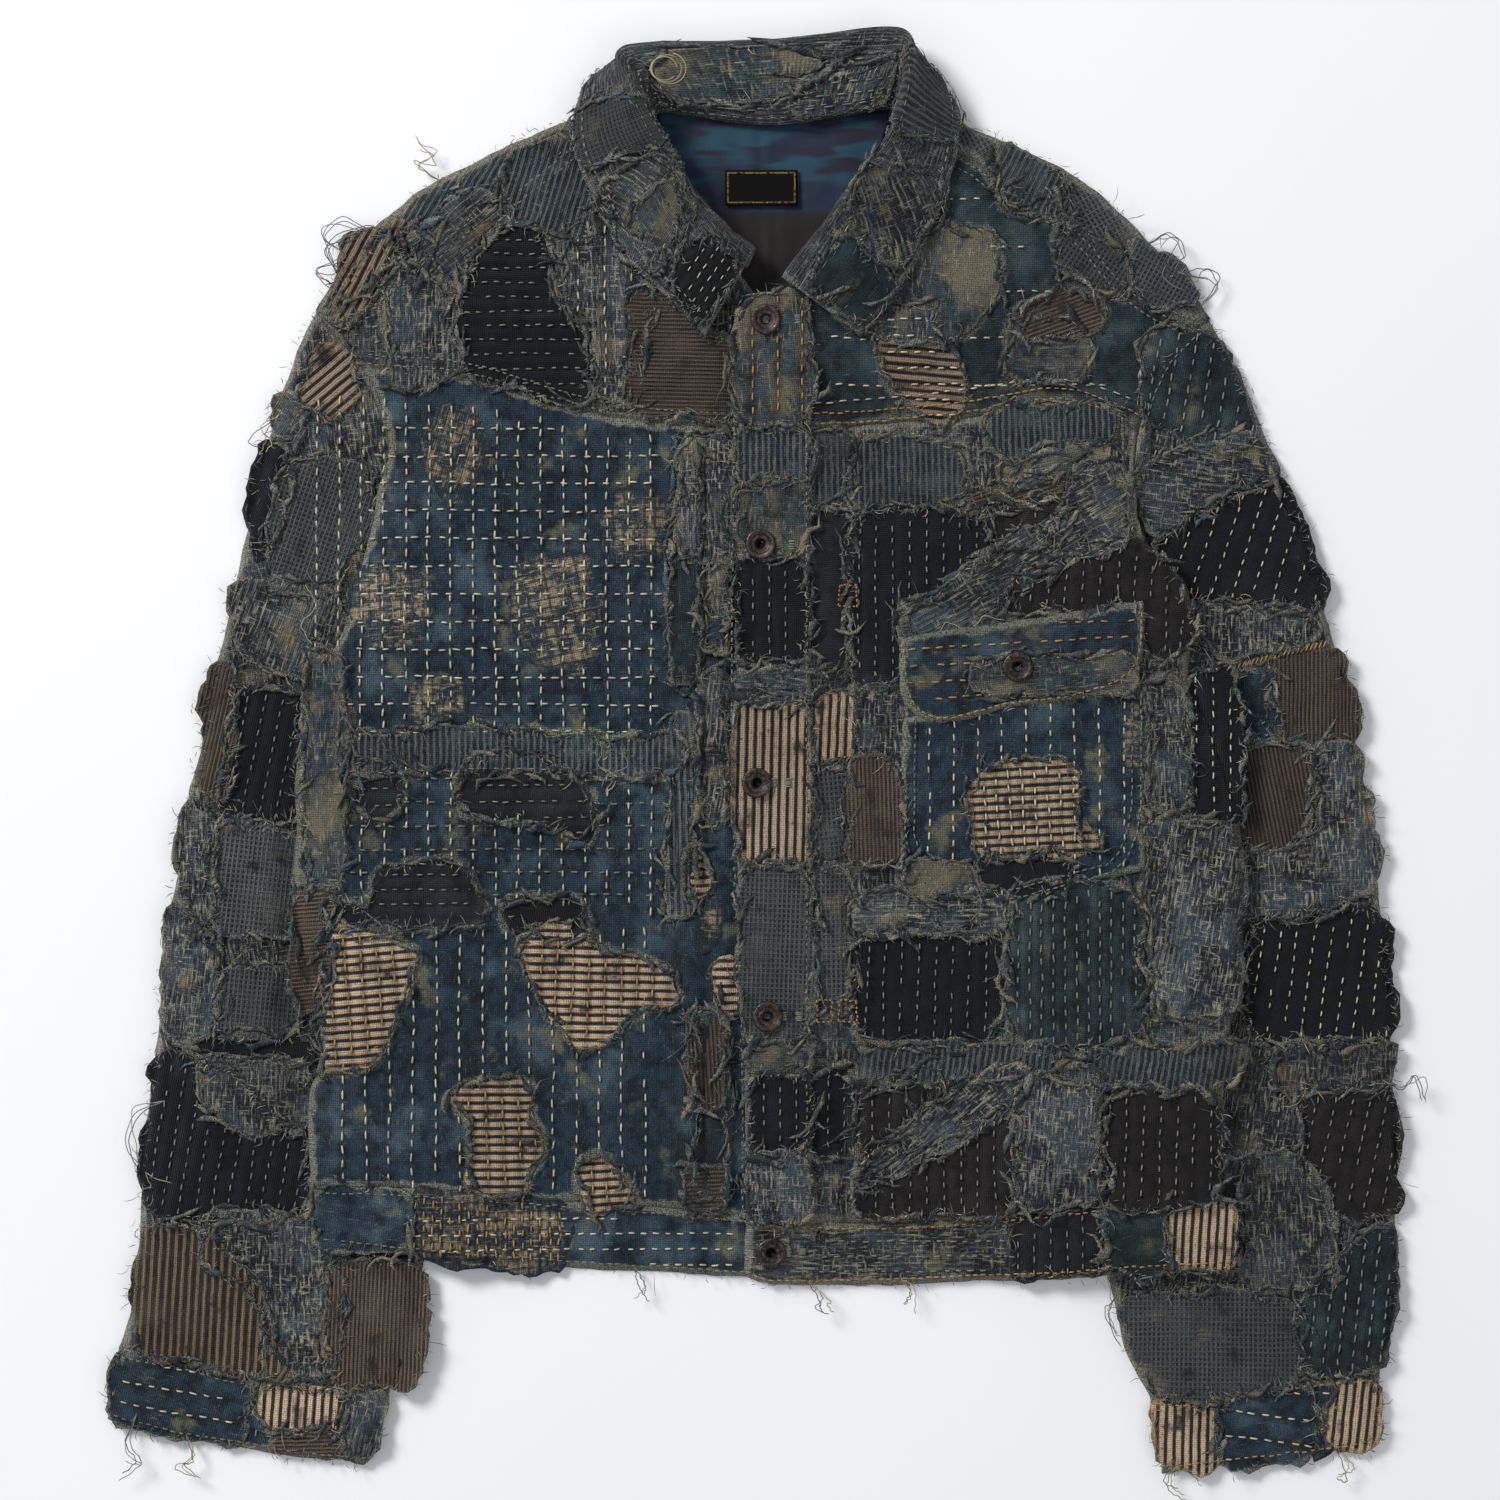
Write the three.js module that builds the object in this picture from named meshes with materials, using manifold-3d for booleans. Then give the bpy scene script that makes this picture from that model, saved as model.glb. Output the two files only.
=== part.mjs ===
// A patched boro denim jacket, laid flat on its back with the front up.
// Units are millimetres, +Z up; +Y runs from the hem to the collar and +X to the wearer's left side.
// Every panel is a cloth wall cut from a folded sheet, so stacked panels follow one another.

import * as THREE from 'three';
import { mergeVertices } from 'three/addons/utils/BufferGeometryUtils.js';
import Module from 'manifold-3d';

const wasm = await Module();
wasm.setup();

// ---- driving dimensions ----
const CLOTH = 2.4;              // wall of one layer of patched cloth
const BAND_CLOTH = 3.0;         // doubled cloth of the waistband and cuffs
const PATCH_CLOTH = 1.0;        // wall of a sewn-on patch
const GAP = 0.3;                // clearance between sewn or stacked pieces
const LAYER = CLOTH + GAP;      // height that one layer of cloth takes up
const FOLD_CELL = 30;           // spacing of the lines along which a sheet may bend
const TUCK_RISE = 2 * LAYER + 0.9;  // height of the body where it lies on a tucked-in sleeve
const BUTTON_RADIUS = 8.5;
const BUTTON_HEIGHT = 3.6;
const BUTTON_HOLE_RADIUS = 2.3;
const PLEAT_RISE = 1.8;         // extra height of a stitched-down pleat

// ---- the fall of the cloth: how high each layer lies at a place ----
const clamp01 = (value) => Math.min(1, Math.max(0, value));

// Broad folds: start, end, half width and height.
const BODY_FOLDS = [
  { from: [-205, 95], to: [-120, -30], width: 55, height: 2.2 },
  { from: [-225, -60], to: [-215, -215], width: 45, height: 1.8 },
  { from: [226, 60], to: [236, -200], width: 45, height: 2.6 },
  { from: [120, -40], to: [175, -170], width: 45, height: 1.4 },
  { from: [-120, 300], to: [-175, 235], width: 45, height: 1.8 },
  { from: [120, 300], to: [190, 215], width: 45, height: 2.2 },
];
const SLEEVE_FOLDS = [
  { from: [300, 110], to: [330, -60], width: 45, height: 2.6 },
  { from: [345, -80], to: [330, -300], width: 40, height: 2.4 },
  { from: [-255, 150], to: [-300, -20], width: 45, height: 2.4 },
  { from: [-320, -90], to: [-300, -300], width: 40, height: 2.6 },
];

function distanceToSegment(x, y, [ax, ay], [bx, by]) {
  const along = ((x - ax) * (bx - ax) + (y - ay) * (by - ay)) / ((bx - ax) ** 2 + (by - ay) ** 2);
  const t = clamp01(along);
  return Math.hypot(x - ax - t * (bx - ax), y - ay - t * (by - ay));
}

function foldHeight(folds, x, y) {
  return folds.reduce((sum, fold) => {
    const nearness = clamp01(1 - distanceToSegment(x, y, fold.from, fold.to) / fold.width);
    return sum + fold.height * nearness;
  }, 0);
}

// The body climbs over the sleeves that are folded in beneath its sides.
const tuckRise = (x, y) => TUCK_RISE * clamp01((Math.abs(x) - 120) / 60) * clamp01((180 - y) / 60);
const backHeight = (x, y) => tuckRise(x, y);
const bodyEase = (x, y) => 1.9 + foldHeight(BODY_FOLDS, x, y);
const frontHeight = (x, y) => backHeight(x, y) + LAYER + bodyEase(x, y);

// The left front laps over the right one and comes down to the same level beyond the placket.
const lapRise = (x) => LAYER * clamp01((60 - x) / 30);
const leftFrontHeight = (x, y) => frontHeight(x, y) + lapRise(x);

// A sleeve is full where it shows and flat where the body lies on it.
function sleeveEase(x, y) {
  const outside = clamp01((Math.abs(x) - 270) / 30);
  const above = clamp01((y - 120) / 60);
  const below = clamp01((-300 - y) / 30);
  return Math.max(outside, above, below) * (1.5 + foldHeight(SLEEVE_FOLDS, x, y));
}
const sleeveTopHeight = (x, y) => LAYER + sleeveEase(x, y);

const raised = (height, layers) => (x, y) => height(x, y) + layers * LAYER;

// ---- cutting cloth ----
function solidOf(geometry) {
  const bare = geometry.clone();
  bare.deleteAttribute('normal');
  bare.deleteAttribute('uv');
  const welded = mergeVertices(bare, 1e-5);
  return new wasm.Manifold(new wasm.Mesh({
    numProp: 3,
    vertProperties: new Float32Array(welded.attributes.position.array),
    triVerts: new Uint32Array(welded.index.array),
  }));
}

function geometryOf(solid) {
  const mesh = solid.getMesh();
  const geometry = new THREE.BufferGeometry();
  geometry.setAttribute('position', new THREE.BufferAttribute(new Float32Array(mesh.vertProperties), 3));
  geometry.setIndex(new THREE.BufferAttribute(new Uint32Array(mesh.triVerts), 1));
  return geometry;
}

// A folded sheet: a plane bent along the lines of the fold lattice, with a wall of even height below it.
function foldedSheet(outline, height, wall) {
  const xs = outline.map(([x]) => x);
  const ys = outline.map(([, y]) => y);
  const x0 = Math.floor(Math.min(...xs) / FOLD_CELL - 0.01) * FOLD_CELL;
  const y0 = Math.floor(Math.min(...ys) / FOLD_CELL - 0.01) * FOLD_CELL;
  const columns = Math.ceil((Math.max(...xs) - x0) / FOLD_CELL + 0.01);
  const rows = Math.ceil((Math.max(...ys) - y0) / FOLD_CELL + 0.01);
  const plane = new THREE.PlaneGeometry(columns * FOLD_CELL, rows * FOLD_CELL, columns, rows);
  plane.translate(x0 + columns * FOLD_CELL / 2, y0 + rows * FOLD_CELL / 2, 0);
  const flat = plane.attributes.position;
  const count = flat.count;
  const vertices = new Float32Array(count * 6);
  for (let i = 0; i < count; i += 1) {
    const bottom = height(flat.getX(i), flat.getY(i));
    vertices.set([flat.getX(i), flat.getY(i), bottom + wall], i * 3);
    vertices.set([flat.getX(i), flat.getY(i), bottom], (count + i) * 3);
  }
  const upper = Array.from(plane.index.array);
  const triangles = [...upper];
  for (let i = 0; i < upper.length; i += 3) {
    triangles.push(upper[i + 2] + count, upper[i + 1] + count, upper[i] + count);
  }
  const rim = [];
  for (let column = 0; column < columns; column += 1) rim.push(column);
  for (let row = 0; row < rows; row += 1) rim.push(row * (columns + 1) + columns);
  for (let column = columns; column > 0; column -= 1) rim.push(rows * (columns + 1) + column);
  for (let row = rows; row > 0; row -= 1) rim.push(row * (columns + 1));
  rim.forEach((here, i) => {
    const next = rim[(i + 1) % rim.length];
    triangles.push(here, next, here + count, next, next + count, here + count);
  });
  return new wasm.Manifold(new wasm.Mesh({
    numProp: 3,
    vertProperties: vertices,
    triVerts: new Uint32Array(triangles),
  }));
}

// Moves every edge of an outline inwards by half the seam gap.
function trimmed(outline, margin = GAP / 2) {
  const turn = THREE.ShapeUtils.area(outline.map(([x, y]) => new THREE.Vector2(x, y))) > 0 ? 1 : -1;
  return outline.map((point, i) => {
    const before = outline[(i + outline.length - 1) % outline.length];
    const after = outline[(i + 1) % outline.length];
    const inward = [[before, point], [point, after]].map(([a, b]) => {
      const length = Math.hypot(b[0] - a[0], b[1] - a[1]);
      return [-(b[1] - a[1]) / length * turn, (b[0] - a[0]) / length * turn];
    });
    const sum = [inward[0][0] + inward[1][0], inward[0][1] + inward[1][1]];
    const scale = margin / Math.max(0.4, (sum[0] ** 2 + sum[1] ** 2) / 2);
    return [point[0] + sum[0] * scale, point[1] + sum[1] * scale];
  });
}

const CUT_HEIGHT = 80;
function cutter(outline) {
  const shape = new THREE.Shape(outline.map(([x, y]) => new THREE.Vector2(x, y)));
  const prism = new THREE.ExtrudeGeometry(shape, { depth: CUT_HEIGHT, bevelEnabled: false });
  prism.translate(0, 0, -CUT_HEIGHT / 4);
  return solidOf(prism);
}

function panel(outline, height, wall = CLOTH) {
  const cut = trimmed(outline);
  return foldedSheet(cut, height, wall).intersect(cutter(cut));
}

// The height of a folded sheet's underside at one place, on the same triangles as the sheet.
function sheetHeightAt(height, x, y) {
  const column = Math.floor(x / FOLD_CELL);
  const row = Math.floor(y / FOLD_CELL);
  const across = x / FOLD_CELL - column;
  const up = y / FOLD_CELL - row;
  const corner = (dx, dy) => height((column + dx) * FOLD_CELL, (row + dy) * FOLD_CELL);
  if (up >= across) {
    return corner(0, 0) + up * (corner(0, 1) - corner(0, 0)) + across * (corner(1, 1) - corner(0, 1));
  }
  return corner(0, 0) + across * (corner(1, 0) - corner(0, 0)) + up * (corner(1, 1) - corner(1, 0));
}

// ---- edges and seams, each shared by the pieces that meet on it ----
const SHOULDER_L = [
  [258, 244], [251, 255], [230, 282], [210, 303], [184, 325], [159, 338], [128, 350], [112, 358], [84, 362],
];
const SHOULDER_R = [
  [-246, 248], [-231, 272], [-214, 295], [-194, 311], [-169, 327], [-136, 343], [-104, 357], [-56, 361],
];
const ARMHOLE_L = [[258, 244], [237, 227], [227, 211], [217, 181]];
const ARMHOLE_L_LOW = [[217, 181], [215, 140], [219, 118]];
const ARMHOLE_R = [[-246, 248], [-230, 230], [-219, 216]];
const ARMHOLE_R_LOW = [[-219, 216], [-213, 208], [-204, 182], [-204, 165], [-216, 116]];
const SIDE_L = [
  [219, 118], [237, 98], [246, 64], [246, 40], [262, -4], [274, -38], [275, -69], [271, -147], [265, -180],
  [265, -220], [262, -248],
];
const SIDE_R = [
  [-216, 116], [-225, 74], [-250, 30], [-256, -1], [-257, -77], [-250, -128], [-241, -158], [-241, -177],
  [-249, -185], [-250, -220], [-248, -244],
];
const STRIP_SEAM_L = [[75, 343], [112, 343], [154, 312], [184, 299], [216, 258], [247, 242], [258, 244]];
const STRIP_SEAM_R = [[-48, 345], [-104, 341], [-140, 312], [-170, 296], [-205, 258], [-234, 243], [-246, 248]];
const NECK_L = [[16, 257], [30, 262], [40, 275], [52, 300], [64, 322], [75, 343]];
const NECK_R = [[4, 254], [-8, 272], [-20, 290], [-31, 306], [-40, 326], [-48, 345]];
const YOKE_SEAM_L = [[217, 181], [197, 191], [174, 198], [151, 194], [118, 188], [33, 181], [-7, 182]];
const YOKE_SEAM_R = [[-219, 216], [-161, 213], [-108, 195], [-63, 185], [20, 182]];
const FRONT_EDGE_L = [[-7, 182], [-9, 100], [-9, 30], [-8, -64], [-3, -162], [-3, -261]];
const BAND_SEAM_L = [[262, -248], [233, -251], [193, -254], [147, -260], [92, -265], [38, -265], [-3, -261]];
const BAND_SEAM_R = [[-248, -244], [-194, -245], [-140, -250], [-67, -255], [20, -263]];
const HEM_L = [[270, -256], [270, -290], [233, -291], [152, -297], [88, -300], [11, -302], [-4, -296]];
const HEM_R = [[-240, -277], [-184, -283], [-99, -291], [-4, -296], [20, -299]];
const BACK_NECK = [[-52, 360], [-30, 355], [9, 353], [45, 355], [80, 361]];
const BACK_YOKE_SEAM = [[-204, 182], [5, 188], [217, 181]];
const BACK_BAND_SEAM = [[-248, -244], [-140, -250], [20, -258], [147, -260], [262, -248]];
const BACK_HEM = [[270, -256], [270, -290], [88, -298], [-99, -290], [-240, -277]];

const reversed = (points) => [...points].reverse();
const closed = (...runs) => {
  const points = runs.flat();
  return points.filter(([x, y], i) => {
    const [px, py] = points[(i + points.length - 1) % points.length];
    return Math.hypot(x - px, y - py) > 0.5;
  });
};

// ---- sleeves and cuffs ----
const CUFF_SEAM_L = [[355, -349], [314, -353], [288, -356], [259, -365], [225, -363]];
const CUFF_SEAM_R = [[-358, -336], [-321, -343], [-286, -352], [-232, -357], [-204, -358]];
const SLEEVE_L = closed(
  [
    [258, 244], [275, 214], [293, 174], [310, 118], [325, 75], [334, 39], [347, -29], [355, -92], [360, -165],
    [364, -221], [363, -290], [358, -330],
  ],
  CUFF_SEAM_L,
  [[213, -344], [206, -318], [200, -290], [200, -180], [204, -60], [212, 60]],
  reversed(ARMHOLE_L_LOW), reversed(ARMHOLE_L),
);
const SLEEVE_R = closed(
  [
    [-246, 248], [-258, 223], [-269, 192], [-278, 154], [-295, 75], [-305, 32], [-317, -23], [-323, -65],
    [-332, -112], [-336, -173], [-343, -228], [-346, -264], [-347, -309],
  ],
  CUFF_SEAM_R,
  [[-192, -330], [-186, -299], [-184, -270], [-188, -150], [-196, 0], [-206, 90]],
  reversed(ARMHOLE_R_LOW), reversed(ARMHOLE_R),
);
const CUFF_L = closed(CUFF_SEAM_L, [[231, -406], [290, -400], [349, -393], [352, -386]]);
const CUFF_R = closed(CUFF_SEAM_R, [[-216, -401], [-250, -399], [-286, -392], [-321, -387], [-364, -376]]);

// ---- body panels ----
const FRONT_YOKE_L = closed([[-4, 254]], NECK_L, STRIP_SEAM_L, ARMHOLE_L, YOKE_SEAM_L);
const FRONT_YOKE_R = closed([[20, 248]], NECK_R, STRIP_SEAM_R, ARMHOLE_R, YOKE_SEAM_R);
const YOKE_STRIP_L = closed(reversed(SHOULDER_L), reversed(STRIP_SEAM_L));
const YOKE_STRIP_R = closed(reversed(SHOULDER_R), reversed(STRIP_SEAM_R));
const FRONT_L = closed(reversed(YOKE_SEAM_L), ARMHOLE_L_LOW, SIDE_L, BAND_SEAM_L, reversed(FRONT_EDGE_L));
const FRONT_R = closed(reversed(YOKE_SEAM_R), ARMHOLE_R_LOW, SIDE_R, BAND_SEAM_R);
const BAND_L = closed(reversed(BAND_SEAM_L), HEM_L);
const BAND_R = closed(reversed(BAND_SEAM_R), HEM_R);
const BACK_YOKE = closed(
  SHOULDER_R, BACK_NECK, reversed(SHOULDER_L), ARMHOLE_L, reversed(BACK_YOKE_SEAM),
  [[-213, 208], [-219, 216]], reversed(ARMHOLE_R),
);
const BACK = closed(BACK_YOKE_SEAM, ARMHOLE_L_LOW, SIDE_L, reversed(BACK_BAND_SEAM), reversed(SIDE_R), [[-204, 165]]);
const BAND_BACK = closed(BACK_BAND_SEAM, BACK_HEM);

const PLACKET = [
  [-9, 250], [2, 254], [17, 255], [34, 247], [34, -262], [-2, -259], [-2, -162], [-7, -64], [-8, 30], [-8, 100],
  [-6, 182],
];
const POCKET = [[84, 20], [83, -82], [143, -87], [173, -78], [221, -65], [222, 38], [150, 30]];
const POCKET_FLAP = [
  [82, 64], [150, 75], [220, 85], [221, 52], [207, 36], [173, 27], [147, 26], [112, 16], [100, 16], [85, 27],
];
const NECK_LINING = [
  [-48, 354], [-30, 351], [9, 349], [45, 351], [76, 354], [70, 330], [50, 290], [32, 252], [24, 240], [-6, 240],
  [-20, 265], [-38, 300],
];
const NECK_LABEL = [[-15, 308], [26, 308], [26, 328], [-15, 328]];

// Pleats: narrow tucks beside the placket, stitched down on each front.
const PLEATS_R = [
  [[-26, 178], [-15, 178], [-15, -255], [-26, -254]],
  [[-42, 180], [-31, 179], [-31, -254], [-42, -253]],
];
const PLEATS_L = [[[53, 176], [64, 176], [64, -258], [53, -258]]];

function pleatedPanel(outline, height, pleats) {
  return pleats.reduce((cloth, pleat) => {
    const tuck = foldedSheet(pleat, height, CLOTH + PLEAT_RISE).intersect(cutter(pleat));
    return cloth.add(tuck);
  }, panel(outline, height));
}

// ---- collar: a wall through sections from the neck seam over the roll to the outer edge ----
// Guide points run from the right leaf's front end round the back of the neck to the left leaf's front end.
const COLLAR_SEAM = [
  [-2, 272, 13.5], [-19, 290, 11.5], [-36, 309, 10.6], [-47, 328, 10.4], [-55, 345, 10.4], [-53, 359, 10.4],
  [-34, 358, 8], [8, 353, 7.5], [52, 358, 8], [79, 361, 10.4], [83, 348, 10.4], [65, 320, 10.6],
  [47, 294, 12], [23, 261, 14.5],
];
const COLLAR_ROLL = [
  [2, 281, 20], [-16, 295, 23], [-33, 314, 26], [-42, 332, 28], [-54, 348, 30], [-65, 373, 28],
  [-67, 394, 18], [8, 398, 13], [76, 404, 17], [88, 389, 27], [80, 352, 30], [60, 322, 27],
  [42, 297, 24], [18, 265, 21],
];
const COLLAR_EDGE = [
  [-26, 234, 11.2], [-41, 251, 11], [-64, 271, 11], [-84, 304, 11.2], [-99, 336, 11], [-98, 363, 10.4],
  [-80, 382, 4], [8, 368, 1.6], [90, 386, 4], [113, 365, 10.4], [116, 342, 11], [107, 308, 11],
  [88, 268, 11], [61, 234, 11.5],
];
const COLLAR_STATIONS = 30;
const COLLAR_STEPS = 10;
const COLLAR_WALL = 2.4;

function collarSurface() {
  const guides = [COLLAR_SEAM, COLLAR_ROLL, COLLAR_EDGE].map((points) => {
    return new THREE.CatmullRomCurve3(points.map(([x, y, z]) => new THREE.Vector3(x, y, z)));
  });
  const rows = [];
  for (let i = 0; i <= COLLAR_STATIONS; i += 1) {
    const along = i / COLLAR_STATIONS;
    const [seam, roll, edge] = guides.map((guide) => guide.getPoint(along));
    const behind = clamp01(1.35 - Math.abs(along - 0.5) / 0.13);
    const beforeRoll = roll.clone().lerp(seam, 0.3);
    beforeRoll.z += 3.2 * behind + 0.8;
    const afterRoll = roll.clone().lerp(edge, 0.22);
    afterRoll.z += 1.6 - 5.2 * behind;
    const section = new THREE.CatmullRomCurve3([seam, beforeRoll, roll, afterRoll, edge], false, 'centripetal');
    rows.push(section.getPoints(COLLAR_STEPS));
  }
  return rows;
}

function wallOnSurface(rows, wall) {
  const across = rows[0].length;
  const clampedAt = (list, i) => list[Math.min(list.length - 1, Math.max(0, i))];
  const sides = [1, -1].map((side) => rows.flatMap((row, i) => row.map((point, j) => {
    const alongRun = clampedAt(rows, i + 1)[j].clone().sub(clampedAt(rows, i - 1)[j]);
    const acrossRun = clampedAt(row, j + 1).clone().sub(clampedAt(row, j - 1));
    const normal = alongRun.cross(acrossRun).normalize();
    return point.clone().addScaledVector(normal, side * wall / 2);
  })));
  const vertices = sides.flat().flatMap((point) => [point.x, point.y, point.z]);
  const count = rows.length * across;
  const triangles = [];
  const quad = (a, b, c, d) => triangles.push(a, b, c, a, c, d);
  for (let i = 0; i + 1 < rows.length; i += 1) {
    for (let j = 0; j + 1 < across; j += 1) {
      const a = i * across + j;
      quad(a, a + across, a + across + 1, a + 1);
      quad(a + count, a + 1 + count, a + across + 1 + count, a + across + count);
    }
    const start = i * across;
    const end = start + across - 1;
    quad(start, start + count, start + across + count, start + across);
    quad(end, end + across, end + across + count, end + count);
  }
  for (let j = 0; j + 1 < across; j += 1) {
    const last = (rows.length - 1) * across + j;
    quad(j, j + 1, j + 1 + count, j + count);
    quad(last, last + count, last + 1 + count, last + 1);
  }
  return { vertices, triangles };
}

function collarGeometry() {
  const { vertices, triangles } = wallOnSurface(collarSurface(), COLLAR_WALL);
  const geometry = new THREE.BufferGeometry();
  geometry.setAttribute('position', new THREE.BufferAttribute(new Float32Array(vertices), 3));
  geometry.setIndex(triangles);
  return geometry;
}

// ---- buttons: dished rings with an open centre ----
function buttonGeometry() {
  const profile = [
    [BUTTON_HOLE_RADIUS, 0.6], [BUTTON_RADIUS - 1.6, 0], [BUTTON_RADIUS, 1.0], [BUTTON_RADIUS, 2.3],
    [BUTTON_RADIUS - 1.4, BUTTON_HEIGHT], [BUTTON_RADIUS - 3.2, 2.9], [BUTTON_HOLE_RADIUS + 0.7, 1.8],
    [BUTTON_HOLE_RADIUS, 1.6],
  ];
  const ring = [...profile, profile[0]].map(([radius, height]) => new THREE.Vector2(radius, height));
  const geometry = new THREE.LatheGeometry(ring, 24);
  geometry.rotateX(Math.PI / 2);
  return geometryOf(solidOf(geometry));
}

// The lowest height at which a flat disc clears the cloth below it.
function restingHeight(height, x, y) {
  let top = sheetHeightAt(height, x, y);
  for (let turn = 0; turn < 8; turn += 1) {
    const angle = turn * Math.PI / 4;
    const rimX = x + BUTTON_RADIUS * Math.cos(angle);
    const rimY = y + BUTTON_RADIUS * Math.sin(angle);
    top = Math.max(top, sheetHeightAt(height, rimX, rimY));
  }
  return top;
}

// ---- materials ----
const cloth = (color, roughness = 0.92) => new THREE.MeshStandardMaterial({ color, roughness, metalness: 0 });
const INDIGO = 0x263e5c;
const TEAL = 0x233c48;
const NAVY = 0x12161f;
const BROWN = 0x2a2322;
const CHARCOAL = 0x2a2c32;
const GREY_BLUE = 0x4b525c;
const STRIPE_TAN = 0x9a8068;
const RIB_BROWN = 0x55483e;
const LINING_TEAL = 0x20465c;
const LABEL_BLACK = 0x14120f;
const BUTTON_BRONZE = 0x4e403c;

const jacket = new THREE.Group();
function addPiece(name, geometry, material) {
  const mesh = new THREE.Mesh(geometry, material);
  mesh.name = name;
  jacket.add(mesh);
  return mesh;
}
const addCloth = (name, solid, color) => addPiece(name, geometryOf(solid), cloth(color));

// ---- the body, from the floor up ----
addCloth('back', panel(BACK, backHeight), INDIGO);
addCloth('back_yoke', panel(BACK_YOKE, backHeight), TEAL);
addCloth('waistband_back', panel(BAND_BACK, backHeight), INDIGO);
addCloth('front_right', pleatedPanel(FRONT_R, frontHeight, PLEATS_R), INDIGO);
addCloth('front_left', pleatedPanel(FRONT_L, leftFrontHeight, PLEATS_L), GREY_BLUE);
addCloth('front_yoke_right', panel(FRONT_YOKE_R, frontHeight), GREY_BLUE);
addCloth('front_yoke_left', panel(FRONT_YOKE_L, leftFrontHeight), TEAL);
addCloth('shoulder_strip_right', panel(YOKE_STRIP_R, frontHeight), GREY_BLUE);
addCloth('shoulder_strip_left', panel(YOKE_STRIP_L, frontHeight), GREY_BLUE);
addCloth('waistband_right', panel(BAND_R, frontHeight), INDIGO);
addCloth('waistband_left', panel(BAND_L, leftFrontHeight, BAND_CLOTH), INDIGO);
addCloth('placket', panel(PLACKET, raised(leftFrontHeight, 1)), GREY_BLUE);

// ---- sleeves and cuffs ----
addCloth('sleeve_right_under', panel(SLEEVE_R, () => 0), INDIGO);
addCloth('sleeve_right_upper', panel(SLEEVE_R, sleeveTopHeight), GREY_BLUE);
addCloth('sleeve_left_under', panel(SLEEVE_L, () => 0), INDIGO);
addCloth('sleeve_left_upper', panel(SLEEVE_L, sleeveTopHeight), GREY_BLUE);
addCloth('cuff_right_under', panel(CUFF_R, () => 0), INDIGO);
addCloth('cuff_right_upper', panel(CUFF_R, sleeveTopHeight, BAND_CLOTH), INDIGO);
addCloth('cuff_left_under', panel(CUFF_L, () => 0), INDIGO);
addCloth('cuff_left_upper', panel(CUFF_L, sleeveTopHeight, BAND_CLOTH), INDIGO);

// ---- pocket, flap, collar and what shows inside the neck ----
const flapHeight = (x, y) => raised(leftFrontHeight, 1 + clamp01((90 - y) / 30))(x, y);
addCloth('pocket', panel(POCKET, raised(leftFrontHeight, 1)), INDIGO);
addCloth('pocket_flap', panel(POCKET_FLAP, flapHeight), INDIGO);
addCloth('neck_lining', panel(NECK_LINING, raised(backHeight, 1), PATCH_CLOTH), LINING_TEAL);
const labelHeight = (x, y) => backHeight(x, y) + LAYER + PATCH_CLOTH + GAP;
addCloth('neck_label', panel(NECK_LABEL, labelHeight, PATCH_CLOTH), LABEL_BLACK);
addPiece('collar', collarGeometry(), cloth(GREY_BLUE));

// ---- buttons ----
const PLACKET_BUTTONS = [[8, 243], [5, 117], [3, -17], [9, -148]];
const bronze = new THREE.MeshStandardMaterial({ color: BUTTON_BRONZE, roughness: 0.45, metalness: 0.8 });
const buttonShape = buttonGeometry();
function addButton(name, [x, y], height) {
  addPiece(name, buttonShape, bronze).position.set(x, y, restingHeight(height, x, y) + GAP);
}
const placketTop = (x, y) => raised(leftFrontHeight, 1)(x, y) + CLOTH;
PLACKET_BUTTONS.forEach((place, i) => addButton(`button_${i + 1}`, place, placketTop));
addButton('button_5', [11, -281], (x, y) => leftFrontHeight(x, y) + BAND_CLOTH);
addButton('pocket_button', [149, 48], (x, y) => flapHeight(x, y) + CLOTH);

// ---- the largest patches, each lying on the cloth below it ----
const onRightFront = raised(frontHeight, 1);
const onLeftFront = raised(leftFrontHeight, 1);
const onPlacket = raised(leftFrontHeight, 2);
const onPocket = raised(leftFrontHeight, 2);
const onSleeve = raised(sleeveTopHeight, 1);

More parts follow.
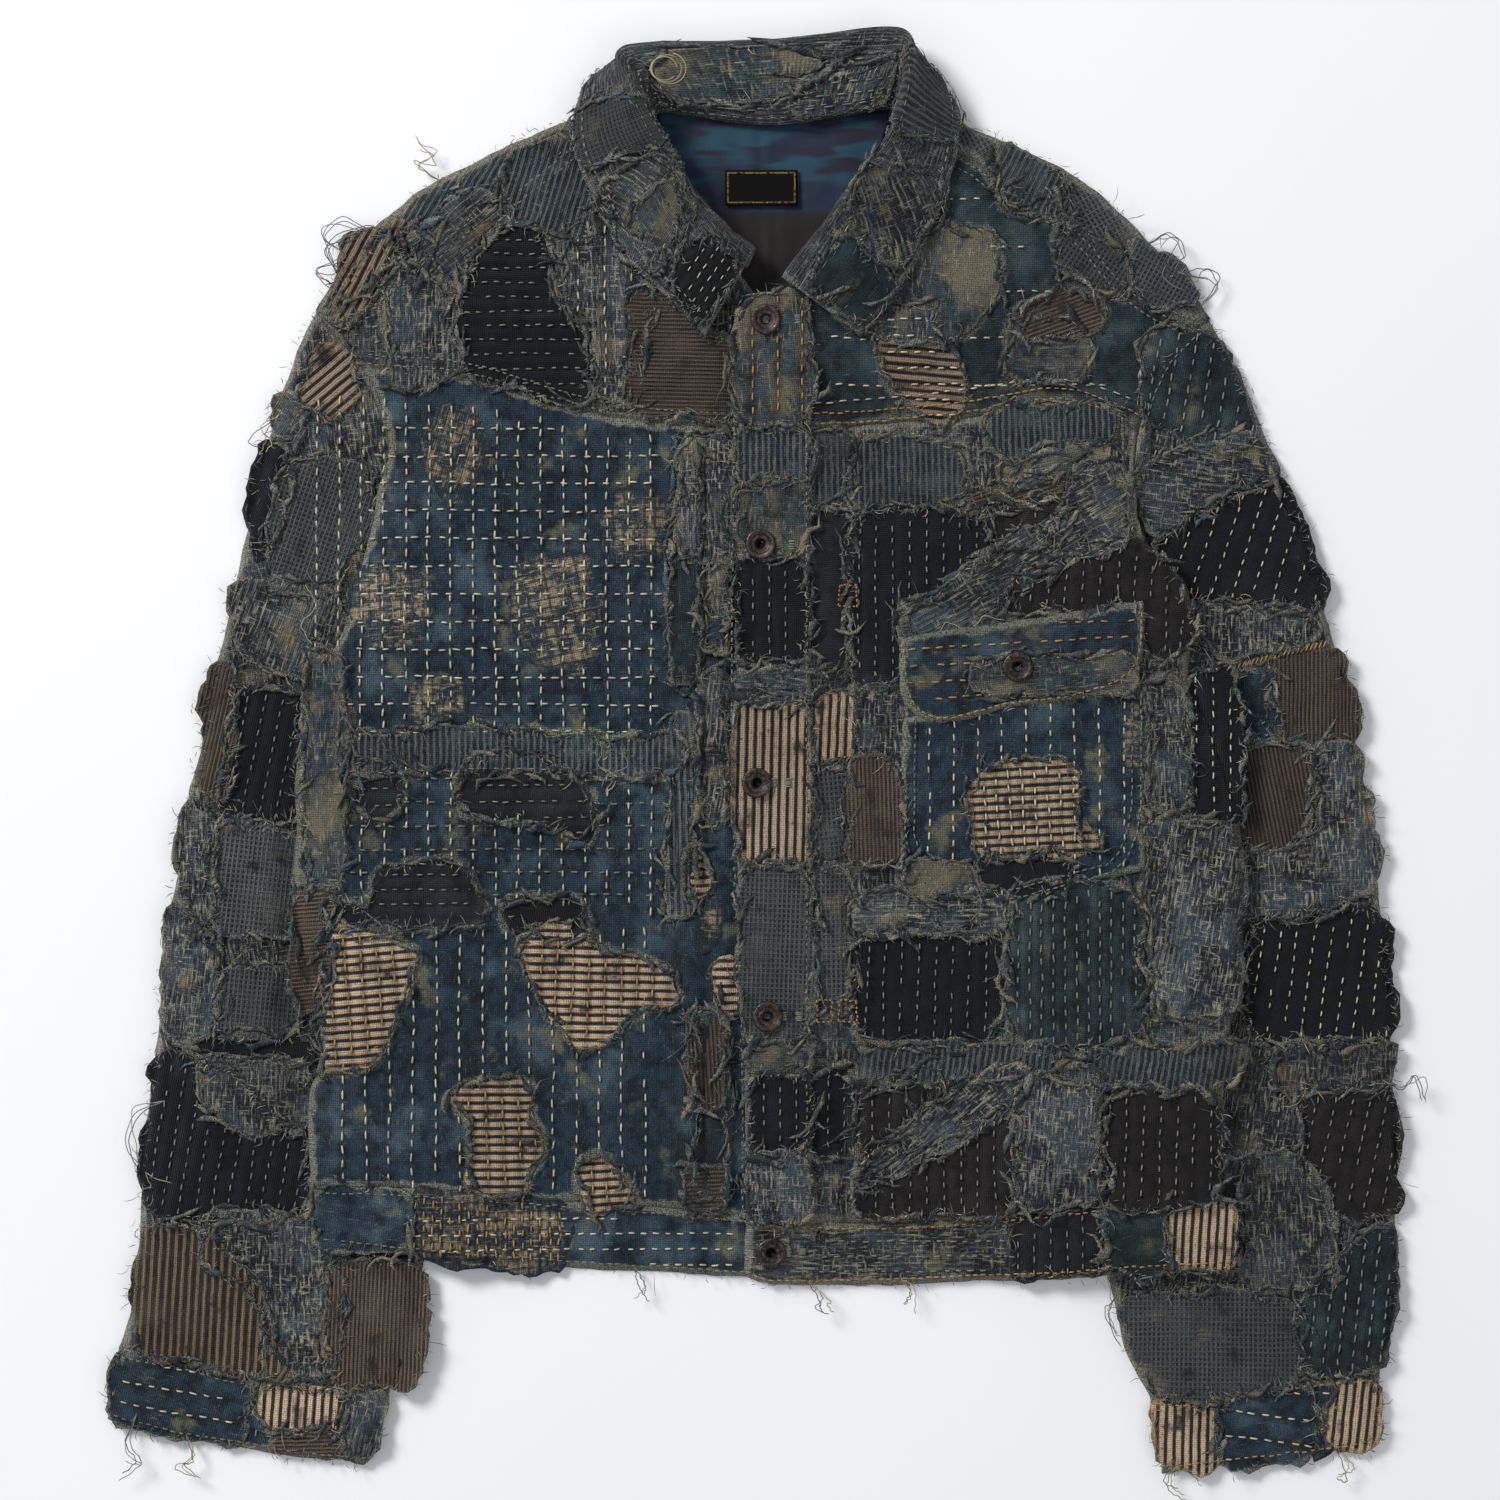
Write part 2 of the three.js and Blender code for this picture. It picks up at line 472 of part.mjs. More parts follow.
const PATCHES = [
  {
    name: 'patch_yoke_black', on: onRightFront, color: NAVY,
    outline: [[-148, 294], [-122, 296], [-112, 281], [-115, 256], [-92, 233], [-96, 205], [-158, 216], [-167, 238]],
  },
  {
    name: 'patch_yoke_rib', on: onRightFront, color: RIB_BROWN,
    outline: [[-67, 252], [-44, 256], [-26, 225], [-12, 220], [-12, 193], [-66, 194]],
  },
  {
    name: 'patch_yoke_stripe', on: onLeftFront, color: STRIPE_TAN,
    outline: [[72, 247], [98, 248], [102, 230], [115, 222], [119, 202], [114, 192], [101, 193], [86, 200]],
  },
  {
    name: 'patch_worn_olive', on: onRightFront, color: STRIPE_TAN,
    outline: [[-178, 190], [-150, 192], [-148, 165], [-160, 146], [-180, 150]],
  },
  {
    name: 'patch_worn_plaid', on: onRightFront, color: STRIPE_TAN,
    outline: [[-132, 110], [-104, 108], [-86, 94], [-92, 62], [-110, 44], [-130, 60]],
  },
  {
    name: 'patch_charcoal', on: onRightFront, color: CHARCOAL,
    outline: [[-160, -5], [-112, -4], [-105, -18], [-92, -24], [-96, -50], [-112, -36], [-158, -33]],
  },
  {
    name: 'patch_half_moon', on: onRightFront, color: CHARCOAL,
    outline: [[-217, -88], [-204, -66], [-184, -60], [-164, -74], [-150, -92]],
  },
  {
    name: 'patch_stripe_side', on: onRightFront, color: STRIPE_TAN,
    outline: [[-236, -98], [-191, -112], [-198, -140], [-211, -174], [-238, -174], [-238, -146]],
  },
  {
    name: 'patch_stripe_centre', on: onRightFront, color: STRIPE_TAN,
    outline: [[-128, -101], [-97, -101], [-90, -112], [-58, -118], [-45, -135], [-62, -140], [-86, -162],
      [-100, -164], [-116, -140]],
  },
  {
    name: 'patch_stripe_lower', on: onRightFront, color: STRIPE_TAN,
    outline: [[-168, -194], [-153, -184], [-126, -188], [-119, -214], [-130, -244], [-153, -244], [-156, -226]],
  },
  {
    name: 'patch_stripe_hem', on: onRightFront, color: STRIPE_TAN,
    outline: [[-97, -233], [-85, -232], [-71, -244], [-70, -252], [-91, -251]],
  },
  {
    name: 'patch_chest_navy', on: onLeftFront, color: NAVY,
    outline: [[68, 133], [124, 134], [134, 112], [106, 88], [82, 90], [68, 96]],
  },
  {
    name: 'patch_chest_brown', on: onLeftFront, color: BROWN,
    outline: [[146, 94], [192, 110], [214, 118], [232, 100], [236, 76], [228, 60], [222, 88], [180, 84], [144, 82]],
  },
  {
    name: 'patch_side_navy', on: onLeftFront, color: NAVY,
    outline: [[246, 34], [236, 36], [232, -34], [258, -38], [262, -12]],
  },
  {
    name: 'patch_rib_centre', on: onLeftFront, color: RIB_BROWN,
    outline: [[66, -4], [80, -4], [81, -60], [67, -58]],
  },
  {
    name: 'patch_belly_navy', on: onLeftFront, color: NAVY,
    outline: [[67, -101], [136, -104], [140, -160], [67, -163]],
  },
  {
    name: 'patch_belly_teal', on: onLeftFront, color: TEAL,
    outline: [[148, -92], [216, -96], [214, -164], [160, -150], [148, -130]],
  },
  {
    name: 'patch_lower_brown', on: onLeftFront, color: BROWN,
    outline: [[66, -206], [104, -204], [128, -190], [142, -176], [146, -256], [90, -260], [66, -260]],
  },
  {
    name: 'patch_lower_side', on: onLeftFront, color: BROWN,
    outline: [[196, -190], [220, -196], [252, -204], [250, -247], [194, -251]],
  },
  {
    name: 'patch_pocket_stripe', on: onPocket, color: STRIPE_TAN,
    outline: [[126, -14], [142, -7], [180, -8], [176, -42], [194, -50], [194, -56], [126, -59]],
  },
  {
    name: 'patch_placket_black', on: onPlacket, color: NAVY,
    outline: [[-4, 106], [28, 108], [30, 48], [-4, 50]],
  },
  {
    name: 'patch_placket_stripe', on: onPlacket, color: STRIPE_TAN,
    outline: [[12, 30], [31, 30], [31, -60], [-5, -60], [-5, -28], [12, -28]],
  },
  {
    name: 'patch_sleeve_left_navy', on: onSleeve, color: NAVY,
    outline: [[236, 124], [270, 146], [300, 152], [319, 84], [280, 84], [256, 92]],
  },
  {
    name: 'patch_sleeve_left_stripe', on: onSleeve, color: RIB_BROWN,
    outline: [[292, 58], [334, 56], [340, 0], [304, -50], [280, -44], [286, 6]],
  },
  {
    name: 'patch_forearm_left_navy', on: onSleeve, color: NAVY,
    outline: [[282, -92], [352, -94], [358, -158], [320, -166], [284, -158]],
  },
  {
    name: 'patch_forearm_left_brown', on: onSleeve, color: BROWN,
    outline: [[310, -186], [358, -184], [360, -256], [340, -260], [312, -240]],
  },
  {
    name: 'patch_forearm_right_navy', on: onSleeve, color: NAVY,
    outline: [[-326, -166], [-262, -168], [-262, -256], [-338, -258], [-334, -200]],
  },
  {
    name: 'patch_forearm_right_black', on: onSleeve, color: NAVY,
    outline: [[-290, 34], [-270, 30], [-266, -38], [-296, -34], [-302, -10]],
  },
];
PATCHES.forEach(({ name, on, color, outline }) => {
  addCloth(name, panel(outline, on, PATCH_CLOTH), color);
});

export default jacket;
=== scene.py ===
"""A patched boro jacket laid flat: torn patches, running stitches, frayed edges and donut buttons."""

import functools
import math

import bpy
import numpy as np
from bpy.props import FloatProperty, FloatVectorProperty, IntProperty, PointerProperty
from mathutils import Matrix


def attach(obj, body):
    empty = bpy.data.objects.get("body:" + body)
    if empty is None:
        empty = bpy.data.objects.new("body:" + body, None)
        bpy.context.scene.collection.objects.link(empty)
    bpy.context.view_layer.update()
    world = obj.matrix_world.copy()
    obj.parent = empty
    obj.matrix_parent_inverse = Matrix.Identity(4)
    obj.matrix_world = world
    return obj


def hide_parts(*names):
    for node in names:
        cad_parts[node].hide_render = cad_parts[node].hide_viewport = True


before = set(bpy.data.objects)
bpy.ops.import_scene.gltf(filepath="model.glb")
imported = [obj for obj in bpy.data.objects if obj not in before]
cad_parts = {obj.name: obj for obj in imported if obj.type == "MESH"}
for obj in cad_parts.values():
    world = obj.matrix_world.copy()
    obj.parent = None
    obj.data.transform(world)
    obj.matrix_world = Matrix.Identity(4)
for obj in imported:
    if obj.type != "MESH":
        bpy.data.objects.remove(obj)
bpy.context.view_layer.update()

bl_info = {
    "name": "Patched boro jacket",
    "version": (1, 0, 0),
    "blender": (4, 5, 0),
    "location": "View3D > Sidebar > Jacket",
    "description": "Builds a laid-out boro jacket from patched, stitched and frayed cloth",
    "category": "Mesh",
}

MM = 0.001
CLOTH = 2.4          # wall of one layer, mm
LAYER = 2.7          # height that one layer takes up, mm
TUCK_RISE = 6.3      # height of the body where it lies on a tucked-in sleeve, mm
PATTERN_UNIT = 100   # millimetres to one unit of a cloth's pattern coordinates


# ---- settings that a user would change ----
class JacketSizes(bpy.types.PropertyGroup):
    """Sizes of the cloth and thread, in metres."""

    panel_cell: FloatProperty(
        name="Panel mesh cell", description="Distance between the points of a panel",
        default=0.0034, min=0.001, unit="LENGTH")
    patch_cell: FloatProperty(
        name="Patch mesh cell", description="Distance between the points of a patch",
        default=0.0040, min=0.001, unit="LENGTH")
    patch_wall: FloatProperty(
        name="Patch thickness", description="Wall of a sewn-on patch",
        default=0.0010, min=0.0002, unit="LENGTH")
    thread: FloatProperty(
        name="Stitch thread", description="Radius of the running-stitch thread",
        default=0.00050, min=0.0001, unit="LENGTH")
    fibre: FloatProperty(
        name="Fray fibre", description="Radius of a frayed fibre",
        default=0.00022, min=0.00005, unit="LENGTH")
    fray_density: FloatProperty(
        name="Fray density", description="Fibres for each millimetre of torn edge",
        default=0.27, min=0.0, subtype="FACTOR")
    seed: IntProperty(name="Seed", description="Chooses the torn edges and the fibres", default=7)


class JacketColours(bpy.types.PropertyGroup):
    """Colours of the dyed cloths and the threads, as linear RGB."""

    indigo: FloatVectorProperty(
        name="Indigo", description="Middle tone of the indigo denim", subtype="COLOR",
        size=3, default=(0.0135, 0.0330, 0.0560))
    navy: FloatVectorProperty(
        name="Navy", description="Middle tone of the darkest patches", subtype="COLOR",
        size=3, default=(0.0065, 0.0095, 0.018))
    tan: FloatVectorProperty(
        name="Tan", description="Ground of the striped cotton", subtype="COLOR",
        size=3, default=(0.64, 0.47, 0.31))
    bronze: FloatVectorProperty(
        name="Bronze", description="Metal of the buttons", subtype="COLOR",
        size=3, default=(0.060, 0.046, 0.042))


def sizes():
    return bpy.context.scene.jacket_sizes


def colours():
    return bpy.context.scene.jacket_colours


# ---- numbers and noise ----
BELL = 2.2           # steepness of a crease's bell


def clamp01(value):
    return np.clip(value, 0.0, 1.0)


def smooth01(value):
    t = clamp01(value)
    return t * t * (3 - 2 * t)


_noise_tables = {}


def value_noise(x, y, cell, seed):
    """Smooth noise from -1 to 1: random heights on a square lattice, blended with smoothstep weights."""
    if seed not in _noise_tables:
        _noise_tables[seed] = np.random.default_rng(seed).uniform(-1, 1, (256, 256))
    table = _noise_tables[seed]
    u = np.asarray(x) / cell + 128.0
    v = np.asarray(y) / cell + 128.0
    i = np.floor(u).astype(int)
    j = np.floor(v).astype(int)
    s = smooth01(u - i)
    t = smooth01(v - j)
    low = table[i % 256, j % 256] * (1 - s) + table[(i + 1) % 256, j % 256] * s
    high = table[i % 256, (j + 1) % 256] * (1 - s) + table[(i + 1) % 256, (j + 1) % 256] * s
    return low * (1 - t) + high * t


def segment_distance(x, y, ax, ay, bx, by):
    """Distance to the segment from a to b: to its nearest point, found by projection."""
    span = np.maximum((bx - ax) ** 2 + (by - ay) ** 2, 1e-6)
    t = clamp01(((x - ax) * (bx - ax) + (y - ay) * (by - ay)) / span)
    return np.hypot(x - ax - t * (bx - ax), y - ay - t * (by - ay))


def crease(x, y, start, end, width, height):
    """A soft ridge or trough: height times a bell of the distance to a segment, width being its half
    width."""
    return height * np.exp(-((segment_distance(x, y, *start, *end) / width) ** 2) * BELL)


def creases(folds, x, y):
    return sum(crease(x, y, *fold) for fold in folds)


# Main folds: start, end, half width and height, in millimetres.
BODY_FOLDS = [((-205, 95), (-120, -30), 34, 2.4), ((-225, -60), (-215, -215), 26, 2.0), ((226, 60),
    (236, -200), 28, 2.8), ((120, -40), (175, -170), 26, 1.4), ((-120, 300), (-175, 235), 28, 1.8),
    ((120, 300), (190, 215), 24, 2.0), ((184, 299), (205, 262), 9, -2.6), ((205, 262), (214, 225), 9, -2.6),
    ((172, 288), (196, 248), 9, 1.8), ((-60, 180), (-64, -30), 10, 1.6), ((-78, 150), (-88, -60), 12, -1.4),
    ((-190, -20), (-120, -70), 12, -1.6), ((-180, -46), (-110, -88), 12, 1.6), ((60, 176), (58, -60), 8,
    -1.6), ((230, 20), (226, -90), 8, -2.2), ((216, -30), (214, -110), 9, 1.8), ((90, -170), (150, -185),
    10, 1.5), ((150, -168), (240, -176), 9, 1.5), ((60, -168), (120, -176), 8, -1.2), ((-52, 176),
    (-52, -240), 6, -1.0), ((-120, 184), (-128, 60), 10, 1.1), ((-196, 150), (-206, 40), 12, 1.8)]
SLEEVE_FOLDS = [((300, 110), (330, -60), 30, 2.6), ((345, -80), (330, -300), 26, 2.4), ((-255, 150),
    (-300, -20), 30, 2.4), ((-320, -90), (-300, -300), 26, 2.6), ((252, 178), (300, 196), 9, -2.2),
    ((246, 150), (306, 160), 12, 1.8), ((262, 92), (322, 78), 8, 2.6), ((262, 82), (322, 66), 7, -2.0),
    ((270, 10), (342, -14), 10, 1.8), ((276, -76), (350, -92), 9, 2.0), ((280, -166), (356, -172), 9, 1.8),
    ((292, -240), (300, -344), 5, -1.8), ((284, -240), (290, -344), 6, 1.4), ((-262, 160), (-230, 100), 10,
    -2.2), ((-290, 90), (-246, 60), 10, 1.8), ((-306, 30), (-262, 14), 10, -1.6), ((-322, -60), (-270, -70),
    9, 1.8), ((-330, -160), (-262, -164), 9, 2.0), ((-300, -206), (-330, -262), 10, 1.4), ((-340, -262),
    (-210, -268), 9, 1.8)]


def crumple(x, y):
    """Wrinkles of washed cotton: four sizes of noise, the second folded into sharp little ridges."""
    broad = 1.5 * value_noise(x, y, 62, 1)
    ridge = 1.7 * (0.45 - np.abs(value_noise(x, y * 0.8, 26, 2)))
    small = 1.05 * value_noise(x * 1.15, y, 11, 3)
    fine = 0.5 * value_noise(x, y, 6.0, 4)
    return broad + ridge + small + fine


def tuck_rise(x, y):
    """The body climbs over the sleeves folded in beneath its sides: a product of two eased ramps."""
    return TUCK_RISE * smooth01((np.abs(x) - 120) / 60) * smooth01((180 - y) / 60)


def back_under(x, y):
    return tuck_rise(x, y)


def back_top(x, y):
    return back_under(x, y) + CLOTH


def body_top(x, y):
    return back_top(x, y) + np.maximum(LAYER, LAYER + 1.9 + creases(BODY_FOLDS, x, y) + crumple(x, y))


def left_body_top(x, y):
    """The left front laps over the right one and comes down beyond the placket."""
    return body_top(x, y) + LAYER * smooth01((60 - x) / 30)


def sleeve_top(x, y):
    outside = smooth01((np.abs(x) - 276) / 26)
    above = smooth01((y - 120) / 50)
    below = smooth01((-300 - y) / 24)
    free = np.maximum(np.maximum(outside, above), below)
    full = np.maximum(0.0, 1.6 + creases(SLEEVE_FOLDS, x, y) + crumple(x, y))
    return LAYER + CLOTH + free * full


def floor_level(x, y):
    return np.zeros_like(x)


# ---- meshes from arrays ----
def make_object(name, vertices, faces, material, uv=None, attributes=()):
    """vertices is (n, 3) in mm and faces a list of index arrays with 3 or 4 columns."""
    mesh = bpy.data.meshes.new(name)
    loops = np.concatenate([f.ravel() for f in faces])
    widths = np.concatenate([np.full(len(f), f.shape[1]) for f in faces])
    mesh.vertices.add(len(vertices))
    mesh.vertices.foreach_set("co", (np.asarray(vertices, dtype=np.float32) * MM).ravel())
    mesh.loops.add(len(loops))
    mesh.loops.foreach_set("vertex_index", loops.astype(np.int32))
    mesh.polygons.add(len(widths))
    mesh.polygons.foreach_set("loop_start", np.concatenate([[0], np.cumsum(widths)[:-1]]).astype(np.int32))
    mesh.polygons.foreach_set("use_smooth", np.ones(len(widths), dtype=bool))
    mesh.update(calc_edges=True)
    if uv is not None:
        layer = mesh.uv_layers.new(name="Cloth")
        layer.data.foreach_set("uv", np.asarray(uv, dtype=np.float32)[loops].ravel())
    for key, values in attributes:
        data = mesh.attributes.new(key, "FLOAT", "POINT")
        data.data.foreach_set("value", np.asarray(values, dtype=np.float32))
    mesh.materials.append(material)
    mesh.validate()
    piece = bpy.data.objects.new(name, mesh)
    bpy.context.scene.collection.objects.link(piece)
    return piece


def grid_faces(rows, columns, wrap=False):
    """Quads of a grid of rows by columns points, counter-clockwise seen from above."""
    j, i = np.meshgrid(np.arange(rows - 1), np.arange(columns if wrap else columns - 1), indexing="ij")
    a = j * columns + i
    b = j * columns + (i + 1) % columns
    return np.stack([a, b, b + columns, a + columns], axis=-1).reshape(-1, 4)


def both(values):
    """The same numbers for the upper and the lower side of a wall."""
    return np.concatenate([values, values])


def pattern_uv(x, y, grain, offset):
    """Pattern coordinates: the cloth's own threads run along the grain angle, in degrees."""
    turn = math.radians(grain)
    u = x * math.cos(turn) + y * math.sin(turn)
    v = -x * math.sin(turn) + y * math.cos(turn)
    return np.stack([u / PATTERN_UNIT + offset[0], v / PATTERN_UNIT + offset[1]], axis=-1)


def grid_shell(x, y, top, under):
    """A closed wall between two height grids: returns vertices and faces."""
    rows, columns = x.shape
    count = rows * columns
    upper = np.stack([x, y, top], axis=-1).reshape(-1, 3)
    lower = np.stack([x, y, under], axis=-1).reshape(-1, 3)
    faces = grid_faces(rows, columns)
    order = np.arange(count).reshape(rows, columns)
    rim = np.concatenate([order[0, :-1], order[:-1, -1], order[-1, :0:-1], order[:0:-1, 0]])
    after = np.roll(rim, -1)
    walls = np.stack([rim, rim + count, after + count, after], axis=-1)
    return np.concatenate([upper, lower]), [faces, faces[:, ::-1] + count, walls]


def resample(points, count, closed=False):
    """Points evenly spaced along a polyline."""
    points = np.asarray(points, dtype=float)
    if closed:
        points = np.concatenate([points, points[:1]])
    gaps = np.hypot(*np.diff(points, axis=0).T)
    along = np.concatenate([[0], np.cumsum(gaps)])
    places = np.linspace(0, along[-1], count + 1)[:-1] if closed else np.linspace(0, along[-1], count)
    return np.stack([np.interp(places, along, points[:, k]) for k in (0, 1)], axis=-1)


def rounded(points, closed=False):
    """Softens a polyline's corners by two rounds of cutting them at a quarter and three quarters."""
    points = np.asarray(points, dtype=float)
    for _ in range(2):
        after = np.roll(points, -1, axis=0) if closed else points[1:]
        before = points if closed else points[:-1]
        cut = np.stack([before * 0.75 + after * 0.25, before * 0.25 + after * 0.75], axis=1).reshape(-1, 2)
        points = cut if closed else np.concatenate([points[:1], cut, points[-1:]])
    return points


def length_of(points):
    return float(np.hypot(*np.diff(np.asarray(points, dtype=float), axis=0).T).sum())


def coons(sides, cell):
    """A two-parameter grid spanned between four edge curves: the two ruled surfaces less the corners'
    bilinear one.  The sides run bottom left to right, right upwards, top left to right, left upwards."""
    bottom, right, top, left = (rounded(side) for side in sides)
    across = max(4, int(max(length_of(bottom), length_of(top)) / cell))
    up = max(4, int(max(length_of(left), length_of(right)) / cell))
    bottom, top = resample(bottom, across), resample(top, across)
    left, right = resample(left, up), resample(right, up)
    u = np.linspace(0, 1, across)[None, :, None]
    v = np.linspace(0, 1, up)[:, None, None]
    ruled = (1 - v) * bottom[None] + v * top[None] + (1 - u) * left[:, None] + u * right[:, None]
    corners = ((1 - u) * (1 - v) * bottom[0] + u * (1 - v) * bottom[-1]
               + (1 - u) * v * top[0] + u * v * top[-1])
    grid = ruled - corners
    return grid[..., 0], grid[..., 1]


def border_distances(x, y):
    """Distance in mm from each grid point to the four sides, measured along the grid's own lines."""
    across = np.hypot(np.diff(x, axis=1), np.diff(y, axis=1))
    upward = np.hypot(np.diff(x, axis=0), np.diff(y, axis=0))
    zero_column = np.zeros((x.shape[0], 1))
    zero_row = np.zeros((1, x.shape[1]))
    left = np.concatenate([zero_column, np.cumsum(across, axis=1)], axis=1)
    bottom = np.concatenate([zero_row, np.cumsum(upward, axis=0)], axis=0)
    return {"left": left, "right": left[:, -1:] - left, "bottom": bottom, "top": bottom[-1:] - bottom}


def wander(x, y):
    """Shifts points sideways by noise, so that edges and seams look handmade, alike for all pieces."""
    dx = 1.1 * value_noise(x, y, 21, 11) + 0.55 * value_noise(x, y, 7, 12)
    dy = 1.1 * value_noise(x, y, 21, 13) + 0.55 * value_noise(x, y, 7, 14)
    return x + dx, y + dy


# ---- shader building ----
def srgb(red, green, blue):
    """A display colour of 0 to 255 a channel, as linear RGBA."""
    channels = [c / 255 / 12.92 if c / 255 <= 0.04045 else ((c / 255 + 0.055) / 1.055) ** 2.4
                for c in (red, green, blue)]
    return (*channels, 1.0)


class Graph:
    """Short names for adding nodes to one node tree."""

    def __init__(self, tree):
        self.tree = tree

    def feed(self, socket, value):
        if isinstance(value, bpy.types.NodeSocket):
            self.tree.links.new(value, socket)
        elif value is not None:
            socket.default_value = value

    def math(self, operation, *values):
        node = self.tree.nodes.new("ShaderNodeMath")
        node.operation = operation
        for socket, value in zip(node.inputs, values):
            self.feed(socket, value)
        return node.outputs[0]

    def ease(self, value, low, high):
        """0 below low, 1 above high, smooth between."""
        node = self.tree.nodes.new("ShaderNodeMapRange")
        node.interpolation_type = "SMOOTHSTEP"
        self.feed(node.inputs["Value"], value)
        self.feed(node.inputs["From Min"], low)
        self.feed(node.inputs["From Max"], high)
        return node.outputs["Result"]

    def mix(self, amount, first, second):
        node = self.tree.nodes.new("ShaderNodeMix")
        node.data_type = "RGBA"
        self.feed(node.inputs[0], amount)
        self.feed(node.inputs[6], first)
        self.feed(node.inputs[7], second)
        return node.outputs[2]

    def stretch(self, vector, scale, offset=(0, 0, 0)):
        node = self.tree.nodes.new("ShaderNodeMapping")
        self.feed(node.inputs["Vector"], vector)
        node.inputs["Scale"].default_value = scale
        node.inputs["Location"].default_value = offset
        return node.outputs[0]

    def noise(self, vector, scale, detail=3.0, roughness=0.55):
        node = self.tree.nodes.new("ShaderNodeTexNoise")
        self.feed(node.inputs["Vector"], vector)
        self.feed(node.inputs["Scale"], scale)
        self.feed(node.inputs["Detail"], detail)
        self.feed(node.inputs["Roughness"], roughness)
        return node.outputs["Fac"]

    def attribute(self, name):
        node = self.tree.nodes.new("ShaderNodeAttribute")
        node.attribute_name = name
        return node.outputs["Fac"]

    def pattern(self):
        """The cloth's own pattern coordinates."""
        node = self.tree.nodes.new("ShaderNodeUVMap")
        node.uv_map = "Cloth"
        return node.outputs[0]

    def swapped(self, vector):
        """The vector with its first two parts exchanged."""
        u, v, _ = self.split(vector)
        node = self.tree.nodes.new("ShaderNodeCombineXYZ")
        self.feed(node.inputs[0], v)
        self.feed(node.inputs[1], u)
        return node.outputs[0]

    def bump(self, normal, height, strength, distance):
        node = self.tree.nodes.new("ShaderNodeBump")
        node.inputs["Strength"].default_value = strength
        node.inputs["Distance"].default_value = distance
        self.feed(node.inputs["Height"], height)
        self.feed(normal, node.outputs[0])

    def split(self, vector):
        node = self.tree.nodes.new("ShaderNodeSeparateXYZ")
        self.feed(node.inputs[0], vector)
        return node.outputs

    def group(self, tree, **values):
        node = self.tree.nodes.new("ShaderNodeGroup")
        node.node_tree = tree
        for key, value in values.items():
            self.feed(node.inputs[key.replace("_", " ")], value)
        return node.outputs


def new_group(name, inputs, outputs):
    """An empty node group with typed sockets: returns its graph, input sockets and output sockets."""
    kinds = {"v": "NodeSocketVector", "f": "NodeSocketFloat", "c": "NodeSocketColor"}
    tree = bpy.data.node_groups.new(name, "ShaderNodeTree")
    for label, kind in inputs:
        tree.interface.new_socket(name=label, in_out="INPUT", socket_type=kinds[kind])
    for label, kind in outputs:
        tree.interface.new_socket(name=label, in_out="OUTPUT", socket_type=kinds[kind])
    source = tree.nodes.new("NodeGroupInput")
    sink = tree.nodes.new("NodeGroupOutput")
    return Graph(tree), source.outputs, sink.inputs


def new_material(name, roughness, specular=None):
    """A new material: returns it with its graph and its Principled shader."""
    material = bpy.data.materials.new(name)
    material.use_nodes = True
    shader = material.node_tree.nodes["Principled BSDF"]
    shader.inputs["Roughness"].default_value = roughness
    if specular is not None:
        shader.inputs["Specular IOR Level"].default_value = specular
    return material, Graph(material.node_tree), shader


@functools.cache
def weave_group():
    """Plain weave: two crossing sets of ripples, each thread raised where the other dips."""
    graph, given, out = new_group("Weave", [("Cloth", "v"), ("Threads", "f")], [("Height", "f")])
    u, v, _ = graph.split(given["Cloth"])
    across = graph.math("SINE", graph.math("MULTIPLY", u, given["Threads"]))
    along = graph.math("SINE", graph.math("MULTIPLY", v, given["Threads"]))
    sum_of_both = graph.math("ADD", across, along)
    graph.feed(out["Height"], graph.math("MULTIPLY_ADD", sum_of_both, 0.25, 0.5))
    return graph.tree


@functools.cache
def slub_group():
    """Thick places in the yarn: noise drawn out along each thread direction, kept where it is strongest."""
    graph, given, out = new_group("Slubs", [("Cloth", "v"), ("Low", "f"), ("High", "f")], [("Mask", "f")])
    along = graph.noise(graph.stretch(given["Cloth"], (11, 68, 1)), 1.0, 3.0, 0.6)
    across = graph.noise(graph.stretch(given["Cloth"], (62, 12, 1), (5, 3, 0)), 1.0, 3.0, 0.6)
    strongest = graph.math("MAXIMUM", along, graph.math("MULTIPLY", across, 0.94))
    here = graph.ease(graph.noise(given["Cloth"], 6.0, 4.0, 0.65), 0.30, 0.56)
    streaks = graph.ease(strongest, given["Low"], given["High"])
    graph.feed(out["Mask"], graph.math("MULTIPLY", streaks, here))
    return graph.tree


@functools.cache
def fade_group():
    """Washed-out places: broad noise broken up by finer noise, between two limits."""
    graph, given, out = new_group(
        "Fade", [("Cloth", "v"), ("Scale", "f"), ("Low", "f"), ("High", "f")], [("Mask", "f")])
    broad = graph.noise(given["Cloth"], given["Scale"], 5.0, 0.62)
    graph.feed(out["Mask"], graph.ease(broad, given["Low"], given["High"]))
    return graph.tree


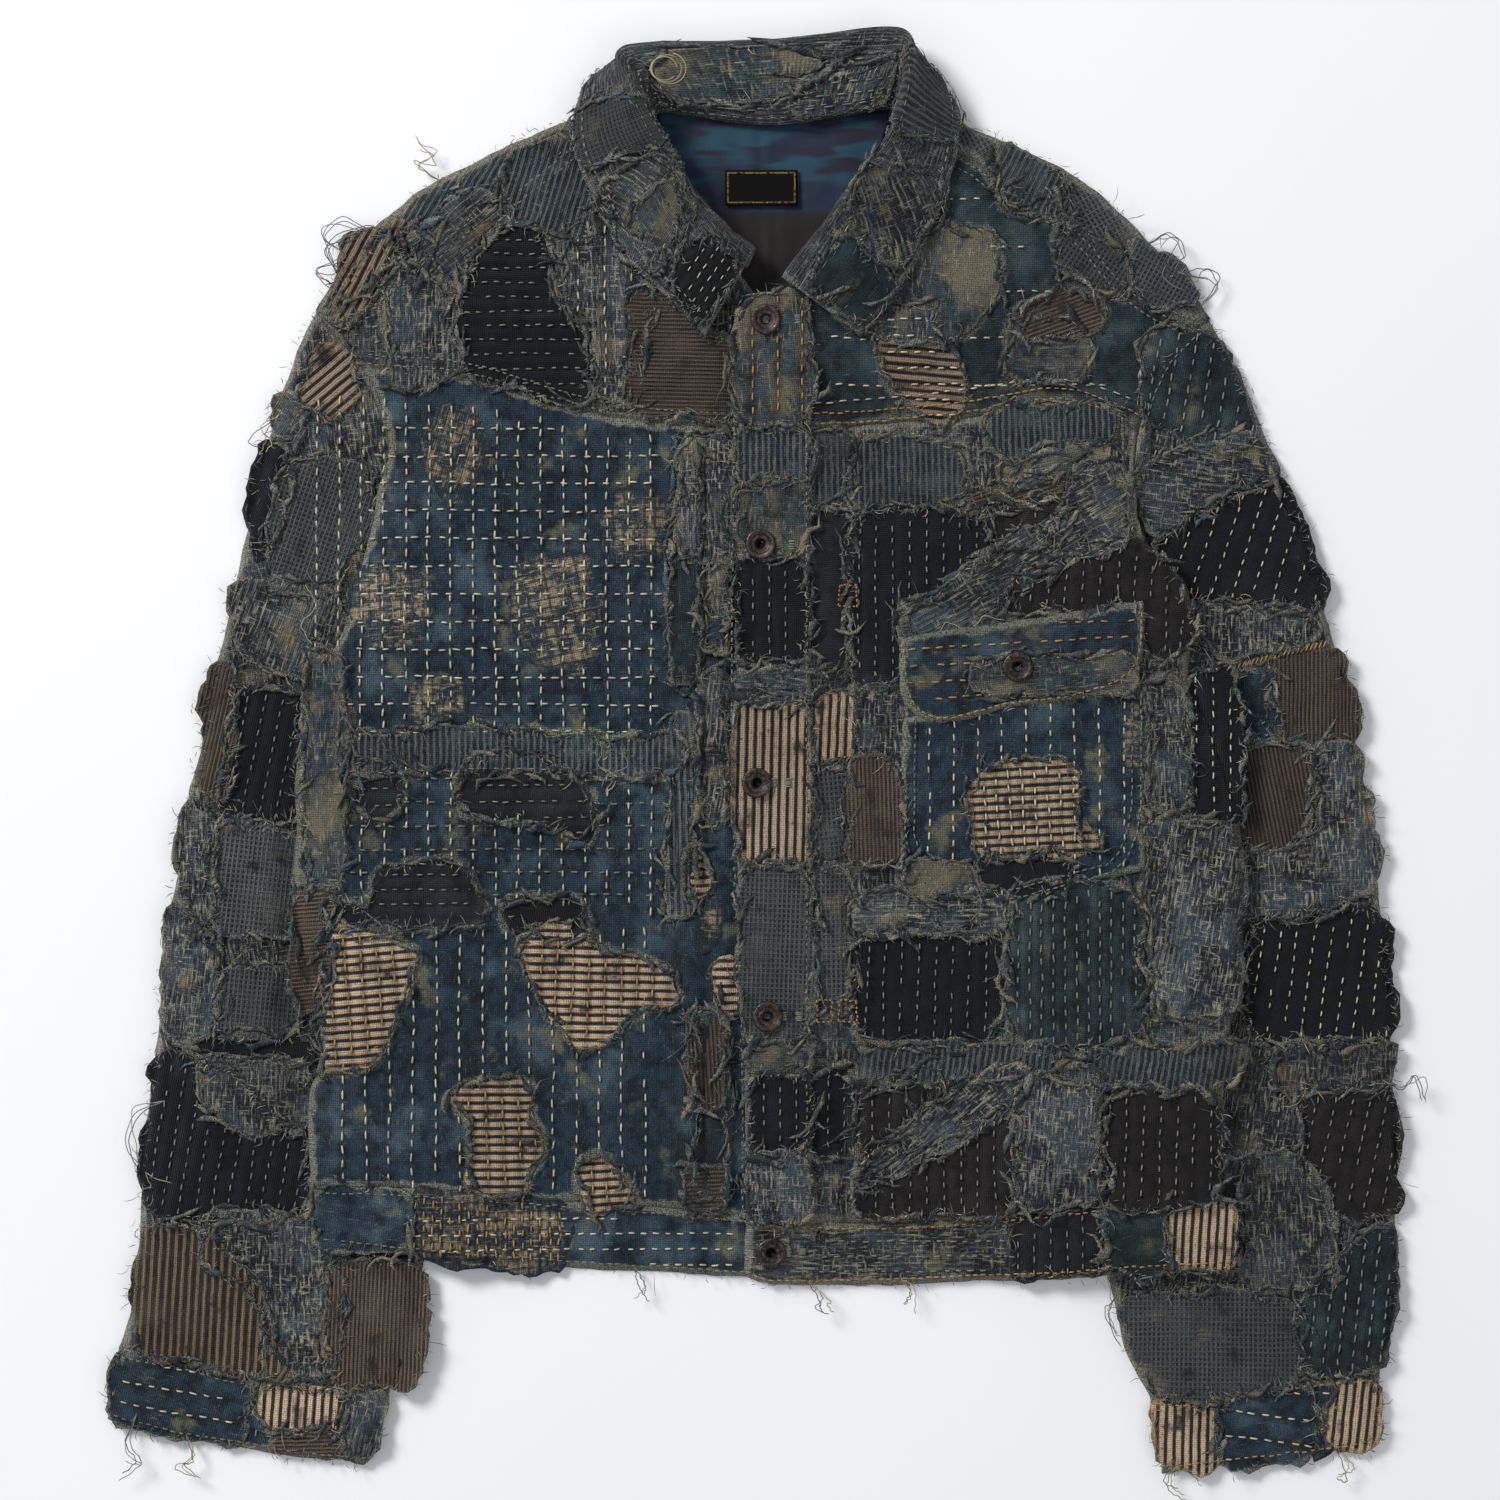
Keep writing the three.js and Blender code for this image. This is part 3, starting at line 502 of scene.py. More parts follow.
@functools.cache
def bands_group():
    """Woven stripes: a saw of the distance across the threads, with edges that wander by noise."""
    graph, given, out = new_group(
        "Bands", [("Cloth", "v"), ("Period mm", "f"), ("Share", "f"), ("Wander mm", "f")], [("Mask", "f")])
    _, v, _ = graph.split(given["Cloth"])
    shake = graph.math("SUBTRACT", graph.noise(graph.stretch(given["Cloth"], (9, 9, 1)), 1.0, 4.0, 0.7), 0.5)
    place = graph.math("MULTIPLY_ADD", v, float(PATTERN_UNIT),
                       graph.math("MULTIPLY", shake, given["Wander mm"]))
    saw = graph.math("FRACT", graph.math("DIVIDE", place, given["Period mm"]))
    tent = graph.math("MULTIPLY", graph.math("ABSOLUTE", graph.math("SUBTRACT", saw, 0.5)), 2.0)
    low = graph.math("SUBTRACT", given["Share"], 0.16)
    high = graph.math("ADD", given["Share"], 0.16)
    graph.feed(out["Mask"], graph.ease(tent, low, high))
    return graph.tree


@functools.cache
def fuzz_group():
    """Pale lint and dark pits at thread scale, and a pale rubbed line close to a torn edge."""
    graph, given, out = new_group(
        "Fuzz",
        [("Cloth", "v"), ("Edge", "f"), ("Color", "c"), ("Lint", "c"), ("Amount", "f"), ("Rub", "f")],
        [("Color", "c"), ("Height", "f")])
    grain = graph.noise(given["Cloth"], 95.0, 3.0, 0.75)
    patchy = graph.noise(given["Cloth"], 9.0, 4.0, 0.65)
    lint = graph.math("MULTIPLY", graph.ease(grain, 0.53, 0.70), graph.ease(patchy, 0.34, 0.66))
    pits = graph.ease(grain, 0.47, 0.33)
    rub_reach = graph.math("MULTIPLY", patchy, 10.5)
    rubbed = graph.ease(graph.math("SUBTRACT", rub_reach, given["Edge"]), 0.0, 2.4)
    rub_amount = graph.math("MULTIPLY", graph.math("MULTIPLY", rubbed, given["Rub"]),
                            graph.ease(grain, 0.36, 0.6))
    lint_amount = graph.math("MULTIPLY", lint, given["Amount"])
    pale = graph.mix(graph.math("MAXIMUM", lint_amount, rub_amount), given["Color"], given["Lint"])
    dark = graph.mix(graph.math("MULTIPLY", pits, 0.75), pale, (0.0035, 0.004, 0.006, 1))
    graph.feed(out["Color"], dark)
    graph.feed(out["Height"], grain)
    return graph.tree


# Each cloth. level: how bright it is; deep, mid, pale: its dyes; fade, worn_scale: where the pale dye shows;
# lint: colour of the lint; fleck, rub: how much of it lies on the cloth and along its edges; bands, crossed:
# period, width share, wander and colour of woven stripes; banded: where they are still whole; slubs, slubbed:
# thick threads; stain: colour of the soil; sinks_into: what its edges fade into; slot: its CAD material.
CLOTHS = {
    "indigo": dict(level=1.04, deep=(13, 25, 37), mid=(31, 51, 66), pale=(72, 94, 106),
        lint=(146, 146, 126), fleck=0.34, rub=0.85, fade=(0.5, 0.68), slubs=(0.6, 0.72), slubbed=0.35,
        stain=(112, 110, 88), slot="indigo_cloth"),
    "teal": dict(level=0.84, deep=(16, 28, 35), mid=(34, 52, 60), pale=(74, 94, 100), lint=(138, 140, 126),
        fleck=0.34, rub=0.8, fade=(0.48, 0.7), slubs=(0.6, 0.72), slubbed=0.4, stain=(112, 110, 90),
        slot="teal_cloth"),
    "navy": dict(level=0.66, deep=(10, 12, 17), mid=(19, 23, 33), pale=(38, 48, 63), lint=(88, 92, 96),
        fleck=0.1, rub=0.45, fade=(0.52, 0.8), slot="navy_cloth"),
    "charcoal": dict(level=0.85, deep=(22, 23, 28), mid=(38, 40, 47), pale=(60, 64, 72),
        lint=(106, 106, 104), fleck=0.14, rub=0.5, fade=(0.5, 0.8), slot="navy_cloth"),
    "brown": dict(level=0.85, deep=(24, 20, 21), mid=(42, 36, 36), pale=(66, 58, 56), lint=(112, 104, 94),
        fleck=0.14, rub=0.5, fade=(0.5, 0.8), slot="brown_cloth"),
    "slub": dict(level=0.8, deep=(8, 14, 23), mid=(25, 41, 58), pale=(68, 84, 97), lint=(178, 172, 151),
        fleck=0.7, rub=0.8, fade=(0.46, 0.6), slubs=(0.52, 0.61), slubbed=0.85, bands=(3.1, 0.58, 2.4,
        (104, 110, 110)), banded=(0.5, 0.6), stain=(146, 130, 102), slot="grey_blue_cloth"),
    "faded": dict(level=0.88, deep=(28, 42, 52), mid=(60, 76, 86), pale=(128, 120, 98),
        lint=(166, 156, 128), fleck=0.5, rub=0.8, fade=(0.46, 0.62), slubs=(0.54, 0.64), slubbed=0.7,
        slot="grey_blue_cloth"),
    "lined": dict(level=0.88, deep=(14, 24, 35), mid=(31, 46, 60), pale=(70, 84, 92), lint=(166, 158, 130),
        fleck=0.48, rub=0.8, fade=(0.5, 0.66), bands=(3.5, 0.6, 2.2, (98, 105, 106)), slubs=(0.56, 0.68),
        slubbed=0.5, slot="grey_blue_cloth"),
    "check": dict(level=0.9, deep=(18, 24, 31), mid=(35, 43, 51), pale=(70, 76, 80), lint=(150, 146, 130),
        stain=(140, 124, 96), fleck=0.42, rub=0.8, fade=(0.48, 0.7), bands=(2.6, 0.55, 1.2, (94, 98, 100)),
        crossed=(2.8, 0.6, 1.2, (82, 86, 88)), slot="grey_blue_cloth"),
    "rib": dict(level=0.9, deep=(32, 27, 26), mid=(52, 44, 40), pale=(84, 74, 66), lint=(128, 116, 98),
        fleck=0.26, rub=0.7, fade=(0.5, 0.75), bands=(2.3, 0.52, 0.7, (106, 92, 78)), slot="ribbed_cloth"),
    "rib2": dict(level=0.9, deep=(30, 28, 28), mid=(48, 45, 44), pale=(84, 78, 70), lint=(140, 126, 102),
        fleck=0.28, rub=0.7, fade=(0.5, 0.75), bands=(4.4, 0.62, 1.2, (146, 122, 92)), slot="ribbed_cloth"),
    "stripe": dict(level=0.98, deep=(26, 25, 30), mid=(40, 38, 42), pale=(66, 58, 54), lint=(186, 160, 122),
        fleck=0.22, rub=0.75, fade=(0.55, 0.8), bands=(4.7, 0.44, 1.1, (186, 158, 128)),
        slot="striped_cloth"),
    "collar": dict(level=0.69, deep=(8, 13, 21), mid=(25, 39, 55), pale=(66, 82, 95), lint=(168, 170, 162),
        fleck=0.68, rub=0.8, fade=(0.46, 0.62), bands=(2.7, 0.58, 1.6, (84, 90, 88)), slubs=(0.52, 0.62),
        slubbed=0.7, stain=(142, 128, 102), slot="grey_blue_cloth"),
    "plaid": dict(level=0.95, sinks_into=(27, 45, 60), deep=(20, 36, 50), mid=(44, 60, 72),
        pale=(158, 142, 114), lint=(196, 180, 146), fleck=0.6, rub=0.0, fade=(0.47, 0.58), worn_scale=8.0,
        bands=(5.4, 0.74, 2.8, (34, 50, 60)), crossed=(6.0, 0.74, 2.8, (30, 46, 58)), slubs=(0.54, 0.64),
        slubbed=0.6, slot="striped_cloth"),
}


@functools.cache
def cloth_material(kind):
    """One dyed cloth: faded dye, woven bands, slubs, lint and rubbed edges, with the weave as bump.
    Its brightness carries painted shade from the tone attribute and along the rows of stitches.
    """
    spec = CLOTHS[kind]
    material, graph, shader = new_material(f"{kind} cloth", 0.93, 0.16)
    cloth, edge, tone = graph.pattern(), graph.attribute("edge"), graph.attribute("tone")
    wave = graph.math("SINE", graph.math("MULTIPLY", graph.attribute("rows"), math.pi))
    channel = graph.math("MULTIPLY", wave, wave)

    own = {"indigo": colours().indigo, "navy": colours().navy}
    middle = (*own[kind], 1.0) if kind in own else srgb(*spec["mid"])
    worn = graph.group(fade_group(), Cloth=cloth, Scale=spec.get("worn_scale", 2.6), Low=spec["fade"][0],
                       High=spec["fade"][1])["Mask"]
    dyed = graph.group(fade_group(), Cloth=graph.stretch(cloth, (1, 1, 1), (3, 7, 0)), Scale=11.0,
                       Low=0.38, High=0.58)["Mask"]
    colour = graph.mix(dyed, srgb(*spec["deep"]), middle)
    colour = graph.mix(graph.math("MULTIPLY", worn, 0.85), colour, srgb(*spec["pale"]))
    height = graph.group(weave_group(), Cloth=cloth, Threads=520.0)["Height"]
    if "stain" in spec:
        stained = graph.group(fade_group(), Cloth=graph.stretch(cloth, (1, 1, 1), (1, 9, 0)), Scale=3.4,
                              Low=0.57, High=0.68)["Mask"]
        colour = graph.mix(graph.math("MULTIPLY", stained, 0.75), colour, srgb(*spec["stain"]))
    for key, turned in (("bands", False), ("crossed", True)):
        if key not in spec:
            continue
        period, share, wobble, tint = spec[key]
        across = graph.swapped(cloth) if turned else cloth
        mask = graph.group(bands_group(), Cloth=across, Period_mm=period, Share=share,
                           Wander_mm=wobble)["Mask"]
        tint = (*colours().tan, 1.0) if kind == "stripe" else srgb(*tint)
        strength = graph.math("MULTIPLY", mask, 0.88)
        strength = graph.math("MULTIPLY", strength, graph.ease(
            graph.noise(cloth, 5.0, 4.0, 0.6), *spec.get("banded", (0.30, 0.46))))
        colour = graph.mix(strength, colour, tint)
        height = graph.math("MULTIPLY_ADD", mask, 0.55, height)
    if "slubs" in spec:
        mask = graph.group(slub_group(), Cloth=cloth, Low=spec["slubs"][0], High=spec["slubs"][1])["Mask"]
        colour = graph.mix(graph.math("MULTIPLY", mask, spec["slubbed"]), colour, srgb(*spec["lint"]))
        height = graph.math("MULTIPLY_ADD", mask, spec["slubbed"], height)
    fuzz = graph.group(fuzz_group(), Cloth=cloth, Edge=edge, Color=colour, Lint=srgb(*spec["lint"]),
                       Amount=spec["fleck"], Rub=spec["rub"])
    shown = fuzz["Color"]
    if "sinks_into" in spec:
        ragged = graph.math("MULTIPLY_ADD", graph.noise(cloth, 9.0, 4.0, 0.62), 26.0, -13.0)
        inside = graph.ease(graph.math("ADD", edge, ragged), 2.5, 9.5)
        shown = graph.mix(inside, srgb(*spec["sinks_into"]), shown)
    toned = material.node_tree.nodes.new("ShaderNodeHueSaturation")
    graph.feed(toned.inputs["Color"], shown)
    # Painted shade: the cloth is darker along each row of stitches, where it sinks into a channel
    painted_row_shade = graph.math("MULTIPLY_ADD", graph.math("MULTIPLY", channel, channel), -0.42, 1.0)
    bright = graph.math("MULTIPLY", graph.math("MULTIPLY", tone, painted_row_shade), spec["level"])
    graph.feed(toned.inputs["Value"], bright)
    graph.feed(shader.inputs["Base Color"], toned.outputs[0])
    shader.inputs["Sheen Weight"].default_value = 0.10
    shader.inputs["Sheen Roughness"].default_value = 0.5
    height = graph.math("MULTIPLY_ADD", channel, -1.6, height)
    graph.bump(shader.inputs["Normal"], graph.math("MULTIPLY_ADD", fuzz["Height"], 1.7, height), 0.9, 0.0010)
    return material


@functools.cache
def thread_material(name, colour):
    """Twisted cotton: the colour varies along the thread by noise on the object's own coordinates."""
    material, graph, shader = new_material(name, 0.9, 0.15)
    place = material.node_tree.nodes.new("ShaderNodeTexCoord").outputs["Object"]
    soiled = graph.noise(place, 60.0, 3.0, 0.6)
    twist = graph.noise(place, 2600.0, 1.0, 0.5)
    darker = tuple(c * 0.52 for c in colour[:3]) + (1.0,)
    mixed = graph.mix(graph.ease(soiled, 0.3, 0.68), darker, colour)
    mixed = graph.mix(graph.math("MULTIPLY", graph.ease(twist, 0.55, 0.4), 0.35), mixed, darker)
    graph.feed(shader.inputs["Base Color"], mixed)
    return material


@functools.cache
def fibre_material():
    """Frayed fibres: each takes one of the worn thread colours by its own number."""
    material, graph, shader = new_material("frayed fibres", 0.95, 0.1)
    ramp = material.node_tree.nodes.new("ShaderNodeValToRGB")
    ramp.color_ramp.interpolation = "LINEAR"
    stops = [(0.0, (28, 38, 52)), (0.25, (62, 78, 92)), (0.5, (98, 106, 110)), (0.75, (144, 138, 118)),
             (1.0, (190, 172, 132))]
    for _ in range(len(stops) - 2):
        ramp.color_ramp.elements.new(0.5)
    for element, (place, tint) in zip(ramp.color_ramp.elements, stops):
        element.position = place
        element.color = srgb(*tint)
    graph.feed(ramp.inputs[0], graph.attribute("pick"))
    graph.feed(shader.inputs["Base Color"], ramp.outputs[0])
    return material


def lining_material():
    """Dyed lining: broad teal, blue and purple swirls above, brown-black below the back facing."""
    material, graph, shader = new_material("dyed lining", 0.7, 0.25)
    cloth = graph.pattern()
    swirl = graph.noise(graph.stretch(cloth, (2.2, 8.0, 1), (1.7, 0.4, 0)), 1.0, 2.0, 0.4)
    other = graph.noise(graph.stretch(cloth, (3.0, 11.0, 1), (4.1, 2.2, 0)), 1.0, 1.0, 0.4)
    colour = graph.mix(graph.ease(swirl, 0.44, 0.56), srgb(25, 38, 57), srgb(30, 61, 78))
    colour = graph.mix(graph.ease(other, 0.52, 0.64), colour, srgb(31, 30, 47))
    _, v, _ = graph.split(cloth)
    colour = graph.mix(graph.ease(v, 3.07, 3.02), colour, srgb(26, 21, 21))
    weave = graph.group(weave_group(), Cloth=cloth, Threads=700.0)["Height"]
    graph.feed(shader.inputs["Base Color"], colour)
    graph.bump(shader.inputs["Normal"], weave, 0.3, 0.0003)
    return material


def label_material():
    """Bare woven label: black satin with one thin gold line inside its edge."""
    material, graph, shader = new_material("bare label", 0.85, 0.12)
    edge, cloth = graph.attribute("edge"), graph.pattern()
    inner = graph.math("MULTIPLY", graph.ease(edge, 1.1, 1.5), graph.ease(edge, 2.3, 1.9))
    worn = graph.ease(graph.noise(cloth, 60.0, 3.0, 0.6), 0.36, 0.6)
    colour = graph.mix(graph.math("MULTIPLY", inner, worn), srgb(9, 8, 8), srgb(126, 100, 52))
    graph.feed(shader.inputs["Base Color"], colour)
    weave = graph.group(weave_group(), Cloth=cloth, Threads=900.0)["Height"]
    graph.bump(shader.inputs["Normal"], weave, 0.4, 0.0003)
    return material


def bronze_material():
    """Aged bronze: brown patina, brighter where noise says that it is rubbed, with near-black painted shade
    in the centre hole and a darker ring in the groove of the dish.
    """
    material, graph, shader = new_material("aged bronze", 0.52)
    place = material.node_tree.nodes.new("ShaderNodeTexCoord").outputs["Object"]
    spots = graph.noise(place, 420.0, 5.0, 0.65)
    rubbed = graph.ease(spots, 0.48, 0.68)
    patina = graph.mix(graph.ease(graph.noise(place, 900.0, 3.0, 0.6), 0.4, 0.6),
                       srgb(34, 28, 28), (*colours().bronze, 1.0))
    worn = graph.mix(rubbed, patina, srgb(104, 90, 82))
    radius = graph.attribute("edge")
    # Painted shade: near-black in the centre hole; also a darker ring in the groove of the dish
    hole_shade_and_dark_groove = graph.ease(radius, 4.4, 2.6)
    groove = graph.math("MULTIPLY", graph.ease(radius, 4.6, 5.3), graph.ease(radius, 6.4, 5.6))
    hole_shade_and_dark_groove = graph.math("MAXIMUM", hole_shade_and_dark_groove, graph.math("MULTIPLY", groove, 0.6))
    graph.feed(shader.inputs["Base Color"], graph.mix(hole_shade_and_dark_groove, worn, srgb(10, 9, 9)))
    graph.feed(shader.inputs["Roughness"], graph.math("MULTIPLY_ADD", rubbed, -0.18, 0.52))
    shader.inputs["Metallic"].default_value = 0.75
    graph.bump(shader.inputs["Normal"], spots, 0.35, 0.0003)
    return material


# ---- the garment's cut, in millimetres ----
SHOULDER_L = [(258, 244), (251, 255), (230, 282), (210, 303), (184, 325), (159, 338), (128, 350),
              (112, 358), (84, 362)]
SHOULDER_R = [(-246, 248), (-231, 272), (-214, 295), (-194, 311), (-169, 327), (-136, 343), (-104, 357),
              (-56, 361)]
ARMHOLE_L = [(258, 244), (237, 227), (227, 211), (217, 181)]
ARMHOLE_L_LOW = [(217, 181), (215, 140), (219, 118)]
ARMHOLE_R = [(-246, 248), (-230, 230), (-219, 216)]
ARMHOLE_R_LOW = [(-219, 216), (-213, 208), (-204, 182), (-204, 165), (-216, 116)]
SIDE_L = [(219, 118), (237, 98), (246, 64), (246, 40), (262, -4), (274, -38), (275, -69), (271, -147),
          (265, -180), (265, -220), (262, -248)]
SIDE_R = [(-216, 116), (-225, 74), (-250, 30), (-256, -1), (-257, -77), (-250, -128), (-241, -158),
          (-241, -177), (-249, -185), (-250, -220), (-248, -244)]
STRIP_SEAM_L = [(75, 343), (112, 343), (154, 312), (184, 299), (216, 258), (247, 242), (258, 244)]
STRIP_SEAM_R = [(-48, 345), (-104, 341), (-140, 312), (-170, 296), (-205, 258), (-234, 243), (-246, 248)]
NECK_L = [(16, 257), (30, 262), (40, 275), (52, 300), (64, 322), (75, 343)]
NECK_R = [(4, 254), (-8, 272), (-20, 290), (-31, 306), (-40, 326), (-48, 345)]
YOKE_SEAM_L = [(217, 181), (197, 191), (174, 198), (151, 194), (118, 188), (33, 181), (-7, 182)]
YOKE_SEAM_R = [(-219, 216), (-161, 213), (-108, 195), (-63, 185), (20, 182)]
FRONT_EDGE_L = [(-7, 182), (-9, 100), (-9, 30), (-8, -64), (-3, -162), (-3, -261)]
BAND_SEAM_L = [(262, -248), (233, -251), (193, -254), (147, -260), (92, -265), (38, -265), (-3, -261)]
BAND_SEAM_R = [(-248, -244), (-194, -245), (-140, -250), (-67, -255), (20, -263)]
HEM_L = [(270, -290), (233, -291), (152, -297), (88, -300), (11, -302), (-4, -296)]
HEM_R = [(-240, -277), (-184, -283), (-99, -291), (-4, -296), (20, -299)]
BACK_NECK = [(-52, 360), (-30, 355), (9, 353), (45, 355), (80, 361)]
BACK_YOKE_SEAM = [(-204, 182), (5, 188), (217, 181)]
BACK_BAND_SEAM = [(-248, -244), (-140, -250), (20, -258), (147, -260), (262, -248)]
BACK_HEM = [(-240, -277), (-99, -290), (88, -298), (270, -290)]
CUFF_SEAM_L = [(225, -363), (259, -365), (288, -356), (314, -353), (355, -349)]
CUFF_SEAM_R = [(-358, -336), (-321, -343), (-286, -352), (-232, -357), (-204, -358)]
OUTER_L = [(258, 244), (275, 214), (293, 174), (310, 118), (325, 75), (334, 39), (347, -29), (355, -92),
           (360, -165), (364, -221), (363, -290), (358, -330), (355, -349)]
OUTER_R = [(-246, 248), (-258, 223), (-269, 192), (-278, 154), (-295, 75), (-305, 32), (-317, -23),
           (-323, -65), (-332, -112), (-336, -173), (-343, -228), (-346, -264), (-347, -309), (-358, -336)]
INNER_L = [(225, -363), (213, -344), (206, -318), (200, -290), (200, -180), (204, -60), (212, 60), (219, 118)]
INNER_R = [(-204, -358), (-192, -330), (-186, -299), (-184, -270), (-188, -150), (-196, 0), (-206, 90),
           (-216, 116)]
CUFF_EDGE_L = [(231, -406), (290, -400), (349, -393), (352, -386)]
CUFF_EDGE_R = [(-364, -376), (-321, -387), (-286, -392), (-250, -399), (-216, -401)]

BODY_OUTLINE = (SHOULDER_R[::-1] + SIDE_R + HEM_R[:-1] + HEM_L[::-1] + [(270, -256)] + SIDE_L[::-1]
                + SHOULDER_L + BACK_NECK[::-1])
BODY_EDGES = [SHOULDER_R, SIDE_R + HEM_R[:-1], HEM_L, [(270, -290), (270, -256)] + SIDE_L[::-1], SHOULDER_L]
SLEEVE_EDGES = [OUTER_L, OUTER_R, CUFF_EDGE_L, CUFF_EDGE_R, [(355, -349), (352, -386)],
                [(-358, -336), (-364, -376)], INNER_L, INNER_R, [(225, -363), (231, -406)],
                [(-204, -358), (-216, -401)]]
PLEATS = [(-26, -15), (-42, -31), (53, 64)]
PLACKET_RIGHT = [(34, -262), (34, 247)]
POCKET_EDGE = [(84, 20), (83, -82), (143, -87), (173, -78), (221, -65), (222, 38)]
FLAP_EDGE = [(82, 64), (85, 27), (100, 16), (112, 16), (147, 26), (173, 27), (207, 36), (221, 52), (221, 85)]


def distance_to(edges, x, y):
    """Distance in mm to the nearest of several polylines that wander like the pieces' edges do."""
    nearest = np.full(x.shape, 1e9)
    for edge in edges:
        points = resample(rounded(edge), max(2, int(length_of(edge) / 7)))
        px, py = wander(points[:, 0], points[:, 1])
        far = segment_distance(x.reshape(-1, 1), y.reshape(-1, 1), px[:-1], py[:-1], px[1:], py[1:])
        nearest = np.minimum(nearest, far.min(axis=1).reshape(x.shape))
    return nearest


def turned_down(height, base, edges, x, y, radius=7.5):
    """Rounds a face down to its base near its edges, as a quarter circle of the distance to them."""
    near = clamp01(distance_to(edges, x, y) / radius)
    return base + (height - base) * np.sqrt(np.maximum(1 - (1 - near) ** 2, 0))


def pleats(x, y):
    """Each pleat rises gently to the right and drops at its folded left edge."""
    inside = smooth01((180 - y) / 12) * smooth01((y + 262) / 14)
    return sum(2.8 * smooth01((x - low) / 2.0) * (1 - smooth01((x - high) / 7)) for low,
               high in PLEATS) * inside


def quilting(x, y):
    """Running stitches pull the cloth into shallow channels 12.5 mm apart."""
    shaken = x + 2.0 * value_noise(x, y, 40, 15)
    return -0.42 * (1 + np.cos(2 * math.pi * shaken / 12.5)) * (0.6 + 0.4 * value_noise(x, y, 80, 16))


def body_face(x, y, top=body_top):
    """The sewn face of a front: pleats and quilting on the draped height, turned down at the garment's
    edges."""
    high = top(x, y) + pleats(x, y) + quilting(x, y)
    return turned_down(high, 1.0 + 1.35 * tuck_rise(x, y), BODY_EDGES, x, y)


def left_face(x, y):
    return body_face(x, y, left_body_top)


def sleeve_face(x, y):
    return turned_down(sleeve_top(x, y) + 0.6 * quilting(x, y), 1.0, SLEEVE_EDGES, x, y)


def placket_face(x, y):
    high = left_face(x, y) + LAYER * 0.75
    return turned_down(high, left_face(x, y) + 0.3, [PLACKET_RIGHT], x, y, 2.2)


def pocket_face(x, y):
    return turned_down(left_face(x, y) + 2.3, left_face(x, y) + 0.3, [POCKET_EDGE], x, y, 2.4)


def flap_face(x, y):
    base = left_face(x, y)
    high = base + 2.6 + 2.4 * smooth01((84 - y) / 26)
    return turned_down(high, base + 0.9 + 1.2 * smooth01((84 - y) / 26), [FLAP_EDGE], x, y, 2.4)


# ---- panels ----
def tone_of(x, y, level):
    """Brightness of the cloth: a level for the piece, broad noise over it, and painted shade.

    Painted shade lies on the sleeves beside the body, where the body's side shades them, and at the
    folded edge of each pleat.
    """
    beside = np.abs(x - np.where(x > 0, 275.0, -262.0)) / 11
    # painted shade: a dark band on the sleeve beside the body's side, and dark lines at each pleat's fold
    painted_shade = 0.42 * np.exp(-beside ** 2) * smooth01((40 - y) / 60) * smooth01((y + 262) / 20)
    painted_shade = painted_shade * (np.abs(x) > np.where(x > 0, 268.0, 256.0))
    for low, _ in PLEATS:
        painted_shade = painted_shade + 0.55 * np.exp(-((x - low + 0.5) / 1.9) ** 2) * smooth01((182 - y) / 10)
    return level * (1 + 0.15 * value_noise(x, y, 55, 21) + 0.09 * value_noise(x, y, 14, 22)) * (1 - painted_shade)


def panel(name, nodes, kind, sides, face, flat, grain=90, level=1.0, cell=None, shrink=1.0, rests="back",
          floor=None, regions=()):
    """A cut panel as a closed wall: a grid spanned between its four edges, lying at the height that face
    gives. The face sinks a little along its seams. The under side is one cloth below, and never under the
    floor."""
    x, y = coons(sides, cell or sizes().panel_cell / MM)
    near = np.min(np.stack(list(border_distances(x, y).values())), axis=0)
    x, y = wander(x, y)
    holes = [outline_of(row[-1], 5.0) for region in regions for row in PATCHES[region] if row[0] != "plaid"]
    worn = distance_to(holes, x, y) if holes else near
    centre_x, centre_y = x.mean(), y.mean()
    x, y = centre_x + (x - centre_x) * shrink, centre_y + (y - centre_y) * shrink
    top = face(x, y) - 1.0 * (1 - smooth01(near / 3.2))
    under = np.maximum(top - CLOTH, 0.05) if floor is None else floor(x, y) + 0.02 * near / (1 + near)
    top = np.maximum(top, under + 0.6)
    vertices, faces = grid_shell(x, y, top, under)
    rng = np.random.default_rng(len(name) * 101 + sizes().seed)
    uv = pattern_uv(x.ravel(), y.ravel(), grain, rng.uniform(0, 9, 2))
    tone = tone_of(x, y, level).ravel()
    edge = np.minimum(near, worn).ravel()
    piece = make_object(name, vertices, faces, cloth_material(kind), both(uv),
                        [("edge", both(edge)), ("tone", both(tone))])
    declare(piece, nodes, CLOTHS[kind]["slot"], flat, shell_area(x, y), rests)


def shell_area(x, y):
    """Area of a plane grid in square metres, by the cross product of each cell's diagonals."""
    d1x, d1y = x[1:, 1:] - x[:-1, :-1], y[1:, 1:] - y[:-1, :-1]
    d2x, d2y = x[:-1, 1:] - x[1:, :-1], y[:-1, 1:] - y[1:, :-1]
    return float(np.abs(d1x * d2y - d1y * d2x).sum()) / 2 * MM * MM


def declare(piece, nodes, slot, flat=None, area=None, rests="back"):
    """Attaches the piece to the root body and hides the CAD parts that it stands for."""
    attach(piece, "root")
    if nodes:
        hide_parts(*nodes)


UNDER_CELL = 9.0


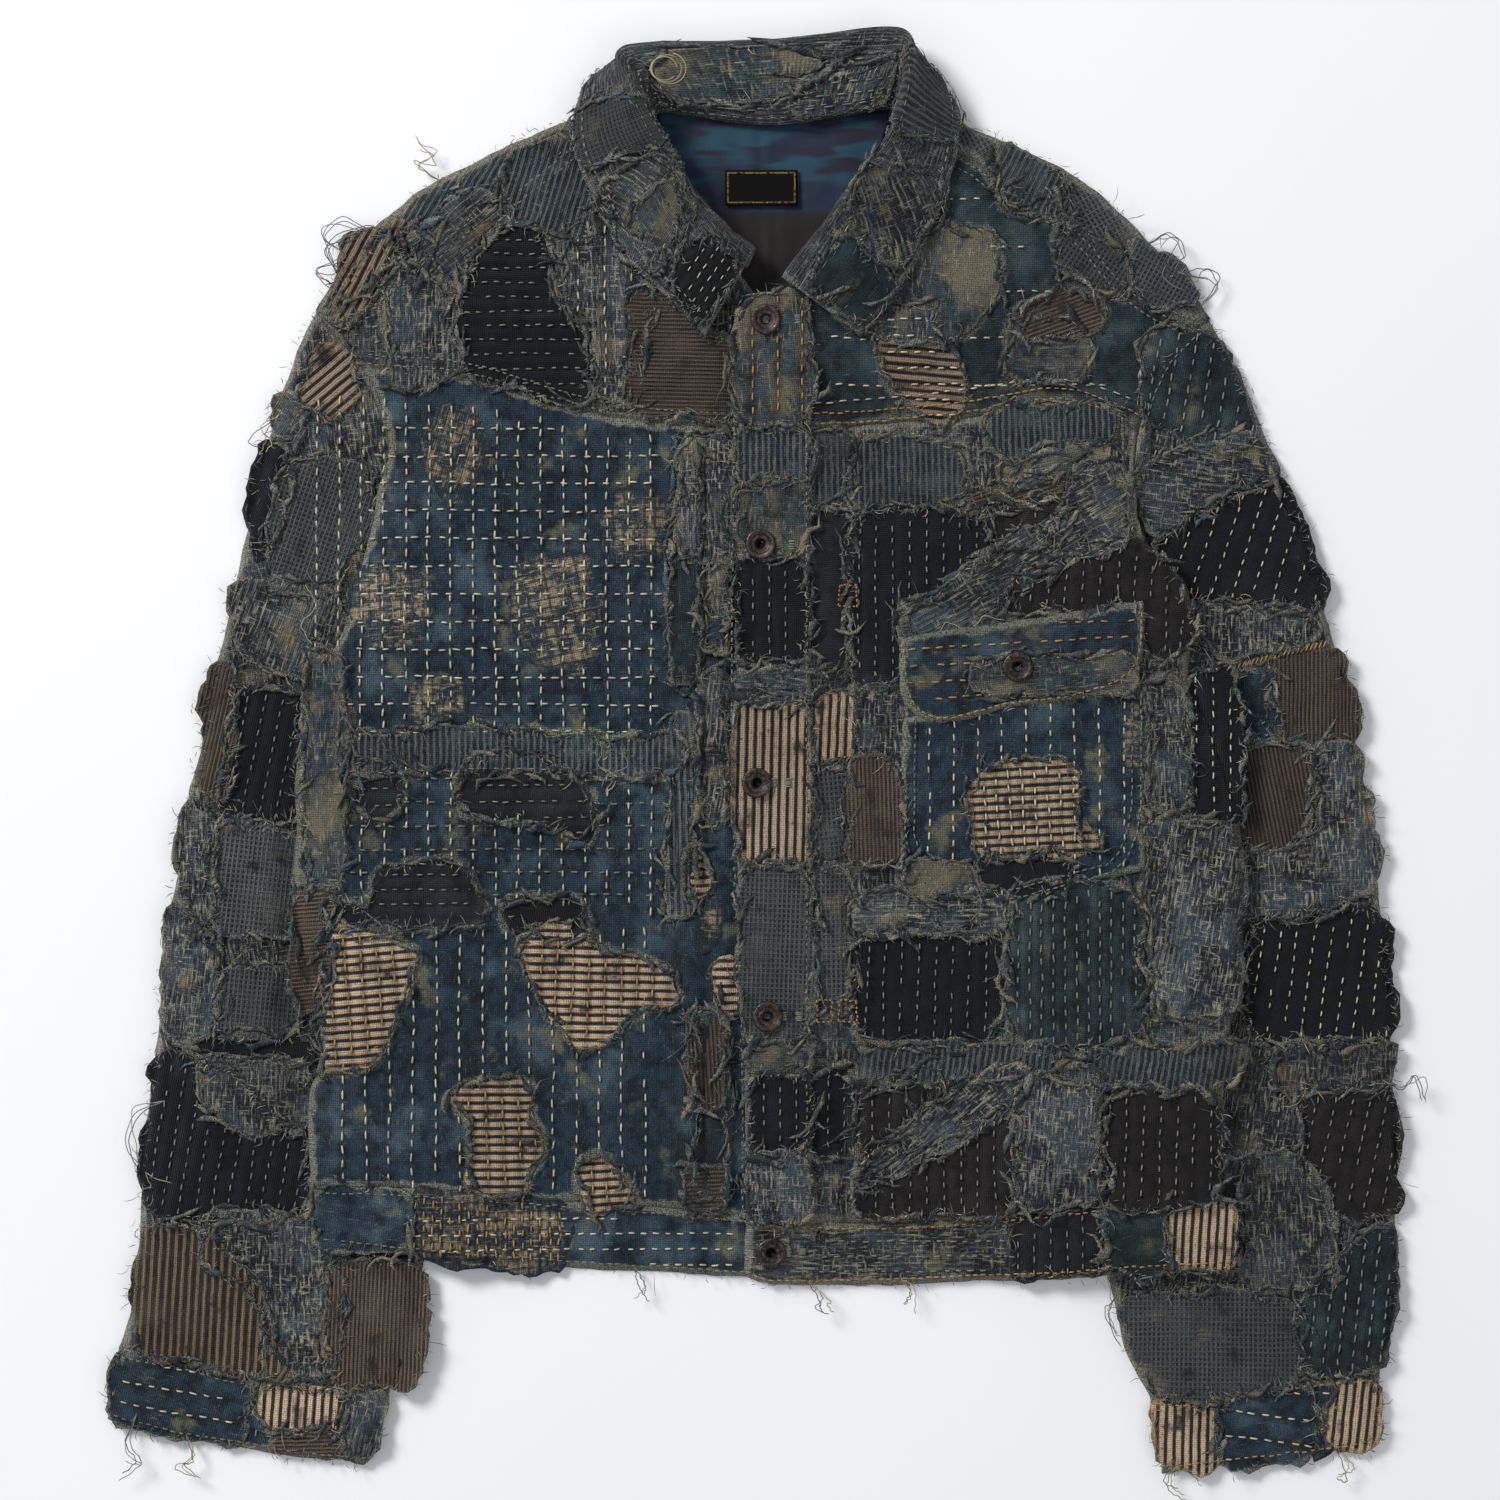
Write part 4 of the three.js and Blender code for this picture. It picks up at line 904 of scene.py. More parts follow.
def under_panels():
    """Back, back yoke, back band and the under halves of sleeves and cuffs: plain and flat on the floor."""
    back = [BACK_BAND_SEAM, SIDE_L[::-1] + ARMHOLE_L_LOW[::-1][1:], BACK_YOKE_SEAM,
            SIDE_R[::-1] + [(-204, 165), (-204, 182)]]
    yoke = [BACK_YOKE_SEAM, ARMHOLE_L[::-1], SHOULDER_R + BACK_NECK[1:-1] + SHOULDER_L[::-1],
            [(-204, 182), (-213, 208), (-219, 216), (-246, 248)]]
    band = [BACK_HEM, [(270, -290), (270, -256), (262, -248)], BACK_BAND_SEAM, [(-240, -277), (-248, -244)]]
    plans = [
        ("Back", "back", "indigo", back, (532, 450), back_top, back_under, 0.988),
        ("Back_Yoke", "back_yoke", "slub", yoke, (504, 182), back_top, back_under, 0.985),
        ("Waistband_Back", "waistband_back", "indigo", band, (512, 42), back_top, back_under, 0.985),
        ("Sleeve_Right_Under", "sleeve_right_under", "slub", sleeve_sides("right"), (174, 606), flat_top,
         floor_level, 0.975),
        ("Sleeve_Left_Under", "sleeve_left_under", "slub", sleeve_sides("left"), (170, 612), flat_top,
         floor_level, 0.975),
        ("Cuff_Right_Under", "cuff_right_under", "indigo", cuff_sides("right"), (160, 64), flat_top,
         floor_level, 0.97),
        ("Cuff_Left_Under", "cuff_left_under", "indigo", cuff_sides("left"), (132, 58), flat_top,
         floor_level, 0.97),
    ]
    for name, node, kind, sides, flat, face, floor, shrink in plans:
        panel(name, [node], kind, sides, face, flat, cell=UNDER_CELL, shrink=shrink, rests="floor",
              floor=floor)


def flat_top(x, y):
    return np.full_like(x, CLOTH)


def sleeve_sides(side):
    if side == "right":
        return [CUFF_SEAM_R, INNER_R, ARMHOLE_R + ARMHOLE_R_LOW[1:], OUTER_R[::-1]]
    return [CUFF_SEAM_L, OUTER_L[::-1], ARMHOLE_L_LOW[::-1] + ARMHOLE_L[::-1][1:], INNER_L]


def cuff_sides(side):
    if side == "right":
        return [CUFF_EDGE_R, [(-216, -401), (-204, -358)], CUFF_SEAM_R, [(-364, -376), (-358, -336)]]
    return [CUFF_EDGE_L, [(352, -386), (355, -349)], CUFF_SEAM_L, [(231, -406), (225, -363)]]


def body_panels():
    """Fronts, yokes and shoulder strips; the left ones lap over the right."""
    front_right = [BAND_SEAM_R, [(20, -263), (20, 182)], YOKE_SEAM_R, SIDE_R[::-1] + ARMHOLE_R_LOW[::-1][1:]]
    front_left = [BAND_SEAM_L[::-1], SIDE_L[::-1] + ARMHOLE_L_LOW[::-1][1:], YOKE_SEAM_L[::-1],
                  FRONT_EDGE_L[::-1]]
    yoke_right = [YOKE_SEAM_R, [(20, 182), (20, 248)] + NECK_R, STRIP_SEAM_R[::-1], ARMHOLE_R[::-1]]
    yoke_left = [YOKE_SEAM_L[::-1], ARMHOLE_L[::-1], STRIP_SEAM_L, [(-7, 182), (-4, 254)] + NECK_L]
    strip_right = [STRIP_SEAM_R[::-1], [(-48, 345), (-56, 361)], SHOULDER_R, [(-246, 248), (-246.5, 248.6)]]
    strip_left = [STRIP_SEAM_L, [(258, 244), (258.5, 244.6)], SHOULDER_L[::-1], [(75, 343), (84, 362)]]
    panel("Front_Right", ["front_right"], "indigo", front_right, body_face, (277, 480), level=1.0,
          regions=("front_r",))
    panel("Front_Left", ["front_left"], "slub", front_left, left_face, (284, 462), level=0.92,
          regions=("front_l",))
    panel("Front_Yoke_Right", ["front_yoke_right"], "slub", yoke_right, body_face, (266, 163), 90, 0.75,
          regions=("yoke_r",))
    panel("Front_Yoke_Left", ["front_yoke_left"], "teal", yoke_left, left_face, (267, 162), 0, 0.9,
          regions=("yoke_l",))
    panel("Shoulder_Strip_Right", ["shoulder_strip_right"], "lined", strip_right, body_face, (198, 113), 60,
          0.9)
    panel("Shoulder_Strip_Left", ["shoulder_strip_left"], "check", strip_left, left_face, (183, 118), -60,
          0.95)


def sleeves_and_cuffs():
    """Upper halves of the sleeves and cuffs."""
    for side, sleeve_flat, cuff_flat in (("right", (174, 606), (160, 64)), ("left", (170, 612), (132, 58))):
        label = side.capitalize()
        panel(f"Sleeve_{label}", [f"sleeve_{side}_upper"], "slub", sleeve_sides(side), sleeve_face,
              sleeve_flat, 82 if side == "left" else 98, 0.92, rests=f"sleeve_{side}_under")
        panel(f"Cuff_{label}", [f"cuff_{side}_upper"], "indigo", cuff_sides(side), sleeve_face, cuff_flat,
              80, 1.0, rests=f"cuff_{side}_under")


def waistband():
    """The two front bands."""
    right = [HEM_R, [(20, -299), (20, -263)], BAND_SEAM_R, [(-240, -277), (-248, -244)]]
    left = [HEM_L[::-1], [(270, -290), (270, -256), (262, -248)], BAND_SEAM_L[::-1], [(-4, -296), (-3, -261)]]
    panel("Waistband_Right", ["waistband_right"], "indigo", right, body_face, (268, 38), 0, 1.0)
    panel("Waistband_Left", ["waistband_left"], "slub", left, left_face, (274, 40), 0, 0.92)


def placket_and_pocket():
    """The buttoned band, the chest pocket and its flap, each on the left front."""
    placket = [[(-2, -259), (34, -262)], [(34, -262), (34, 247)],
               [(-9, 250), (2, 254), (17, 255), (34, 247)],
               [(-2, -259), (-2, -162), (-7, -64), (-8, 30), (-8, 100), (-6, 182), (-9, 250)]]
    pocket = [[(83, -82), (143, -87), (173, -78), (221, -65)], [(221, -65), (222, 38)],
              [(84, 20), (150, 30), (222, 38)], [(83, -82), (84, 20)]]
    flap = [[(85, 27), (100, 16), (112, 16), (147, 26), (173, 27), (207, 36)],
            [(207, 36), (221, 52), (221, 85)],
            [(82, 64), (150, 75), (220, 85)], [(85, 27), (82, 64)]]
    panel("Placket", ["placket"], "slub", placket, placket_face, (43, 517), 90, 0.95, 2.6, rests="front_left")
    panel("Pocket", ["pocket"], "indigo", pocket, pocket_face, (140, 120), 90, 0.95, 2.6, rests="front_left")
    panel("Pocket_Flap", ["pocket_flap"], "indigo", flap, flap_face, (140, 60), 0, 0.95, 2.4,
          rests="front_left")


# ---- patches, region by region, later ones on top ----
# Each: cloth, grain angle, rows of stitches (thread, angle, spacing), CAD node, outline in millimetres.
PATCHES = {
    "collar": [
        ("slub", 20, None, None, [(52, 44), (110, 40), (112, 90), (60, 90)]),
        ("faded", 0, None, None, [(60, 56), (84, 52), (90, 74), (66, 80)]),
        ("navy", 70, ("cream", 80, 8), None, [(5, 52), (34, 50), (46, 66), (38, 88), (6, 88)]),
        ("check", 0, None, None, [(118, 38), (150, 30), (158, 88), (122, 88)]),
        ("faded", 90, None, None, [(196, 22), (232, 18), (250, 34), (238, 46), (204, 44)]),
        ("brown", 0, None, None, [(180, 14), (196, 12), (198, 26), (184, 30)]),
        ("slub", 90, ("ash", 0, 7), None, [(240, 8), (286, 8), (288, 30), (246, 34)]),
        ("lined", 90, None, None, [(300, 36), (334, 38), (332, 88), (296, 86)]),
        ("slub", 45, None, None, [(352, 44), (392, 48), (398, 88), (356, 88)]),
        ("teal", 0, None, None, [(398, 52), (424, 54), (426, 88), (402, 88)]),
    ],
    "yoke_r": [
        ("navy", 0, ("ash", 0, 8), "patch_yoke_black", [(-148, 294), (-122, 296), (-113, 281), (-115, 256),
         (-91, 233), (-90, 199), (-119, 202), (-159, 213), (-168, 239), (-170, 257), (-153, 273)]),
        ("slub", 90, None, None, [(-207, 261), (-187, 277), (-164, 256), (-168, 236), (-164, 215),
         (-199, 202), (-205, 227)]),
        ("brown", 0, None, None, [(-201, 290), (-184, 292), (-182, 277), (-197, 274)]),
        ("slub", 90, ("cream", 90, 15), None, [(-90, 304), (-63, 300), (-58, 256), (-68, 194), (-88, 199),
         (-90, 233), (-108, 256), (-103, 284)]),
        ("rib", 0, None, "patch_yoke_rib", [(-68, 256), (-52, 261), (-29, 239), (-5, 222), (-5, 191),
         (-68, 192)]),
        ("lined", 75, None, None, [(-142, 332), (-108, 346), (-91, 329), (-91, 290), (-117, 292),
         (-136, 304)]),
        ("slub", 40, None, None, [(-193, 290), (-153, 318), (-136, 304), (-148, 292), (-168, 261),
         (-184, 277)]),
    ],
    "yoke_l": [
        ("faded", 90, None, None, [(44, 250), (84, 290), (132, 295), (140, 256), (107, 233), (67, 239)]),
        ("stripe", 0, ("cream", 0, 9), "patch_yoke_stripe", [(71, 250), (98, 249), (101, 230), (115, 222),
         (119, 202), (115, 185), (101, 185), (87, 199), (78, 216)]),
        ("faded", 0, None, None, [(143, 242), (174, 243), (188, 230), (183, 210), (146, 212)]),
        ("rib", 15, None, None, [(140, 322), (171, 312), (169, 302), (142, 305)]),
        ("rib", 20, None, None, [(149, 245), (174, 260), (197, 256), (196, 239), (157, 233)]),
        ("check", 60, None, None, [(174, 298), (208, 278), (214, 256), (191, 261), (174, 278)]),
        ("lined", 60, None, None, [(140, 340), (174, 326), (183, 298), (157, 304), (135, 318)]),
    ],
    "front_r": [
        ("plaid", 80, None, "patch_worn_olive", [(-181, 195), (-153, 196), (-149, 171), (-155, 143),
         (-176, 144), (-184, 168)]),
        ("plaid", 0, None, None, [(-84, 145), (-49, 149), (-46, 112), (-80, 108)]),
        ("plaid", 10, None, "patch_worn_plaid", [(-131, 109), (-97, 113), (-83, 92), (-87, 52), (-108, 40),
         (-131, 64), (-135, 86)]),
        ("plaid", 0, None, None, [(-221, 100), (-199, 108), (-179, 92), (-182, 64), (-207, 55),
         (-223, 75)]),
        ("plaid", 0, None, None, [(-194, 35), (-176, 44), (-159, 35), (-161, 16), (-192, 15)]),
        ("lined", 92, None, None, [(-227, 8), (-170, 12), (-108, 10), (-63, 4), (-40, 10), (-39, -10),
         (-86, -11), (-153, -7), (-226, -10)]),
        ("faded", 90, None, None, [(-251, 52), (-230, 57), (-230, -72), (-248, -78)]),
        ("charcoal", 90, ("ash", 0, 9), None, [(-221, -7), (-196, -5), (-196, -34), (-220, -31)]),
        ("charcoal", 90, ("ash", 0, 9), "patch_charcoal", [(-160, -3), (-119, -1), (-105, -11), (-91, -27),
         (-92, -52), (-105, -44), (-125, -35), (-159, -34)]),
        ("charcoal", 90, ("ash", 0, 8), "patch_half_moon", [(-217, -92), (-207, -66), (-182, -60),
         (-159, -68), (-149, -94), (-187, -94)]),
        ("navy", 0, None, None, [(-136, -86), (-97, -86), (-98, -100), (-135, -100)]),
        ("navy", 0, None, None, [(-238, -86), (-218, -88), (-220, -97), (-238, -96)]),
        ("rib", 0, None, None, [(-255, -78), (-238, -77), (-239, -143), (-254, -144)]),
        ("stripe", 4, ("tan", 94, 9), "patch_stripe_side", [(-236, -96), (-191, -112), (-199, -140),
         (-211, -174), (-240, -177), (-239, -145)]),
        ("stripe", -2, ("tan", 88, 9), "patch_stripe_centre", [(-128, -100), (-97, -100), (-91, -112),
         (-57, -117), (-45, -134), (-46, -140), (-63, -140), (-86, -162), (-100, -164), (-117, -140)]),
        ("stripe", 3, ("tan", 92, 9), "patch_stripe_lower", [(-168, -194), (-153, -184), (-125, -188),
         (-126, -205), (-119, -213), (-119, -225), (-128, -233), (-131, -247), (-153, -244), (-156, -225),
         (-152, -208)]),
        ("stripe", 0, ("tan", 90, 8), "patch_stripe_hem", [(-97, -233), (-86, -232), (-71, -244),
         (-69, -253), (-91, -255)]),
    ],
    "pleat_r": [
        ("teal", 90, None, None, [(-43, 176), (-31, 176), (-32, 40), (-44, 40)]),
        ("slub", 90, None, None, [(-26, 178), (-14, 178), (-14, 60), (-25, 60)]),
        ("lined", 90, None, None, [(-44, 20), (-33, 20), (-34, -90), (-45, -90)]),
        ("slub", 90, None, None, [(-28, 44), (-14, 44), (-12, -40), (-27, -40)]),
        ("teal", 90, None, None, [(-30, -150), (-16, -150), (-14, -250), (-30, -250)]),
        ("stripe", 0, None, None, [(-35, -52), (-26, -52), (-26, -78), (-35, -78)]),
        ("stripe", 0, None, None, [(-18, -118), (-8, -118), (-8, -147), (-18, -145)]),
        ("plaid", 0, None, None, [(-28, -83), (-18, -83), (-18, -109), (-28, -109)]),
        ("rib", 90, None, None, [(-35, -147), (-19, -147), (-19, -196), (-34, -195)]),
        ("rib", 0, None, None, [(-36, -233), (-15, -235), (-15, -258), (-35, -257)]),
        ("slub", 90, None, None, [(-42, 177), (-9, 174), (-9, 109), (-40, 109)]),
    ],
    "hem_r": [
        ("indigo", 0, None, None, [(-246, -245), (-194, -246), (-193, -281), (-244, -279)]),
        ("plaid", 0, ("tan", 90, 5), None, [(-192, -247), (-142, -251), (-101, -255), (-103, -291),
         (-142, -288), (-192, -284)]),
    ],
    "placket": [
        ("lined", 90, None, None, [(-6, 182), (32, 182), (32, 155), (-6, 154)]),
        ("faded", 90, None, None, [(-6, 151), (30, 153), (30, 114), (-6, 113)]),
        ("navy", 90, ("ash", 90, 9), "patch_placket_black", [(-8, 108), (29, 109), (30, 50), (-6, 50)]),
        ("slub", 0, None, None, [(-9, 45), (32, 47), (32, 30), (-9, 30)]),
        ("stripe", 90, None, "patch_placket_stripe", [(-9, 29), (32, 30), (32, -61), (-8, -62)]),
        ("check", 90, None, None, [(-6, -65), (32, -64), (32, -161), (-5, -162)]),
        ("faded", 0, None, None, [(-2, -164), (32, -162), (32, -179), (-2, -179)]),
        ("navy", 90, ("ash", 90, 9), None, [(-1, -182), (32, -181), (32, -225), (-1, -225)]),
        ("slub", 90, None, None, [(-1, -227), (32, -226), (32, -260), (-1, -260)]),
        ("faded", 90, ("tan", 90, 14), None, [(-8, 247), (1, 254), (31, 260), (32, 185), (-6, 185)]),
    ],
    "front_l": [
        ("lined", 90, None, None, [(56, 175), (118, 175), (117, 143), (57, 140)]),
        ("lined", 90, None, None, [(34, 177), (54, 177), (55, 140), (34, 140)]),
        ("charcoal", 90, None, None, [(34, 137), (55, 137), (55, 48), (34, 48)]),
        ("check", 90, None, None, [(35, -7), (55, -7), (55, -61), (35, -61)]),
        ("stripe", 90, None, None, [(35, 30), (55, 30), (55, -5), (35, -5)]),
        ("check", 90, None, None, [(35, -65), (55, -65), (55, -145), (35, -145)]),
        ("navy", 90, ("ash", 90, 9), None, [(35, -182), (56, -181), (56, -225), (35, -225)]),
        ("lined", 90, None, None, [(132, 195), (205, 196), (204, 172), (135, 168)]),
        ("faded", 15, None, None, [(140, 158), (169, 170), (203, 174), (201, 164), (171, 156), (142, 151)]),
        ("rib", 15, None, None, [(121, 140), (171, 155), (174, 147), (123, 132)]),
        ("brown", 90, ("ash", 90, 9), None, [(132, 138), (174, 141), (175, 121), (140, 117), (132, 126)]),
        ("navy", 90, ("ash", 90, 9.5), "patch_chest_navy", [(56, 134), (132, 136), (132, 117), (112, 92),
         (84, 83), (87, 52), (81, 40), (57, 41)]),
        ("slub", 30, None, None, [(84, 83), (112, 92), (140, 117), (180, 131), (183, 160), (203, 165),
         (214, 120), (180, 109), (140, 86), (135, 69), (87, 55)]),
        ("brown", 85, ("ash", 85, 9.5), "patch_chest_brown", [(142, 81), (146, 95), (191, 114), (214, 120),
         (234, 103), (245, 81), (242, 52), (222, 58), (221, 83)]),
        ("rib", 90, None, "patch_rib_centre", [(55, -5), (73, -4), (82, -21), (81, -61), (56, -60)]),
        ("slub", 90, None, None, [(223, 41), (242, 38), (244, -31), (223, -32)]),
        ("navy", 90, ("cream", 90, 9.5), "patch_side_navy", [(246, 45), (268, 47), (275, 7), (273, -38),
         (247, -37)]),
        ("slub", 80, None, None, [(223, -39), (273, -40), (274, -144), (231, -145), (220, -117),
         (222, -78)]),
        ("teal", 90, ("sage", 90, 6.5), "patch_belly_teal", [(146, -83), (174, -75), (218, -77),
         (220, -140), (208, -165), (163, -167), (146, -157)]),
        ("navy", 88, ("ash", 88, 9.5), "patch_belly_navy", [(58, -103), (140, -101), (139, -162),
         (60, -164)]),
        ("slub", 0, None, None, [(56, -82), (146, -81), (143, -100), (57, -101)]),
        ("lined", 80, None, None, [(56, -165), (140, -165), (214, -168), (275, -162), (274, -186),
         (197, -185), (146, -179), (61, -186)]),
        ("brown", 90, ("ash", 90, 9.5), None, [(61, -188), (104, -179), (101, -196), (73, -219),
         (61, -233)]),
        ("brown", 90, ("ash", 90, 9.5), "patch_lower_brown", [(61, -243), (101, -225), (140, -203),
         (147, -203), (147, -260), (62, -261)]),
        ("slub", 40, None, None, [(61, -233), (104, -196), (146, -174), (157, -179), (140, -202),
         (101, -225), (61, -243)]),
        ("slub", 90, None, None, [(149, -182), (194, -174), (196, -250), (148, -256)]),
        ("brown", 88, ("ash", 88, 9.5), "patch_lower_side", [(196, -194), (225, -191), (260, -192),
         (260, -250), (197, -254)]),
    ],
    "hem_l": [
        ("charcoal", 90, ("ash", 90, 9), None, [(147, -261), (196, -255), (197, -292), (147, -296)]),
        ("teal", 0, None, None, [(197, -255), (231, -253), (233, -291), (199, -292)]),
        ("stripe", 90, None, None, [(232, -253), (269, -251), (270, -289), (234, -291)]),
    ],
    "pocket": [
        ("stripe", 3, ("cream", 93, 7), "patch_pocket_stripe", [(126, -14), (143, -4), (180, -7),
         (177, -44), (195, -49), (195, -54), (126, -59)]),
        ("navy", 0, None, None, [(127, -61), (174, -58), (175, -74), (146, -78), (129, -75)]),
        ("plaid", 0, None, None, [(207, 26), (221, 24), (222, -11), (208, -13)]),
        ("faded", 90, None, None, [(87, -61), (123, -62), (126, -78), (95, -79), (87, -75)]),
    ],
    "flap": [
        ("faded", 3, None, None, [(125, 51), (211, 55), (213, 35), (126, 35)]),
    ],
    "sleeve_r": [
        ("stripe", 62, None, None, [(-230, 290), (-207, 294), (-203, 277), (-214, 256), (-230, 239),
         (-235, 261)]),
        ("stripe", 40, None, None, [(-244, 230), (-226, 226), (-222, 199), (-238, 188), (-255, 196)]),
        ("faded", 60, None, None, [(-269, 201), (-255, 202), (-254, 177), (-268, 177)]),
        ("navy", 60, None, None, [(-277, 174), (-262, 177), (-263, 143), (-277, 109), (-283, 131)]),
        ("check", 70, None, None, [(-261, 162), (-216, 165), (-214, 131), (-238, 92), (-271, 92),
         (-269, 126)]),
        ("slub", 70, None, None, [(-292, 100), (-238, 92), (-226, 64), (-238, 41), (-289, 52)]),
        ("rib", 80, None, None, [(-306, 49), (-291, 51), (-294, -24), (-308, -24)]),
        ("navy", 78, ("ash", 78, 9.5), "patch_forearm_right_black", [(-289, 34), (-255, 32), (-256, -4),
         (-254, -39), (-283, -38), (-299, -27), (-291, 7)]),
        ("check", 85, None, None, [(-303, -39), (-257, -44), (-256, -100), (-304, -100)]),
        ("check", 85, None, None, [(-299, -122), (-255, -121), (-255, -159), (-299, -159)]),
        ("navy", 84, None, None, [(-308, -160), (-248, -160), (-249, -174), (-309, -173)]),
        ("navy", 80, ("ash", 80, 9), "patch_forearm_right_navy", [(-334, -168), (-309, -174), (-255, -213),
         (-249, -261), (-341, -260), (-343, -225)]),
        ("slub", 85, None, None, [(-309, -173), (-249, -175), (-251, -212), (-289, -212), (-307, -196)]),
        ("slub", 88, None, None, [(-305, -258), (-255, -262), (-230, -267), (-232, -349), (-272, -350),
         (-277, -298), (-305, -287)]),
        ("rib2", 86, None, None, [(-343, -267), (-307, -271), (-279, -301), (-260, -350), (-344, -338),
         (-345, -298)]),
        ("rib", 88, None, None, [(-237, -288), (-184, -286), (-186, -357), (-238, -355)]),
        ("slub", 85, None, None, [(-329, -83), (-303, -103), (-300, -157), (-329, -157)]),
        ("slub", 85, None, None, [(-317, -27), (-303, -41), (-305, -100), (-324, -78)]),
    ],
    "cuff_r": [
        ("indigo", -10, ("cream", -10, 12), None, [(-358, -340), (-321, -344), (-283, -353), (-286, -388),
         (-321, -384), (-360, -374)]),
        ("stripe", 86, None, None, [(-277, -357), (-227, -360), (-230, -382), (-277, -379)]),
        ("rib", 0, None, None, [(-269, -382), (-232, -383), (-234, -396), (-269, -393)]),
        ("slub", 80, None, None, [(-226, -360), (-205, -360), (-214, -399), (-229, -397)]),
    ],
    "sleeve_l": [
        ("teal", 80, ("ash", 80, 10), None, [(222, 239), (259, 236), (288, 177), (253, 174), (221, 185)]),
        ("slub", -10, None, None, [(217, 160), (282, 182), (294, 171), (297, 154), (270, 148), (225, 120)]),
        ("navy", 72, ("cream", 72, 11), "patch_sleeve_left_navy", [(225, 117), (270, 145), (301, 154),
         (324, 81), (276, 86), (242, 86)]),
        ("slub", 90, None, None, [(249, 83), (310, 79), (324, 68), (271, 51), (251, 64)]),
        ("rib", 84, None, "patch_sleeve_left_stripe", [(292, 55), (333, 59), (338, 4), (316, 4),
         (294, 10)]),
        ("rib", 100, None, None, [(276, 6), (314, 3), (316, -52), (277, -55)]),
        ("indigo", 90, None, None, [(274, 45), (293, 48), (294, 8), (275, 7)]),
        ("slub", 90, None, None, [(317, 3), (341, 3), (354, -72), (310, -92), (277, -89), (278, -58),
         (317, -54)]),
        ("navy", 82, ("cream", 82, 9.5), "patch_forearm_left_navy", [(280, -95), (358, -89), (360, -160),
         (327, -164), (281, -160)]),
        ("slub", 90, None, None, [(293, -164), (360, -162), (361, -188), (310, -190), (294, -185)]),
        ("brown", 78, ("ash", 78, 9.5), "patch_forearm_left_brown", [(310, -192), (338, -185), (362, -188),
         (363, -256), (341, -260), (327, -256), (309, -225)]),
        ("slub", 90, None, None, [(277, -231), (309, -227), (327, -258), (327, -301), (278, -303)]),
        ("teal", 84, ("ash", 84, 8), None, [(309, -304), (361, -261), (362, -309), (355, -348),
         (310, -349)]),
        ("check", 88, None, None, [(204, -304), (305, -305), (308, -352), (260, -364), (225, -360)]),
    ],
    "cuff_l": [
        ("stripe", 88, None, None, [(227, -365), (261, -367), (262, -402), (232, -404)]),
        ("indigo", -8, ("cream", -8, 14), None, [(263, -367), (314, -356), (316, -397), (264, -401)]),
        ("plaid", 80, None, None, [(317, -367), (327, -366), (327, -395), (317, -397)]),
        ("stripe", 86, None, None, [(328, -355), (353, -352), (349, -391), (328, -394)]),
    ],
    "strip_l": [
        ("check", 60, None, None, [(214, 290), (239, 277), (251, 256), (231, 250), (217, 264)]),
    ],
    "strip_r": [
        ("stripe", 60, None, None, [(-227, 271), (-201, 298), (-187, 290), (-207, 277), (-222, 256),
         (-232, 256)]),
    ],
}


# ---- collar, lining, label and buttons ----
COLLAR_SEAM = [(-2, 272, 13.5), (-19, 290, 11.5), (-36, 309, 10.6), (-47, 328, 10.4), (-55, 345, 10.4),
               (-53, 359, 10.4), (-34, 358, 8), (8, 353, 7.5), (52, 358, 8), (79, 361, 10.4), (83, 348, 10.4),
               (65, 320, 10.6), (47, 294, 12), (23, 261, 14.5)]
COLLAR_ROLL = [(2, 281, 20), (-16, 295, 23), (-33, 314, 26), (-42, 332, 28), (-54, 348, 30), (-65, 373, 28),
               (-67, 394, 18), (8, 398, 13), (76, 404, 17), (88, 389, 27), (80, 352, 30), (60, 322, 27),
               (42, 297, 24), (18, 265, 21)]
COLLAR_EDGE = [(-26, 234, 11.2), (-41, 251, 11), (-64, 271, 11), (-84, 304, 11.2), (-99, 336, 11),
               (-98, 363, 10.4), (-80, 382, 4), (8, 368, 1.6), (90, 386, 4), (113, 365, 10.4), (116, 342, 11),
               (107, 308, 11), (88, 268, 11), (61, 234, 11.5)]
COLLAR_FLAT = (430, 92)
FRONT_BUTTONS = [(8, 243), (5, 117), (3, -17), (9, -148), (11, -281)]
POCKET_BUTTON = (149, 48)


def catmull_rom(a, b, c, d, t):
    """The cubic between b and c whose slopes there come from a and d."""
    return 0.5 * (2 * b + (c - a) * t + (2 * a - 5 * b + 4 * c - d) * t ** 2
                  + (3 * b - a - 3 * c + d) * t ** 3)


def spline(points, places):
    """Catmull-Rom through the points, at places from 0 to 1 along their numbers."""
    points = np.asarray(points, dtype=float)
    padded = np.concatenate([[2 * points[0] - points[1]], points, [2 * points[-1] - points[-2]]])
    place = clamp01(places) * (len(points) - 1)
    i = np.minimum(place.astype(int), len(points) - 2)
    t = (place - i)[:, None]
    return catmull_rom(padded[i], padded[i + 1], padded[i + 2], padded[i + 3], t)


